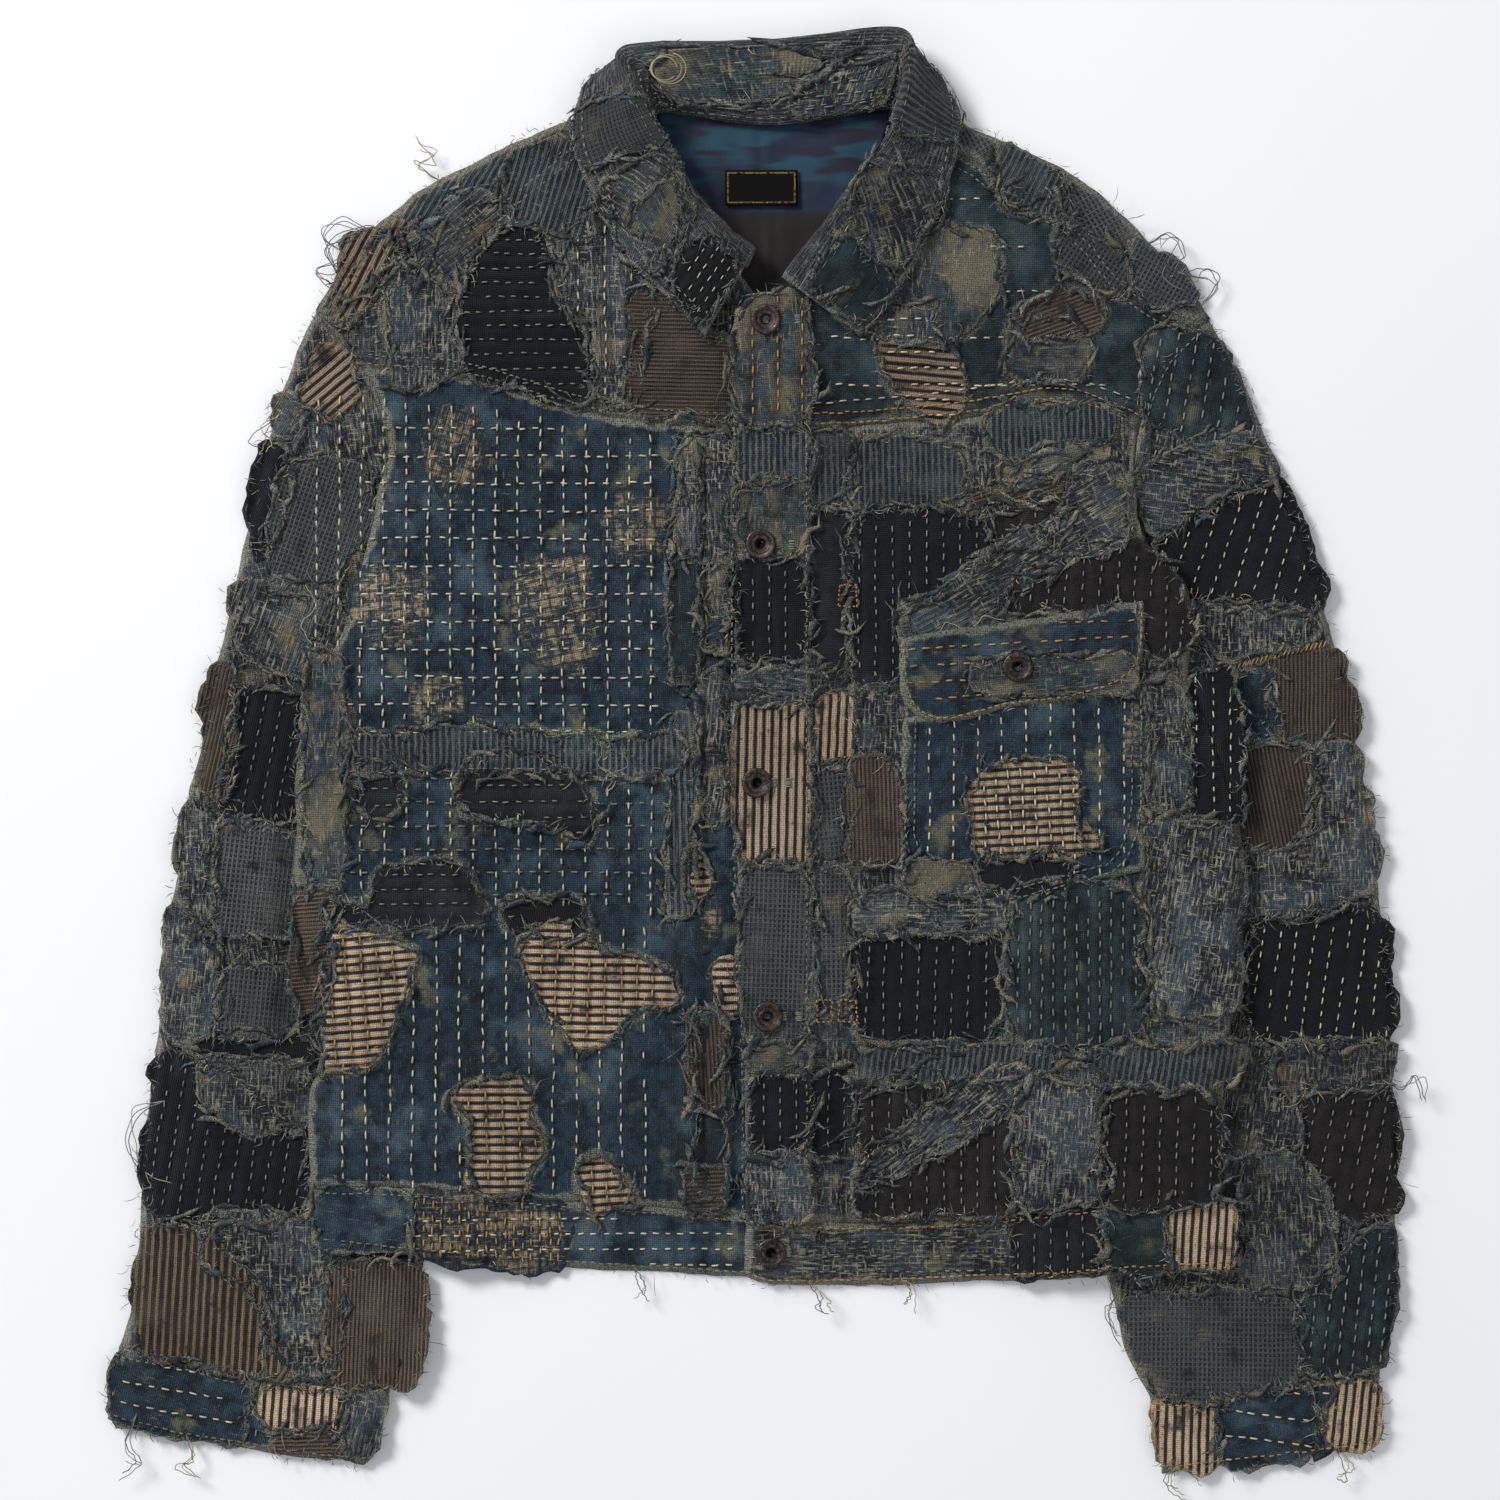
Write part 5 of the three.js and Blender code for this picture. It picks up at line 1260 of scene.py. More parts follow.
def collar_surface(along, across):
    """Middle of the collar's wall: a section from neck seam over the roll down to the free edge, swept
    round."""
    seam, roll, edge = (spline(guide, along) for guide in (COLLAR_SEAM, COLLAR_ROLL, COLLAR_EDGE))
    behind = clamp01(1.35 - np.abs(along - 0.5) / 0.13)[:, None] * np.array([0.0, 0.0, 1.0])
    up = np.array([0.0, 0.0, 1.0])
    before = seam + (roll - seam) * 0.3 + 3.2 * behind + 0.8 * up
    after = roll + (edge - roll) * 0.22 - 5.2 * behind + 1.6 * up
    section = np.stack([seam, before, roll, after, edge], axis=1)
    knots = np.concatenate([np.zeros((len(along), 1)), np.cumsum(np.sqrt(np.maximum(
        np.linalg.norm(np.diff(section, axis=1), axis=2), 0.5)), axis=1)], axis=1)
    knots = knots / knots[:, -1:]
    lead = section[:, :1] * 2 - section[:, 1:2]
    tail = section[:, -1:] * 2 - section[:, -2:-1]
    padded = np.concatenate([lead, section, tail], axis=1)
    rows = np.arange(len(along))[:, None]
    i = np.clip((across[None, :, None] >= knots[:, None, :]).sum(axis=2) - 1, 0, 3)
    start, end = np.take_along_axis(knots, i, 1), np.take_along_axis(knots, i + 1, 1)
    t = ((across[None, :] - start) / (end - start))[..., None]
    return catmull_rom(*(padded[rows, i + k] for k in range(4)), t)


def normals_of(grid):
    """Unit normals of a grid, from the cross product of its two directions."""
    normal = np.cross(np.gradient(grid, axis=1), np.gradient(grid, axis=0))
    return normal / np.maximum(np.linalg.norm(normal, axis=2, keepdims=True), 1e-9)


def collar_faces():
    """Upper and lower faces of the collar's wall, their outward direction, and distances along and across."""
    along, across = np.linspace(0, 1, 190), np.linspace(0, 1, 46)
    middle = collar_surface(along, across)
    normal = normals_of(middle)
    outward = normal if normal[95, 22, 2] > 0 else -normal
    u, v = np.meshgrid(across * COLLAR_FLAT[1], along * COLLAR_FLAT[0])
    ripple = 0.85 * value_noise(v, u, 19, 31) + 0.5 * value_noise(v, u, 7.5, 32) + 0.35 * value_noise(v, u,
                                                                                                      3.8, 33)
    ripple += 0.16 * np.cos(2 * math.pi * u / 6.5) + 0.9 * value_noise(v, u, 34, 35)
    taper = smooth01(np.minimum(np.minimum(u, COLLAR_FLAT[1] - u), np.minimum(v, COLLAR_FLAT[0] - v)) / 3.0)
    half = CLOTH / 2 * (0.45 + 0.55 * taper)
    torn = 1.4 * value_noise(v, u, 6, 34) * (1 - smooth01((COLLAR_FLAT[1] - u) / 6))
    middle = middle + np.stack([np.zeros_like(torn), torn, np.zeros_like(torn)], axis=-1)
    upper = middle + outward * (half + 0.6 * ripple)[..., None]
    lower = middle - outward * (half - 0.6 * ripple)[..., None]
    upper[..., 2] = np.maximum(upper[..., 2], 0.4)
    lower[..., 2] = np.maximum(lower[..., 2], 0.2)
    return upper, lower, outward, u, v, normal[95, 22, 2] < 0


def collar():
    """The folded shirt collar as one closed wall with crumpled faces and worn edges."""
    upper, lower, _, u, v, turned = collar_faces()
    _, faces = grid_shell(u, v, u, u)
    if turned:
        faces = [f[:, ::-1] for f in faces]
    uv = np.stack([v.ravel() / PATTERN_UNIT + 2.3, u.ravel() / PATTERN_UNIT + 1.1], axis=-1)
    edge = np.minimum(COLLAR_FLAT[1] - u, np.minimum(v, COLLAR_FLAT[0] - v)).ravel() + 1.5
    worn = crease(v, u, (196, 30), (262, 34), 14, 0.3)
    tone = (tone_of(v, u, 0.95) + worn).ravel()
    piece = make_object("Collar", np.concatenate([upper.reshape(-1, 3), lower.reshape(-1, 3)]), faces,
                        cloth_material("collar"), both(uv), [("edge", both(edge)), ("tone", both(tone))])
    declare(piece, ["collar"], "grey_blue_cloth", COLLAR_FLAT, None, "back_yoke")


def lining_and_label():
    """The facing inside the neck, and the bare woven label sewn on it."""
    sides = [[(-20, 264), (-6, 240), (24, 240), (32, 252)], [(32, 252), (50, 290), (70, 330), (80, 362)],
             [(-54, 362), (-30, 362), (9, 361), (45, 362), (80, 362)], [(-20, 264), (-38, 300), (-54, 362)]]
    x, y = coons(sides, 2.8)
    folds = 1.1 * value_noise(x, y, 26, 41) + 0.5 * value_noise(x, y, 9, 42)
    seam = crease(x, y, (5, 352), (5, 242), 2.0, -0.8) + crease(x, y, (9, 352), (9, 242), 2.5, 0.7)
    top = np.maximum(4.0 + folds + seam, 3.0)
    vertices, faces = grid_shell(x, y, top, np.full_like(x, 2.7))
    uv = pattern_uv(x.ravel(), y.ravel(), 0, (0, 0))
    piece = make_object("Neck_Lining", vertices, faces, lining_material(), both(uv))
    declare(piece, ["neck_lining"], "lining", (134, 126), shell_area(x, y), "back_yoke")
    x, y = np.meshgrid(np.linspace(-15, 26, 52), np.linspace(308, 328, 26))
    edge = np.minimum(np.minimum(x + 15, 26 - x), np.minimum(y - 308, 328 - y))
    top = 6.4 + 0.25 * value_noise(x, y, 9, 43) - 0.5 * (1 - smooth01(edge / 0.8))
    vertices, faces = grid_shell(x, y, top, top - 0.7)
    uv = pattern_uv(x.ravel(), y.ravel(), 0, (0, 0))
    piece = make_object("Neck_Label", vertices, faces, label_material(), both(uv),
                        [("edge", both(edge.ravel()))])
    declare(piece, ["neck_label"], "label", (41, 20), None, "neck_lining")


def buttons():
    """Dished donut buttons: a closed profile of radius and height turned about the button's own axis."""
    profile = np.array([(0.05, 0.3), (0.05, 0.5), (2.1, 0.6), (2.3, 1.9), (2.9, 2.5), (4.0, 2.35),
                        (5.3, 2.75), (6.5, 3.35), (7.4, 3.6),
                        (8.1, 3.3), (8.5, 2.4), (8.4, 1.2), (7.6, 0.3), (5.0, 0.0)])
    turns = 40
    angle = np.linspace(0, 2 * math.pi, turns, endpoint=False)[:, None]
    for number, (x, y) in enumerate([*FRONT_BUTTONS, POCKET_BUTTON]):
        face = flap_face if (x, y) == POCKET_BUTTON else placket_face if number < 4 else left_face
        base = float(face(np.array([[x * 1.0]]), np.array([[y * 1.0]]))[0, 0]) + 0.5
        wobble = 1 + 0.012 * np.sin(3 * angle + number)
        px = x + profile[:, 0] * wobble * np.cos(angle)
        py = y + profile[:, 0] * wobble * np.sin(angle)
        pz = base + profile[:, 1] + 0.035 * (profile[:, 0] * np.cos(angle + number))
        columns = len(profile)
        j, i = np.meshgrid(np.arange(turns), np.arange(columns), indexing="ij")
        after_j, after_i = (j + 1) % turns, (i + 1) % columns
        faces = np.stack([j * columns + i, j * columns + after_i, after_j * columns + after_i,
                          after_j * columns + i], axis=-1).reshape(-1, 4)[:, ::-1]
        rim = np.repeat(profile[None, :, 0], turns, axis=0).ravel()
        node = "pocket_button" if number == 5 else f"button_{number + 1}"
        piece = make_object(node.title(), np.stack([px, py, pz], axis=-1).reshape(-1, 3), [faces],
                            bronze_material(), None, [("edge", rim)])
        declare(piece, [node], "button_bronze")


# ---- patches ----
def flat_face(x, y):
    """On the collar, x runs along it and y across it from the neck seam, and heights are over its face."""
    return np.zeros_like(x)


FACES = {"yoke_r": body_face, "yoke_l": left_face, "front_r": body_face, "pleat_r": body_face,
         "hem_r": body_face, "placket": placket_face, "front_l": left_face, "hem_l": left_face,
         "pocket": pocket_face, "flap": flap_face, "sleeve_r": sleeve_face, "cuff_r": sleeve_face,
         "sleeve_l": sleeve_face, "cuff_l": sleeve_face, "strip_l": left_face, "strip_r": body_face}
FACES["collar"] = flat_face
DARK = ("navy", "charcoal", "brown")
STEP = 0.09          # height that each later patch of a region lies above the one before, mm


def shrinking_rings(outline, count):
    """Rings inside a closed outline: its Fourier terms die away, the finer ones first, down to a point."""
    terms = np.fft.fft(outline[:, 0] + 1j * outline[:, 1])
    waves = np.abs(np.fft.fftfreq(len(outline)) * len(outline))
    shares = np.linspace(1, 0, count) ** 1.15
    shares[1:-1] = np.maximum(shares[1:-1], 0.02)
    fade = np.where(waves[None] == 0, 1.0, np.maximum(shares[:, None], 1e-6) ** (waves[None] ** 1.6))
    rings = np.fft.ifft(terms[None] * fade, axis=1)
    return rings.real, rings.imag


def unit(vectors):
    return vectors / np.maximum(np.hypot(*vectors.T), 1e-9)[:, None]


def outward_of(outline):
    """Unit normals of a counter-clockwise closed outline."""
    ahead = unit(np.roll(outline, -1, axis=0) - np.roll(outline, 1, axis=0))
    return np.stack([ahead[:, 1], -ahead[:, 0]], axis=-1)


def polygon_area(points):
    """Area of a closed outline by the shoelace sum, positive if it runs counter-clockwise."""
    after = np.roll(points, -1, axis=0)
    return float((points[:, 0] * after[:, 1] - after[:, 0] * points[:, 1]).sum()) / 2


def counter_clockwise(points):
    points = np.asarray(points, dtype=float)
    return points if polygon_area(points) > 0 else points[::-1]


def torn_line(points):
    """A patch's edge as a closed polyline, fine enough for fibres and strips."""
    outline = outline_of(points, 3.0)
    return np.concatenate([outline, outline[:1]])


def outline_of(points, cell):
    """A patch's edge: the drawn corners a little blunted, then pushed about by noise of two sizes."""
    points = counter_clockwise(points)
    after = np.roll(points, -1, axis=0)
    blunt = np.stack([points * 0.86 + after * 0.14, points * 0.14 + after * 0.86], axis=1).reshape(-1, 2)
    around = length_of(np.concatenate([blunt, blunt[:1]]))
    line = resample(blunt, max(18, int(around / cell)), closed=True)
    push = 1.6 + 3.0 * value_noise(line[:, 0], line[:, 1], 14, 55) + 1.5 * value_noise(line[:, 0],
                                                                                       line[:, 1], 6, 56)
    return line + outward_of(line) * push[:, None]


_collar_grids = {}


def placed(region, vertices):
    """Moves points given along, across and above the collar onto it, by blending its grid; others stay."""
    if region != "collar":
        return vertices
    if not _collar_grids:
        upper, _, outward = collar_faces()[:3]
        _collar_grids["face"], _collar_grids["out"] = upper, outward
    rows, columns, _ = _collar_grids["face"].shape
    a = clamp01(vertices[:, 0] / COLLAR_FLAT[0]) * (rows - 1.001)
    b = clamp01(vertices[:, 1] / COLLAR_FLAT[1]) * (columns - 1.001)
    i, j = a.astype(int), b.astype(int)
    s, t = (a - i)[:, None], (b - j)[:, None]
    face, out = [grid[i, j] * (1 - s) * (1 - t) + grid[i + 1, j] * s * (1 - t) + grid[i, j + 1] * (1 - s) * t
                 + grid[i + 1, j + 1] * s * t for grid in (_collar_grids["face"], _collar_grids["out"])]
    over = np.maximum(vertices[:, 1] - COLLAR_FLAT[1], 0)[:, None]
    edgeward = _collar_grids["face"][i, -1] - _collar_grids["face"][i, -4]
    edgeward /= np.maximum(np.linalg.norm(edgeward, axis=1, keepdims=True), 1e-9)
    moved = face + out * vertices[:, 2:] + edgeward * over
    moved[:, 2] = np.maximum(moved[:, 2], 0.3)
    return moved


def patch_shell(points, face, kind, order, rng):
    """A torn patch as a closed wall on the face beneath it: rings from its torn outline to its middle.

    The torn outline is the drawn one pushed outwards by noise. The patch lifts with its order in the region,
    and its edge curls up in places and dips in others.
    """
    cell = sizes().patch_cell / MM
    outline = outline_of(points, cell)
    normal = outward_of(outline)
    phase = rng.uniform(0, 400, 2)
    jag = 0.3 + 1.2 * np.abs(value_noise(outline[:, 0] + phase[0], outline[:, 1], 9, 51))
    jag += 1.5 * np.abs(rng.normal(0, 0.6, len(outline)))
    torn = outline + normal * jag[:, None]
    reach = math.sqrt(abs(polygon_area(outline)) / math.pi)
    count = max(4, int(reach / cell) + 1)
    ring_x, ring_y = shrinking_rings(outline, count)
    x = np.concatenate([torn[None, :, 0], ring_x])
    y = np.concatenate([torn[None, :, 1], ring_y])
    lift = (0.45 if kind in (*DARK, "stripe", "plaid") else 0.9) + STEP * order
    curl = 1.3 * value_noise(x[0] + phase[1], y[0], 13, 52)
    rise = np.full(x.shape, lift)
    rise[0] += np.maximum(curl, -0.5)
    rise[1] += np.maximum(curl, -0.2) * 0.4
    rise[2:] += 0.3 * value_noise(x[2:], y[2:], 7, 53)
    if kind == "plaid":
        rise[0], rise[1] = -0.5, 0.05
    top = face(x, y) + rise
    under = top - sizes().patch_wall / MM
    rows, columns = x.shape
    upper = np.stack([x, y, top], axis=-1).reshape(-1, 3)
    lower = np.stack([x, y, under], axis=-1).reshape(-1, 3)
    inward = grid_faces(rows, columns, wrap=True)
    around = np.arange(columns)
    walls = np.stack([around, around + rows * columns, np.roll(around, -1) + rows * columns,
                      np.roll(around, -1)], axis=-1)
    edge = np.minimum(np.arange(rows)[:, None] * cell + np.zeros(x.shape), 30).ravel()
    faces = [inward, inward[:, ::-1] + rows * columns, walls]
    return np.concatenate([upper, lower]), faces, both(edge), abs(polygon_area(outline))


def all_patches():
    """Each patch with its region, order in it, face and random numbers of its own."""
    for region, rows in PATCHES.items():
        for order, (kind, grain, stitches, node, points) in enumerate(rows):
            rng = np.random.default_rng([sizes().seed, sum(map(ord, region)), order])
            yield region, order, kind, grain, stitches, node, points, rng


def row_frame(points, angle, spacing):
    """Middle, half reach and the two directions of a patch's rows of stitches."""
    points = np.asarray(points, dtype=float)
    centre = points.mean(axis=0)
    reach = np.hypot(*(points - centre).T).max() + spacing
    turn = math.radians(angle)
    return centre, reach, np.array([math.cos(turn), math.sin(turn)]), np.array([-math.sin(turn),
                                                                                math.cos(turn)])


def row_phase(vertices, points, stitches):
    """Row number at each point, a half where thread runs, so that the cloth can sink along the rows
    and be darkened there with painted shade.
    """
    if stitches is None:
        return np.zeros(len(vertices))
    _, angle, spacing = stitches
    centre, reach, _, across = row_frame(points, angle, spacing)
    return ((vertices[:, :2] - centre) @ across + reach) / spacing + 0.5


# How bright the patches of a region are, and the striped ones on top of that.
PATCH_LEVELS = {"collar": 0.76, "yoke_r": 0.82, "yoke_l": 0.88, "sleeve_l": 0.86, "sleeve_r": 1.10,
                "hem_r": 1.12, "cuff_r": 1.25, "front_r": 1.06, "strip_l": 0.9, "strip_r": 0.95}
STRIPE_LEVELS = {"strip_l": 0.58, "strip_r": 0.58, "sleeve_l": 0.58, "sleeve_r": 0.58, "yoke_l": 0.8}


def build_patches():
    """Named patches are pieces of their own; the small ones of each cloth are joined."""
    joined, areas = {}, {}
    for region, order, kind, grain, stitches, node, points, rng in all_patches():
        vertices, faces, edge, area = patch_shell(points, FACES[region], kind, order, rng)
        uv = pattern_uv(vertices[:, 0], vertices[:, 1], grain + rng.normal(0, 2), rng.uniform(0, 9, 2))
        level = 0.94 * PATCH_LEVELS.get(region, 1.0)
        if kind == "stripe":
            level *= STRIPE_LEVELS.get(region, 1.0)
        tone = tone_of(vertices[:, 0], vertices[:, 1], level + rng.uniform(-0.16, 0.16))
        channels = row_phase(vertices, points, stitches)
        vertices = placed(region, vertices)
        if node is None:
            joined.setdefault(kind, []).append((vertices, faces, uv, edge, tone, channels))
            areas[kind] = areas.get(kind, 0) + area
            continue
        name = node.title()
        piece = make_object(name, vertices, faces, cloth_material(kind), uv,
                            [("edge", edge), ("tone", tone), ("rows", channels)])
        spread = np.ptp(np.asarray(points, dtype=float), axis=0) + 4
        declare(piece, [node], CLOTHS[kind]["slot"], (max(spread[0], 11), max(spread[1], 11)), area * MM * MM,
                BENEATH[region])
    for kind, parts in joined.items():
        vertices, faces, uv, edge, tone, channels = merge(parts)
        piece = make_object(f"Patches_{kind.title()}", vertices, faces, cloth_material(kind), uv,
                            [("edge", edge), ("tone", tone), ("rows", channels)])
        side = math.sqrt(areas[kind])
        declare(piece, [], CLOTHS[kind]["slot"], (side, side), areas[kind] * MM * MM, "front_right")


BENEATH = {"yoke_r": "front_yoke_right", "yoke_l": "front_yoke_left", "front_r": "front_right",
           "pleat_r": "front_right", "hem_r": "waistband_right", "placket": "placket",
           "front_l": "front_left",
           "hem_l": "waistband_left", "pocket": "pocket", "flap": "pocket_flap",
           "sleeve_r": "sleeve_right_upper", "cuff_r": "cuff_right_upper", "sleeve_l": "sleeve_left_upper",
           "collar": "collar", "cuff_l": "cuff_left_upper", "strip_l": "shoulder_strip_left",
           "strip_r": "shoulder_strip_right"}


def merge(parts):
    """Joins meshes of the same make: numbers are stacked, and faces shifted by the points before them."""
    starts = np.cumsum([0] + [len(part[0]) for part in parts[:-1]])
    faces = [f + start for part, start in zip(parts, starts) for f in part[1]]
    columns = [np.concatenate([part[k] for part in parts]) for k in range(2, len(parts[0]))]
    return (np.concatenate([part[0] for part in parts]), faces, *columns)


# ---- thread: stitches and frayed fibres ----
def tubes(paths, radius, sides=4, flatness=1.0):
    """Tubes along many short paths at once: paths is (count, points, 3); each tapers to its ends.

    A ring of points stands round each path point, square to the path, and small end rings close the tube.
    """
    paths = np.asarray(paths, dtype=float)
    count, steps, _ = paths.shape
    ahead = np.gradient(paths, axis=1)
    ahead /= np.maximum(np.linalg.norm(ahead, axis=2, keepdims=True), 1e-9)
    up = np.array([0.0, 0.0, 1.0])
    side = np.cross(ahead, up + 1e-3)
    side /= np.maximum(np.linalg.norm(side, axis=2, keepdims=True), 1e-9)
    over = np.cross(side, ahead)
    radius = np.asarray(radius, dtype=float)
    width = np.broadcast_to(radius if radius.ndim == 2 else radius.reshape(-1, 1), (count, steps)).copy()
    width[:, 0] *= 0.35
    width[:, -1] *= 0.35
    turn = np.arange(sides) * 2 * math.pi / sides
    ring = (paths[:, :, None] + width[..., None, None]
            * (side[:, :, None] * np.cos(turn)[None, None, :, None]
               + over[:, :, None] * np.sin(turn)[None, None, :, None] * flatness))
    vertices = ring.reshape(-1, 3)
    first = (np.arange(count) * steps * sides)[:, None, None]
    j, i = np.meshgrid(np.arange(steps - 1), np.arange(sides), indexing="ij")
    a = first + (j * sides + i)[None]
    b = first + (j * sides + (i + 1) % sides)[None]
    quads = np.stack([a, b, b + sides, a + sides], axis=-1).reshape(-1, 4)
    last = first + (steps - 1) * sides
    front = (first + np.arange(sides)[::-1][None, None]).reshape(-1, sides)
    behind = (last + np.arange(sides)[None, None]).reshape(-1, sides)
    return vertices, [quads[:, ::-1], front[:, ::-1], behind[:, ::-1]]


def inside_polygon(x, y, points, inset=0.0):
    """Even-odd test of many points at once, kept at least inset away from the polygon's sides."""
    points = counter_clockwise(points)
    after = np.roll(points, -1, axis=0)
    ax, ay, bx, by = points[:, 0], points[:, 1], after[:, 0], after[:, 1]
    px, py = x.reshape(-1, 1), y.reshape(-1, 1)
    crosses = (ay > py) != (by > py)
    rise = np.where(np.abs(by - ay) < 1e-9, 1e-9, by - ay)
    inside = (crosses & (px < (bx - ax) * (py - ay) / rise + ax)).sum(axis=1) % 2 == 1
    if inset:
        inside &= segment_distance(px, py, ax, ay, bx, by).min(axis=1) > inset
    return inside.reshape(x.shape)


def stitch_rows(points, angle, spacing, dash, gap, face, lift, rng, inset=2.2, skip=()):
    """Rows of running stitches within a polygon: a turned lattice of dashes, each shaken a little by hand."""
    turn = math.radians(angle)
    centre, reach, along, across = row_frame(points, angle, spacing)
    s, r = np.meshgrid(np.arange(-reach, reach, dash + gap), np.arange(-reach, reach, spacing))
    s = s + rng.uniform(0, dash + gap, (len(r), 1)) + rng.normal(0, 0.35, s.shape)
    r = r + 0.9 * value_noise(s + r * 3, r, 26, 61) + rng.normal(0, 0.14, r.shape)
    x = centre[0] + s * along[0] + r * across[0]
    y = centre[1] + s * along[1] + r * across[1]
    keep = inside_polygon(x, y, points, inset) & (rng.uniform(size=x.shape) > 0.035)
    for other in skip:
        keep &= ~inside_polygon(x, y, other)
    x, y = x[keep], y[keep]
    if not len(x):
        return np.zeros((0, 4, 3))
    tilt = turn + rng.normal(0, 0.07, len(x))
    half = dash / 2 * rng.uniform(0.75, 1.12, len(x))
    return dashes(x, y, np.cos(tilt) * half, np.sin(tilt) * half, face, lift)


def dashes(x, y, dx, dy, face, lift):
    """One dash a row: four points that rise out of the cloth, run over it and go back in."""
    thread = sizes().thread / MM
    steps = np.array([-1.0, -0.62, 0.62, 1.0])
    px = x[:, None] + dx[:, None] * steps
    py = y[:, None] + dy[:, None] * steps
    height = face(px, py) + lift + np.array([-0.6, 0.4, 0.4, -0.6]) * thread * 2
    return np.stack([px, py, height], axis=-1)


def line_stitches(points, dash, gap, face, lift, rng):
    """One row of dashes along a polyline."""
    long = length_of(points)
    count = max(2, int(long / (dash + gap)))
    line = resample(points, count * 4)
    mids = line[1::4][:count]
    ahead = unit((line[2::4] - line[0::4])[:count])
    half = dash / 2 * rng.uniform(0.8, 1.1, len(mids))
    shake = rng.normal(0, 0.22, (len(mids), 2))
    return dashes(mids[:, 0] + shake[:, 0], mids[:, 1] + shake[:, 1], ahead[:, 0] * half, ahead[:, 1] * half,
                  face, lift)


def shifted(points, sideways):
    """A polyline moved to its left by a distance in mm."""
    points = resample(rounded(points), max(4, int(length_of(points) / 6)))
    ahead = unit(np.gradient(points, axis=0))
    return points + np.stack([-ahead[:, 1], ahead[:, 0]], axis=-1) * sideways


# Rows sewn through whole panels: thread, angle, spacing, dash, gap, face and corners.
PANEL_ROWS = [
    ("cream", 90, 12.5, 4.6, 3.0, "front_r", [(-246, 205), (-219, 208), (-50, 178), (-50, -92),
     (-252, -92)]),
    ("cream", 0, 15.5, 4.4, 3.4, "front_r", [(-215, 196), (-50, 178), (-50, 6), (-232, 6)]),
    ("sage", 0, 13.0, 4.2, 3.6, "front_r", [(-222, -12), (-52, -12), (-52, -92), (-240, -92)]),
    ("cream", 90, 13.0, 4.8, 3.0, "front_r", [(-236, -96), (-50, -96), (-50, -252), (-244, -244)]),
    ("cream", 0, 26.0, 4.6, 3.2, "yoke_l", [(40, 262), (75, 338), (150, 305), (212, 190), (40, 186)]),
    ("sage", 90, 13.5, 4.4, 3.4, "front_l", [(64, 178), (212, 182), (216, 96), (64, 70)]),
    ("sage", 90, 13.5, 4.4, 3.4, "front_l", [(40, -90), (256, -80), (262, -244), (40, -258)]),
    ("cream", 90, 13.5, 4.4, 3.0, "pocket", [(86, 20), (220, 34), (219, -64), (146, -84), (86, -80)]),
    ("tan", 3, 9.5, 4.6, 2.8, "flap", [(84, 62), (219, 82), (218, 54), (147, 28), (87, 28)]),
    ("cream", 0, 8.5, 4.0, 3.0, "hem_r", [(-238, -250), (-6, -264), (-6, -294), (-236, -278)]),
    ("sage", 0, 8.5, 4.0, 3.0, "hem_l", [(36, -268), (262, -254), (266, -288), (36, -299)]),
    ("sage", 82, 15.0, 4.2, 4.0, "sleeve_l", [(232, 220), (262, 226), (346, -30), (352, -330), (212, -340),
     (216, 110)]),
    ("sage", 98, 15.0, 4.2, 4.0, "sleeve_r", [(-246, 236), (-222, 210), (-262, -60), (-250, -330),
     (-345, -330), (-310, 10)]),
    ("ash", 15, 9.0, 3.6, 3.4, "yoke_r", [(-225, 262), (-60, 330), (-30, 300), (0, 190), (-212, 218)]),
    ("ash", 80, 13.0, 4.0, 3.4, "cuff_r", [(-352, -342), (-212, -360), (-220, -396), (-356, -376)]),
    ("cream", 0, 10.0, 4.0, 3.4, "cuff_l", [(232, -366), (350, -352), (346, -388), (236, -402)]),
]
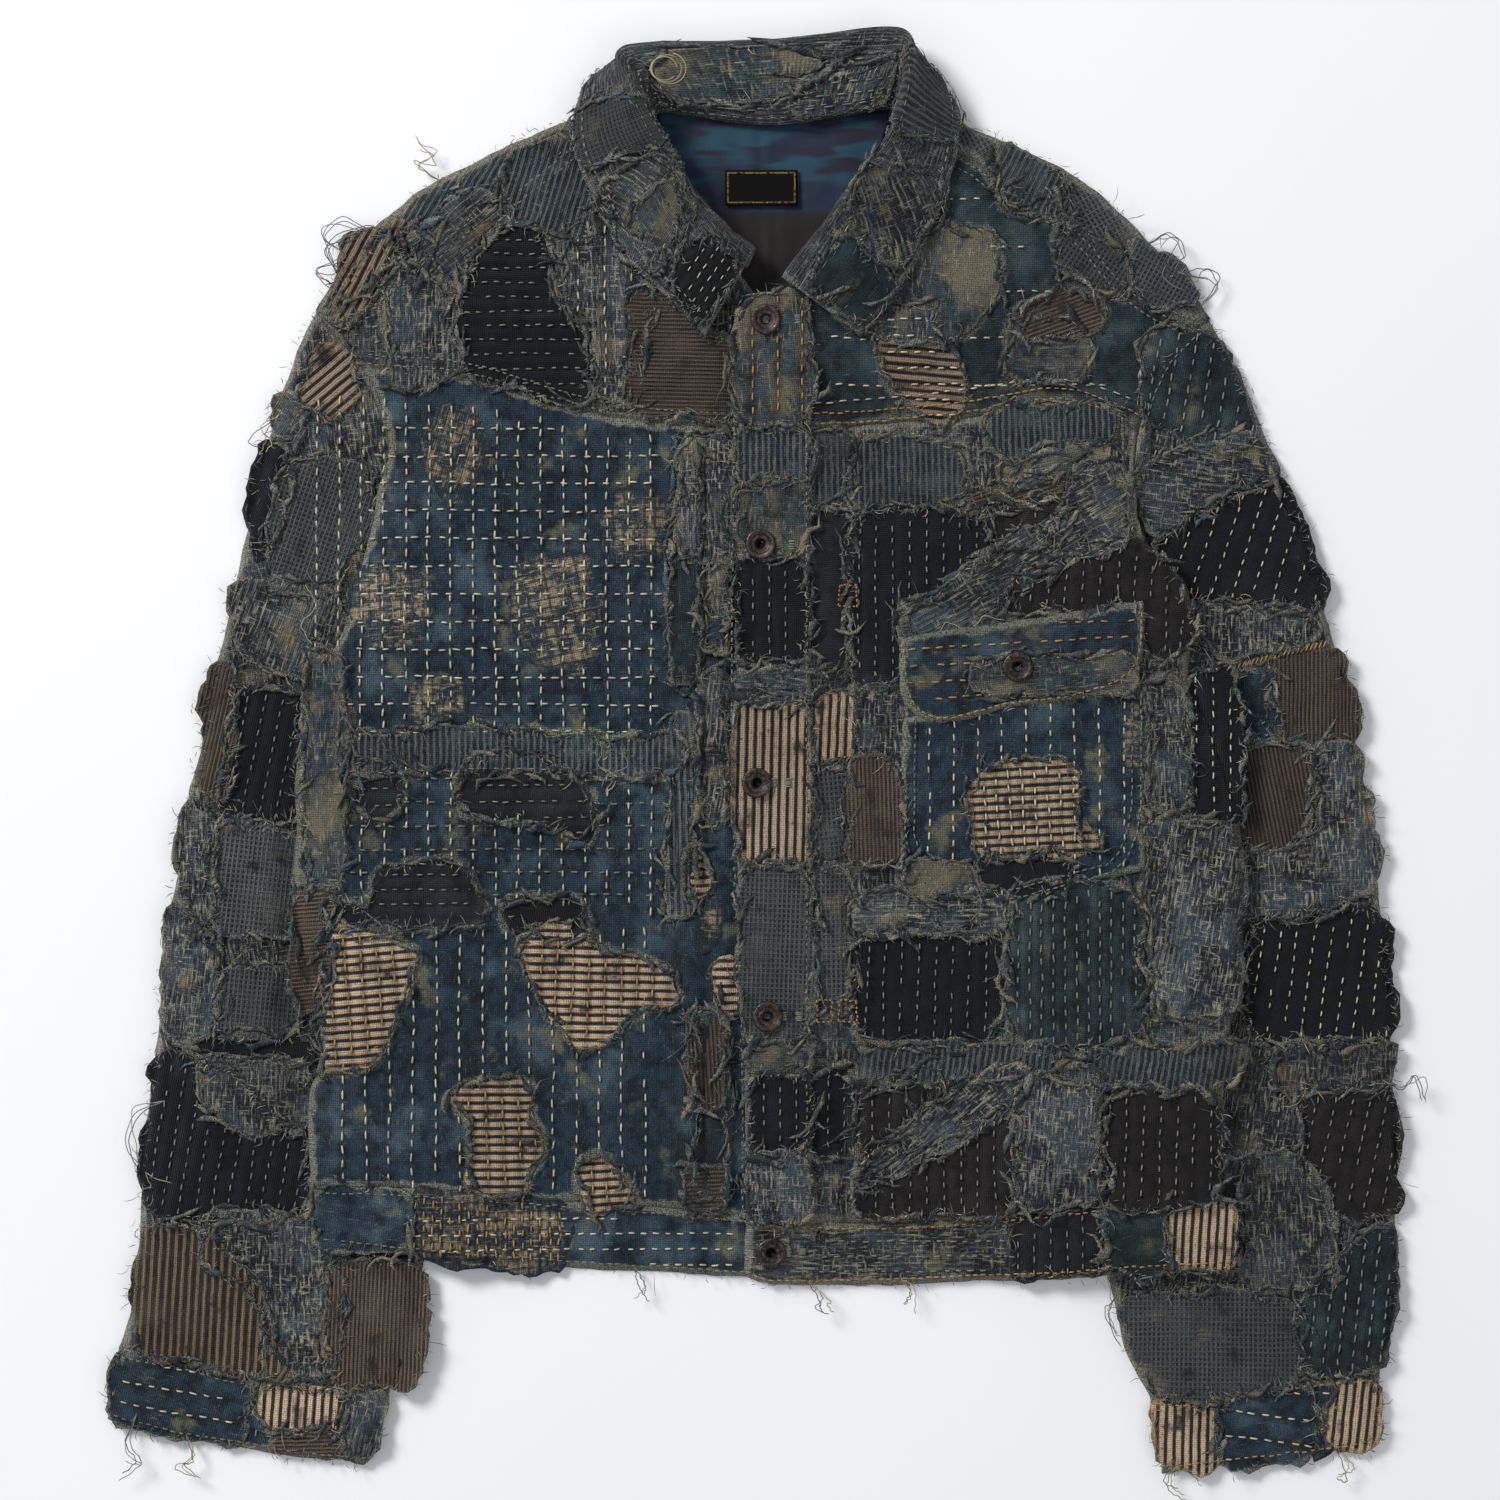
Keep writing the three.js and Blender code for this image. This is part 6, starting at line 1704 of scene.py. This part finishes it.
# Single seams: thread, dash, gap, face, sideways distances and line.
SEAM_ROWS = [
    ("ash", 3.4, 2.0, "collar", (0.0,), [(14, 85), (416, 85)]),
    ("ash", 3.0, 1.6, "collar", (0.0, 7.0), [(76, 8), (352, 8)]),
    ("sage", 3.6, 3.2, "collar", (0.0, 9.0, 18.0, 27.0), [(90, 20), (340, 20)]),
    ("tan", 3.4, 0.9, "yoke_l", (2.6, 8.4), [(-4, 182), (33, 181), (118, 188), (151, 194), (174, 198),
     (197, 191), (215, 182)]),
    ("cream", 4.2, 3.0, "yoke_l", (15.0,), [(36, 181), (118, 188), (174, 198), (210, 184)]),
    ("sage", 2.8, 1.2, "yoke_r", (2.6, 7.6), [(-216, 216), (-161, 213), (-108, 195), (-63, 185),
     (18, 182)]),
    ("sage", 2.8, 1.3, "strip_l", (-3.0, -8.0), [(76, 343), (112, 343), (154, 312), (184, 299), (216, 258),
     (247, 242)]),
    ("sage", 2.8, 1.3, "strip_r", (-3.0, -8.0), [(-236, 244), (-205, 258), (-170, 296), (-140, 312),
     (-104, 341)]),
    ("sage", 3.0, 1.4, "placket", (3.0,), [(-2, -256), (-2, -162), (-7, -64), (-8, 30), (-8, 100),
     (-6, 182), (-9, 246)]),
    ("sage", 3.0, 1.4, "placket", (-3.0,), [(34, -256), (34, 244)][::-1]),
    ("sage", 3.0, 1.2, "pocket", (3.0, 8.0), [(221, 34), (221, -65), (173, -78), (143, -87), (83, -82),
     (84, 18)][::-1]),
    ("tan", 3.0, 1.2, "flap", (3.0,), [(82, 62), (85, 27), (100, 16), (112, 16), (147, 26), (173, 27),
     (207, 36), (221, 52), (221, 84)]),
    ("sage", 3.2, 1.4, "hem_r", (4.0,), HEM_R),
    ("tan", 3.2, 1.2, "hem_l", (4.0,), HEM_L[::-1]),
    ("tan", 3.2, 1.3, "hem_l", (-3.0,), BAND_SEAM_L[::-1]),
    ("sage", 3.2, 1.3, "hem_r", (-3.0,), BAND_SEAM_R),
    ("sage", 3.2, 1.4, "cuff_r", (4.0,), CUFF_EDGE_R),
    ("tan", 3.2, 1.4, "cuff_l", (4.0,), CUFF_EDGE_L),
    ("sage", 3.0, 1.4, "cuff_r", (-3.4,), CUFF_SEAM_R),
    ("tan", 3.0, 1.4, "cuff_l", (-3.4,), CUFF_SEAM_L),
    ("sage", 3.0, 1.3, "sleeve_r", (-3.0,), ARMHOLE_R),
    ("sage", 3.0, 1.3, "sleeve_l", (3.0,), ARMHOLE_L),
]
BOXES = [("placket", (54, 88), 10, 12), ("placket", (54, -145), 10, 12), ("placket", (41, -145), 8, 12)]
WHIPPED_SEAM = [(272, 48), (296, 55), (322, 61)]
# Long loose threads: face, then points of a curve through which each runs.
LOOSE_THREADS = [
    ("strip_r", [(-176, 322), (-187, 330), (-177, 338), (-188, 343)]),
    ("strip_r", [(-212, 292), (-230, 301), (-241, 290), (-228, 279), (-244, 271), (-234, 262)]),
    ("strip_r", [(-206, 290), (-224, 292), (-238, 282), (-232, 270), (-240, 262)]),
    ("sleeve_r", [(-266, 190), (-276, 183), (-270, 174), (-277, 167)]),
    ("strip_l", [(222, 286), (236, 292), (244, 280), (236, 272), (256, 266)]),
    ("sleeve_l", [(252, 250), (262, 262), (256, 272), (248, 262)]),
    ("sleeve_l", [(354, -184), (366, -188), (372, -182), (377, -196)]),
    ("hem_l", [(199, -292), (203, -304), (200, -316), (205, -327)]),
    ("sleeve_r", [(-330, -196), (-344, -204), (-350, -220), (-344, -236), (-336, -240)]),
    ("hem_r", [(-66, -290), (-60, -300), (-66, -308)]),
    ("hem_l", [(32, -298), (40, -306), (36, -312), (44, -316)]),
    ("hem_l", [(84, -296), (90, -304), (86, -311)]),
    ("cuff_r", [(-346, -372), (-352, -388), (-346, -398), (-354, -406)]),
    ("cuff_r", [(-318, -384), (-314, -396), (-320, -402), (-312, -408)]),
    ("cuff_l", [(238, -402), (232, -410), (240, -414)]),
    ("cuff_l", [(330, -392), (336, -402), (330, -408)]),
    ("front_l", [(104, 62), (112, 70), (124, 66), (130, 76), (142, 72)]),
    ("sleeve_l", [(240, 60), (252, 70), (246, 80), (256, 88)]),
    ("front_r", [(-88, 8), (-80, 0), (-86, -8), (-76, -14), (-82, -24)]),
    ("front_r", [(-246, 60), (-252, 72), (-244, 82), (-250, 94)]),
]


def add_thread(bag, colour, paths, radius, region=""):
    """Adds dashes of one thread to the bag, laid on the collar if they belong there."""
    if len(paths):
        vertices, faces = tubes(paths, radius)
        bag.setdefault(colour, []).append((placed(region, vertices), faces))


THREADS = {"cream": (206, 198, 170), "ash": (132, 134, 132), "tan": (176, 140, 84), "sage": (126, 130, 116)}


def build_stitches():
    """All the sashiko rows, seam rows, box stitches, buttonholes and the whipped seam, joined by thread
    colour."""
    rng = np.random.default_rng(sizes().seed + 1)
    radius = sizes().thread / MM
    bag = {}
    covered, hidden = {}, {}
    for region, order, kind, _, stitches, _, points, own in all_patches():
        covered.setdefault(region, []).append(points)
        if kind != "plaid":
            hidden.setdefault(region, []).append(points)
    for region, order, kind, _, stitches, _, points, own in all_patches():
        if stitches is None:
            continue
        thread, angle, spacing = stitches
        later = covered[region][order + 1:]
        dash, gap = (3.6, 3.2) if kind in DARK else (4.6, 3.0)
        lift = 1.15 + STEP * order
        add_thread(bag, thread, stitch_rows(points, angle, spacing, dash, gap, FACES[region], lift, own,
                                            skip=later), radius * (0.8 if kind in DARK else 1.0), region)
    for thread, angle, spacing, dash, gap, region, corners in PANEL_ROWS:
        lift = 0.7 if region == "front_r" else 0.25
        add_thread(bag, thread, stitch_rows(corners, angle, spacing, dash, gap, FACES[region], lift, rng,
                                            skip=hidden.get(region, [])), radius, region)
    for thread, dash, gap, region, sideways, line in SEAM_ROWS:
        for distance in sideways:
            add_thread(bag, thread, line_stitches(shifted(line, distance), dash, gap, FACES[region], 0.9,
                                                  rng),
                       radius * 0.85, region)
    for region, centre, width, height in BOXES:
        cx, cy = centre
        corners = [(cx - width / 2, cy - height / 2), (cx + width / 2, cy - height / 2),
                   (cx + width / 2, cy + height / 2), (cx - width / 2, cy + height / 2),
                   (cx - width / 2, cy - height / 2)]
        for a, b in zip(corners[:-1], corners[1:]):
            add_thread(bag, "tan", line_stitches([a, b], 1.6, 0.7, FACES[region], 1.6, rng), radius)
    for x, y in FRONT_BUTTONS:
        face = FACES["placket"] if y > -200 else FACES["hem_l"]
        for offset in np.linspace(-1.9, 1.9, 5):
            add_thread(bag, "sage", line_stitches([(x + 7, y + offset), (x + 22, y + offset * 1.1)], 4.6, 0.5,
                                                  face, 1.1, rng), radius)
    whipped = resample(WHIPPED_SEAM, 21)
    add_thread(bag, "tan", dashes(whipped[:, 0], whipped[:, 1], np.full(21, 0.9), np.full(21, 1.9),
                                  FACES["sleeve_l"], 1.6), radius * 0.8)
    for colour, parts in bag.items():
        vertices, faces = merge(parts)
        piece = make_object(f"Stitches_{colour.title()}", vertices, faces,
                            thread_material(f"{colour} thread", srgb(*THREADS[colour])))
        declare(piece, [], "grey_blue_cloth")


def fibres_along(outline, face, lift, density, length, spread, rng, outward=0.5):
    """Curled fibres that start along an outline and lean out of it or back over it: four points each."""
    long = length_of(outline)
    count = int(long * density)
    if count < 2:
        return np.zeros((0, 4, 3))
    line = resample(outline, count)
    normal = outward_of(line)
    way = np.where(rng.uniform(size=count) < outward, 1.0, -1.0)
    start = line + rng.normal(0, 0.9, (count, 2))
    lean = np.arctan2(normal[:, 1] * way, normal[:, 0] * way) + rng.normal(0, spread, count)
    bend = rng.normal(0, 1.15, count)
    size = length * rng.lognormal(0, 0.45, count)
    steps = np.array([0.0, 0.34, 0.67, 1.0])
    angles = lean[:, None] + bend[:, None] * steps
    moves = np.stack([np.cos(angles), np.sin(angles)], axis=-1) * (size / 3)[:, None, None]
    places = start[:, None] + np.concatenate([np.zeros((count, 1, 2)), np.cumsum(moves[:, :-1], axis=1)],
                                             axis=1)
    loft = rng.uniform(0.2, 2.0, count)[:, None] * np.sin(math.pi * np.minimum(steps + 0.12, 1.0))
    height = face(places[..., 0], places[..., 1]) + lift + loft
    return np.concatenate([places, np.maximum(height, 0.4)[..., None]], axis=-1)


# Frayed edges in the order that their fibres are drawn: piece, line, face and how thickly they fray.
SLEEVES, BODY = "Frays_Sleeves", "Frays_Body"
FRAYED_EDGES = [
    (SLEEVES, OUTER_L, "sleeve_l", 0.9), (SLEEVES, OUTER_R[::-1], "sleeve_r", 0.9),
    (SLEEVES, INNER_L[1:-1], "sleeve_l", 0.5), (SLEEVES, INNER_R[1:-1][::-1], "sleeve_r", 0.5),
    (SLEEVES, CUFF_EDGE_L, "cuff_l", 1.0), (SLEEVES, CUFF_EDGE_R[::-1], "cuff_r", 1.0),
    (SLEEVES, SHOULDER_L, "strip_l", 1.0), (SLEEVES, SHOULDER_R[::-1], "strip_r", 1.0),
    (BODY, SIDE_L[::-1], "front_l", 1.0), (BODY, SIDE_R, "front_r", 0.8),
    (BODY, HEM_L[::-1], "hem_l", 0.8), (BODY, HEM_R, "hem_r", 0.7),
    (BODY, FRONT_EDGE_L, "placket", 0.8), (BODY, PLACKET_RIGHT[::-1], "placket", 0.9),
    (BODY, POCKET_EDGE, "pocket", 0.4), (BODY, FLAP_EDGE, "flap", 0.5),
    (BODY, ARMHOLE_L, "sleeve_l", 0.8), (BODY, ARMHOLE_R, "sleeve_r", 0.8),
    (SLEEVES, [(4, 90), (426, 90)], "collar", 1.6), (SLEEVES, [(2, 40), (4, 90)], "collar", 1.6),
    (SLEEVES, [(428, 40), (426, 90)], "collar", 1.6),
    (BODY, STRIP_SEAM_L, "strip_l", 0.6), (BODY, STRIP_SEAM_R, "strip_r", 0.6),
]
FIBRES_PER_PIECE = 5900


def build_frays():
    """Fibres along every torn edge, seam and silhouette, joined into pieces under the triangle limit."""
    rng = np.random.default_rng(sizes().seed + 2)
    density = sizes().fray_density
    groups = {BODY: [], SLEEVES: []}
    for region, order, kind, _, _, _, points, own in all_patches():
        if kind == "plaid":
            continue
        group = SLEEVES if region[:3] in ("sle", "cuf", "str", "col") else BODY
        pale = 0.62 if kind in DARK else 0.5
        paths = fibres_along(torn_line(points), FACES[region], 1.0 + STEP * order, density * 3.6, 3.6, 0.9,
                             own,
                             outward=0.35 if kind in DARK else 0.6)
        paths = placed(region, paths.reshape(-1, 3)).reshape(-1, 4, 3)
        groups[group].append((paths, np.clip(own.normal(pale, 0.20, len(paths)), 0, 1)))
    for group, line, region, amount in FRAYED_EDGES:
        line = resample(rounded(line), max(8, int(length_of(line) / 4)))
        paths = fibres_along(line, FACES[region], 0.6, density * 1.9 * amount, 2.9, 1.0, rng, 0.5)
        paths = placed(region, paths.reshape(-1, 3)).reshape(-1, 4, 3)
        groups[group].append((paths, np.clip(rng.normal(0.5, 0.22, len(paths)), 0, 1)))
    for name, parts in groups.items():
        paths = np.concatenate([p for p, _ in parts])
        picks = np.concatenate([c for _, c in parts])
        if len(paths) > FIBRES_PER_PIECE:
            chosen = np.sort(rng.permutation(len(paths))[:FIBRES_PER_PIECE])
            paths, picks = paths[chosen], picks[chosen]
        vertices, faces = tubes(paths, sizes().fibre / MM * rng.uniform(0.7, 1.3, len(paths)), 3)
        piece = make_object(name, vertices, faces, fibre_material(), None, [("pick", np.repeat(picks, 12))])
        declare(piece, [], "grey_blue_cloth")


def within(x, y):
    """Where points lie on the garment, at least 2 mm from its silhouette."""
    right = OUTER_R + CUFF_EDGE_R + INNER_R
    left = OUTER_L + CUFF_EDGE_L[::-1] + INNER_L
    return np.any([inside_polygon(x, y, outline, 2.0) for outline in (BODY_OUTLINE, right, left)], axis=0)


def shreds_along(outline, face, lift, rng, gap=8.6):
    """Torn strips that lie roughly along an outline: six points each, widest in the middle, wavering."""
    count = max(3, int(length_of(outline) / gap))
    line = resample(outline, count)
    normal = outward_of(line)
    lean = np.arctan2(normal[:, 0], -normal[:, 1]) + rng.normal(0, 0.33, count)
    size = 16 * rng.lognormal(0, 0.35, count)
    steps = np.linspace(-0.5, 0.5, 6)
    angles = lean[:, None] + rng.normal(0, 0.5, count)[:, None] * steps + rng.normal(0, 0.16, (count, 6))
    x = line[:, :1] + np.cos(angles) * size[:, None] * steps + rng.normal(1.2, 1.3, (count, 1)) * normal[:,
                                                                                                         :1]
    y = line[:, 1:] + np.sin(angles) * size[:, None] * steps + rng.normal(1.2, 1.3, (count, 1)) * normal[:,
                                                                                                         1:]
    width = rng.uniform(0.5, 1.9, (count, 1)) * np.clip(rng.normal(1, 0.4, (count, 6)), 0.25, 2.0)
    width *= np.sqrt(np.maximum(1 - (2 * steps) ** 2, 0.06))
    loft = rng.uniform(0, 1.5, (count, 1)) + 0.4 * rng.normal(0, 1, (count, 6))
    height = np.maximum(face(x, y) + lift + loft, 0.6)
    kept = within(x, y).all(axis=1) if face is not flat_face else np.ones(count, dtype=bool)
    return np.stack([x, y, height], axis=-1)[kept], width[kept]


SHRED_CLOTHS = {"collar": ("collar", "lined", "indigo", "collar"),
                "front_r": ("indigo", "faded", "indigo", "lined"), "pleat_r": ("indigo", "faded"),
                "hem_r": ("indigo", "faded")}


def build_shreds():
    """Torn rims round the patches: strips of the neighbouring cloths, joined by cloth."""
    joined = {}
    for region, order, kind, _, _, _, points, own in all_patches():
        if kind == "plaid":
            continue
        paths, width = shreds_along(torn_line(points), FACES[region], 0.9 + STEP * order, own)
        kinds = SHRED_CLOTHS.get(region, ("slub", "faded", "slub", "indigo", "slub", "teal"))
        chosen = own.integers(0, len(kinds), len(paths))
        for k, cloth in enumerate(kinds):
            picked = chosen == k
            if not picked.any():
                continue
            vertices, faces = tubes(paths[picked], width[picked], 4, 0.28)
            levels = np.repeat(own.uniform(0.6, 1.3, picked.sum()), 24)
            uv = pattern_uv(vertices[:, 0], vertices[:, 1], own.uniform(0, 90), own.uniform(0, 9, 2))
            vertices = placed(region, vertices)
            joined.setdefault(cloth, []).append((vertices, faces, uv, np.full(len(vertices), 4.5), levels))
    for kind, parts in joined.items():
        vertices, faces, uv, edge, tone = merge(parts)
        piece = make_object(f"Torn_Rims_{kind.title()}", vertices, faces, cloth_material(kind), uv,
                            [("edge", edge), ("tone", tone)])
        declare(piece, [], CLOTHS[kind]["slot"])


def build_loose_threads():
    """Long pulled threads, each a spline through its own points with a fine wave along it."""
    rng = np.random.default_rng(sizes().seed + 3)
    parts, picks = [], []
    for region, points in LOOSE_THREADS:
        for copy in range(3):
            shaken = np.asarray(points, dtype=float) + rng.normal(0, 2.0 * copy, (len(points), 2))
            shaken[0] = points[0]
            line = spline(shaken, np.linspace(0, 1, 30))
            line += 0.35 * np.stack([np.sin(np.arange(30) * 1.3 + copy), np.cos(np.arange(30) * 1.1)],
                                    axis=-1)
            height = np.maximum(FACES[region](line[:, 0], line[:, 1]), 0.8) + 1.2 + np.abs(rng.normal(0, 0.8))
            parts.append(tubes(np.concatenate([line, height[:, None]], axis=-1)[None],
                               sizes().fibre / MM * 1.25, 4))
            picks.append(np.full(120, rng.uniform(0.3, 0.95)))
    ring = np.linspace(0, 1, 40)
    for copy in range(3):
        angle = ring * 2 * math.pi * 0.9 + copy
        x = -49 + (7.5 + copy) * np.cos(angle) + 1.5 * copy
        y = 381 + (6.5 + copy) * np.sin(angle)
        parts.append(tubes(np.stack([x, y, 27.5 + 1.5 * np.sin(angle * 2)], axis=-1)[None], 0.3, 4))
        picks.append(np.full(160, 0.8))
    vertices, faces = merge(parts)
    piece = make_object("Loose_Threads", vertices, faces, fibre_material(), None,
                        [("pick", np.concatenate(picks))])
    declare(piece, [], "grey_blue_cloth")


# ---- stage ----
CAMERA_HEIGHT = 2.0
CAMERA_CENTRE = (-0.00085, 0.0014)
LENS = 85.0


def area_light(name, place, size, power, colour=(1, 1, 1)):
    """A round light that points at the middle of the table."""
    light = bpy.data.lights.new(name, "AREA")
    light.shape = "DISK"
    light.size = size
    light.energy = power
    light.color = colour
    holder = bpy.data.objects.new(name, light)
    holder.location = place
    x, y, z = place
    holder.rotation_euler = (math.atan2(math.hypot(x, y), z), 0.0, math.atan2(-y, -x) - math.pi / 2)
    bpy.context.scene.collection.objects.link(holder)
    return holder


def stage():
    """A pale table, a soft key from the upper left, a weak fill, and a camera straight above."""
    scene = bpy.context.scene
    scene.view_settings.view_transform = "Standard"
    mesh = bpy.data.meshes.new("Floor")
    half = 4.0
    mesh.from_pydata([(-half, -half, 0), (half, -half, 0), (half, half, 0), (-half, half, 0)], [],
                     [(0, 1, 2, 3)])
    paper, graph, shader = new_material("pale table", 1.0, 0.0)
    place = paper.node_tree.nodes.new("ShaderNodeTexCoord").outputs["Object"]
    shade = graph.noise(place, 2.0, 2.0, 0.5)
    graph.feed(shader.inputs["Base Color"], graph.mix(graph.ease(shade, 0.3, 0.7), (0.815, 0.82, 0.845, 1),
                                                      (0.835, 0.837, 0.86, 1)))
    mesh.materials.append(paper)
    floor = bpy.data.objects.new("Floor", mesh)
    scene.collection.objects.link(floor)
    world = bpy.data.worlds.new("Soft room")
    world.use_nodes = True
    world.node_tree.nodes["Background"].inputs["Color"].default_value = (0.93, 0.96, 1.0, 1)
    world.node_tree.nodes["Background"].inputs["Strength"].default_value = 0.50
    scene.world = world
    key = area_light("Key", (-2.6, 2.25, 2.7), 1.4, 186.0, (1.0, 0.985, 0.965))
    fill = area_light("Fill", (1.4, -1.2, 1.9), 1.6, 6.0)
    camera_data = bpy.data.cameras.new("Camera")
    camera_data.lens = LENS
    camera_data.sensor_width = 36.0
    camera = bpy.data.objects.new("Camera", camera_data)
    camera.location = (*CAMERA_CENTRE, CAMERA_HEIGHT)
    scene.collection.objects.link(camera)
    scene.camera = camera


# ---- operators ----
class JACKET_OT_stage(bpy.types.Operator):
    """Adds the table, lights and camera"""
    bl_idname = "jacket.stage"
    bl_label = "Stage"
    bl_options = {"REGISTER", "UNDO"}

    def execute(self, context):
        stage()
        return {"FINISHED"}


class JACKET_OT_under(bpy.types.Operator):
    """Builds the back and the under halves of the sleeves and cuffs"""
    bl_idname = "jacket.under"
    bl_label = "Back and undersides"
    bl_options = {"REGISTER", "UNDO"}

    def execute(self, context):
        under_panels()
        return {"FINISHED"}


class JACKET_OT_body(bpy.types.Operator):
    """Builds the fronts, yokes, shoulder strips and waistbands"""
    bl_idname = "jacket.body"
    bl_label = "Body"
    bl_options = {"REGISTER", "UNDO"}

    def execute(self, context):
        body_panels()
        waistband()
        return {"FINISHED"}


class JACKET_OT_sleeves(bpy.types.Operator):
    """Builds the upper halves of the sleeves and cuffs"""
    bl_idname = "jacket.sleeves"
    bl_label = "Sleeves and cuffs"
    bl_options = {"REGISTER", "UNDO"}

    def execute(self, context):
        sleeves_and_cuffs()
        return {"FINISHED"}


class JACKET_OT_placket(bpy.types.Operator):
    """Builds the button band, the chest pocket and its flap"""
    bl_idname = "jacket.placket"
    bl_label = "Placket and pocket"
    bl_options = {"REGISTER", "UNDO"}

    def execute(self, context):
        placket_and_pocket()
        return {"FINISHED"}


class JACKET_OT_collar(bpy.types.Operator):
    """Builds the folded collar"""
    bl_idname = "jacket.collar"
    bl_label = "Collar"
    bl_options = {"REGISTER", "UNDO"}

    def execute(self, context):
        collar()
        return {"FINISHED"}


class JACKET_OT_lining(bpy.types.Operator):
    """Builds the neck facing and the bare label"""
    bl_idname = "jacket.lining"
    bl_label = "Neck facing and label"
    bl_options = {"REGISTER", "UNDO"}

    def execute(self, context):
        lining_and_label()
        return {"FINISHED"}


class JACKET_OT_buttons(bpy.types.Operator):
    """Builds the six metal buttons"""
    bl_idname = "jacket.buttons"
    bl_label = "Buttons"
    bl_options = {"REGISTER", "UNDO"}

    def execute(self, context):
        buttons()
        return {"FINISHED"}


class JACKET_OT_patches(bpy.types.Operator):
    """Builds the torn patches of every cloth"""
    bl_idname = "jacket.patches"
    bl_label = "Patches"
    bl_options = {"REGISTER", "UNDO"}

    def execute(self, context):
        build_patches()
        build_shreds()
        return {"FINISHED"}


class JACKET_OT_stitches(bpy.types.Operator):
    """Sews the running stitches, seam rows and buttonholes"""
    bl_idname = "jacket.stitches"
    bl_label = "Stitches"
    bl_options = {"REGISTER", "UNDO"}

    def execute(self, context):
        build_stitches()
        return {"FINISHED"}


class JACKET_OT_frays(bpy.types.Operator):
    """Frays the torn edges and adds the long loose threads"""
    bl_idname = "jacket.frays"
    bl_label = "Frays and loose threads"
    bl_options = {"REGISTER", "UNDO"}

    def execute(self, context):
        build_frays()
        build_loose_threads()
        return {"FINISHED"}


OPERATORS = (JACKET_OT_stage, JACKET_OT_under, JACKET_OT_body, JACKET_OT_sleeves, JACKET_OT_placket,
             JACKET_OT_collar, JACKET_OT_lining, JACKET_OT_buttons, JACKET_OT_patches, JACKET_OT_stitches,
             JACKET_OT_frays)


class JACKET_PT_panel(bpy.types.Panel):
    """Settings and building steps of the jacket"""
    bl_idname = "JACKET_PT_panel"
    bl_label = "Patched jacket"
    bl_space_type = "VIEW_3D"
    bl_region_type = "UI"
    bl_category = "Jacket"

    def draw(self, context):
        for settings in (context.scene.jacket_sizes, context.scene.jacket_colours):
            box = self.layout.box()
            for key in settings.__annotations__:
                box.prop(settings, key)
        for operator in OPERATORS:
            self.layout.operator(operator.bl_idname)


CLASSES = (JacketSizes, JacketColours, *OPERATORS, JACKET_PT_panel)


def register():
    for item in CLASSES:
        bpy.utils.register_class(item)
    bpy.types.Scene.jacket_sizes = PointerProperty(type=JacketSizes)
    bpy.types.Scene.jacket_colours = PointerProperty(type=JacketColours)


def unregister():
    del bpy.types.Scene.jacket_colours
    del bpy.types.Scene.jacket_sizes
    for item in reversed(CLASSES):
        bpy.utils.unregister_class(item)


def main():
    register()
    bpy.ops.jacket.stage()
    bpy.ops.jacket.under()
    bpy.ops.jacket.body()
    bpy.ops.jacket.sleeves()
    bpy.ops.jacket.placket()
    bpy.ops.jacket.collar()
    bpy.ops.jacket.lining()
    bpy.ops.jacket.buttons()
    bpy.ops.jacket.patches()
    bpy.ops.jacket.stitches()
    bpy.ops.jacket.frays()


if __name__ == "__main__":
    main()
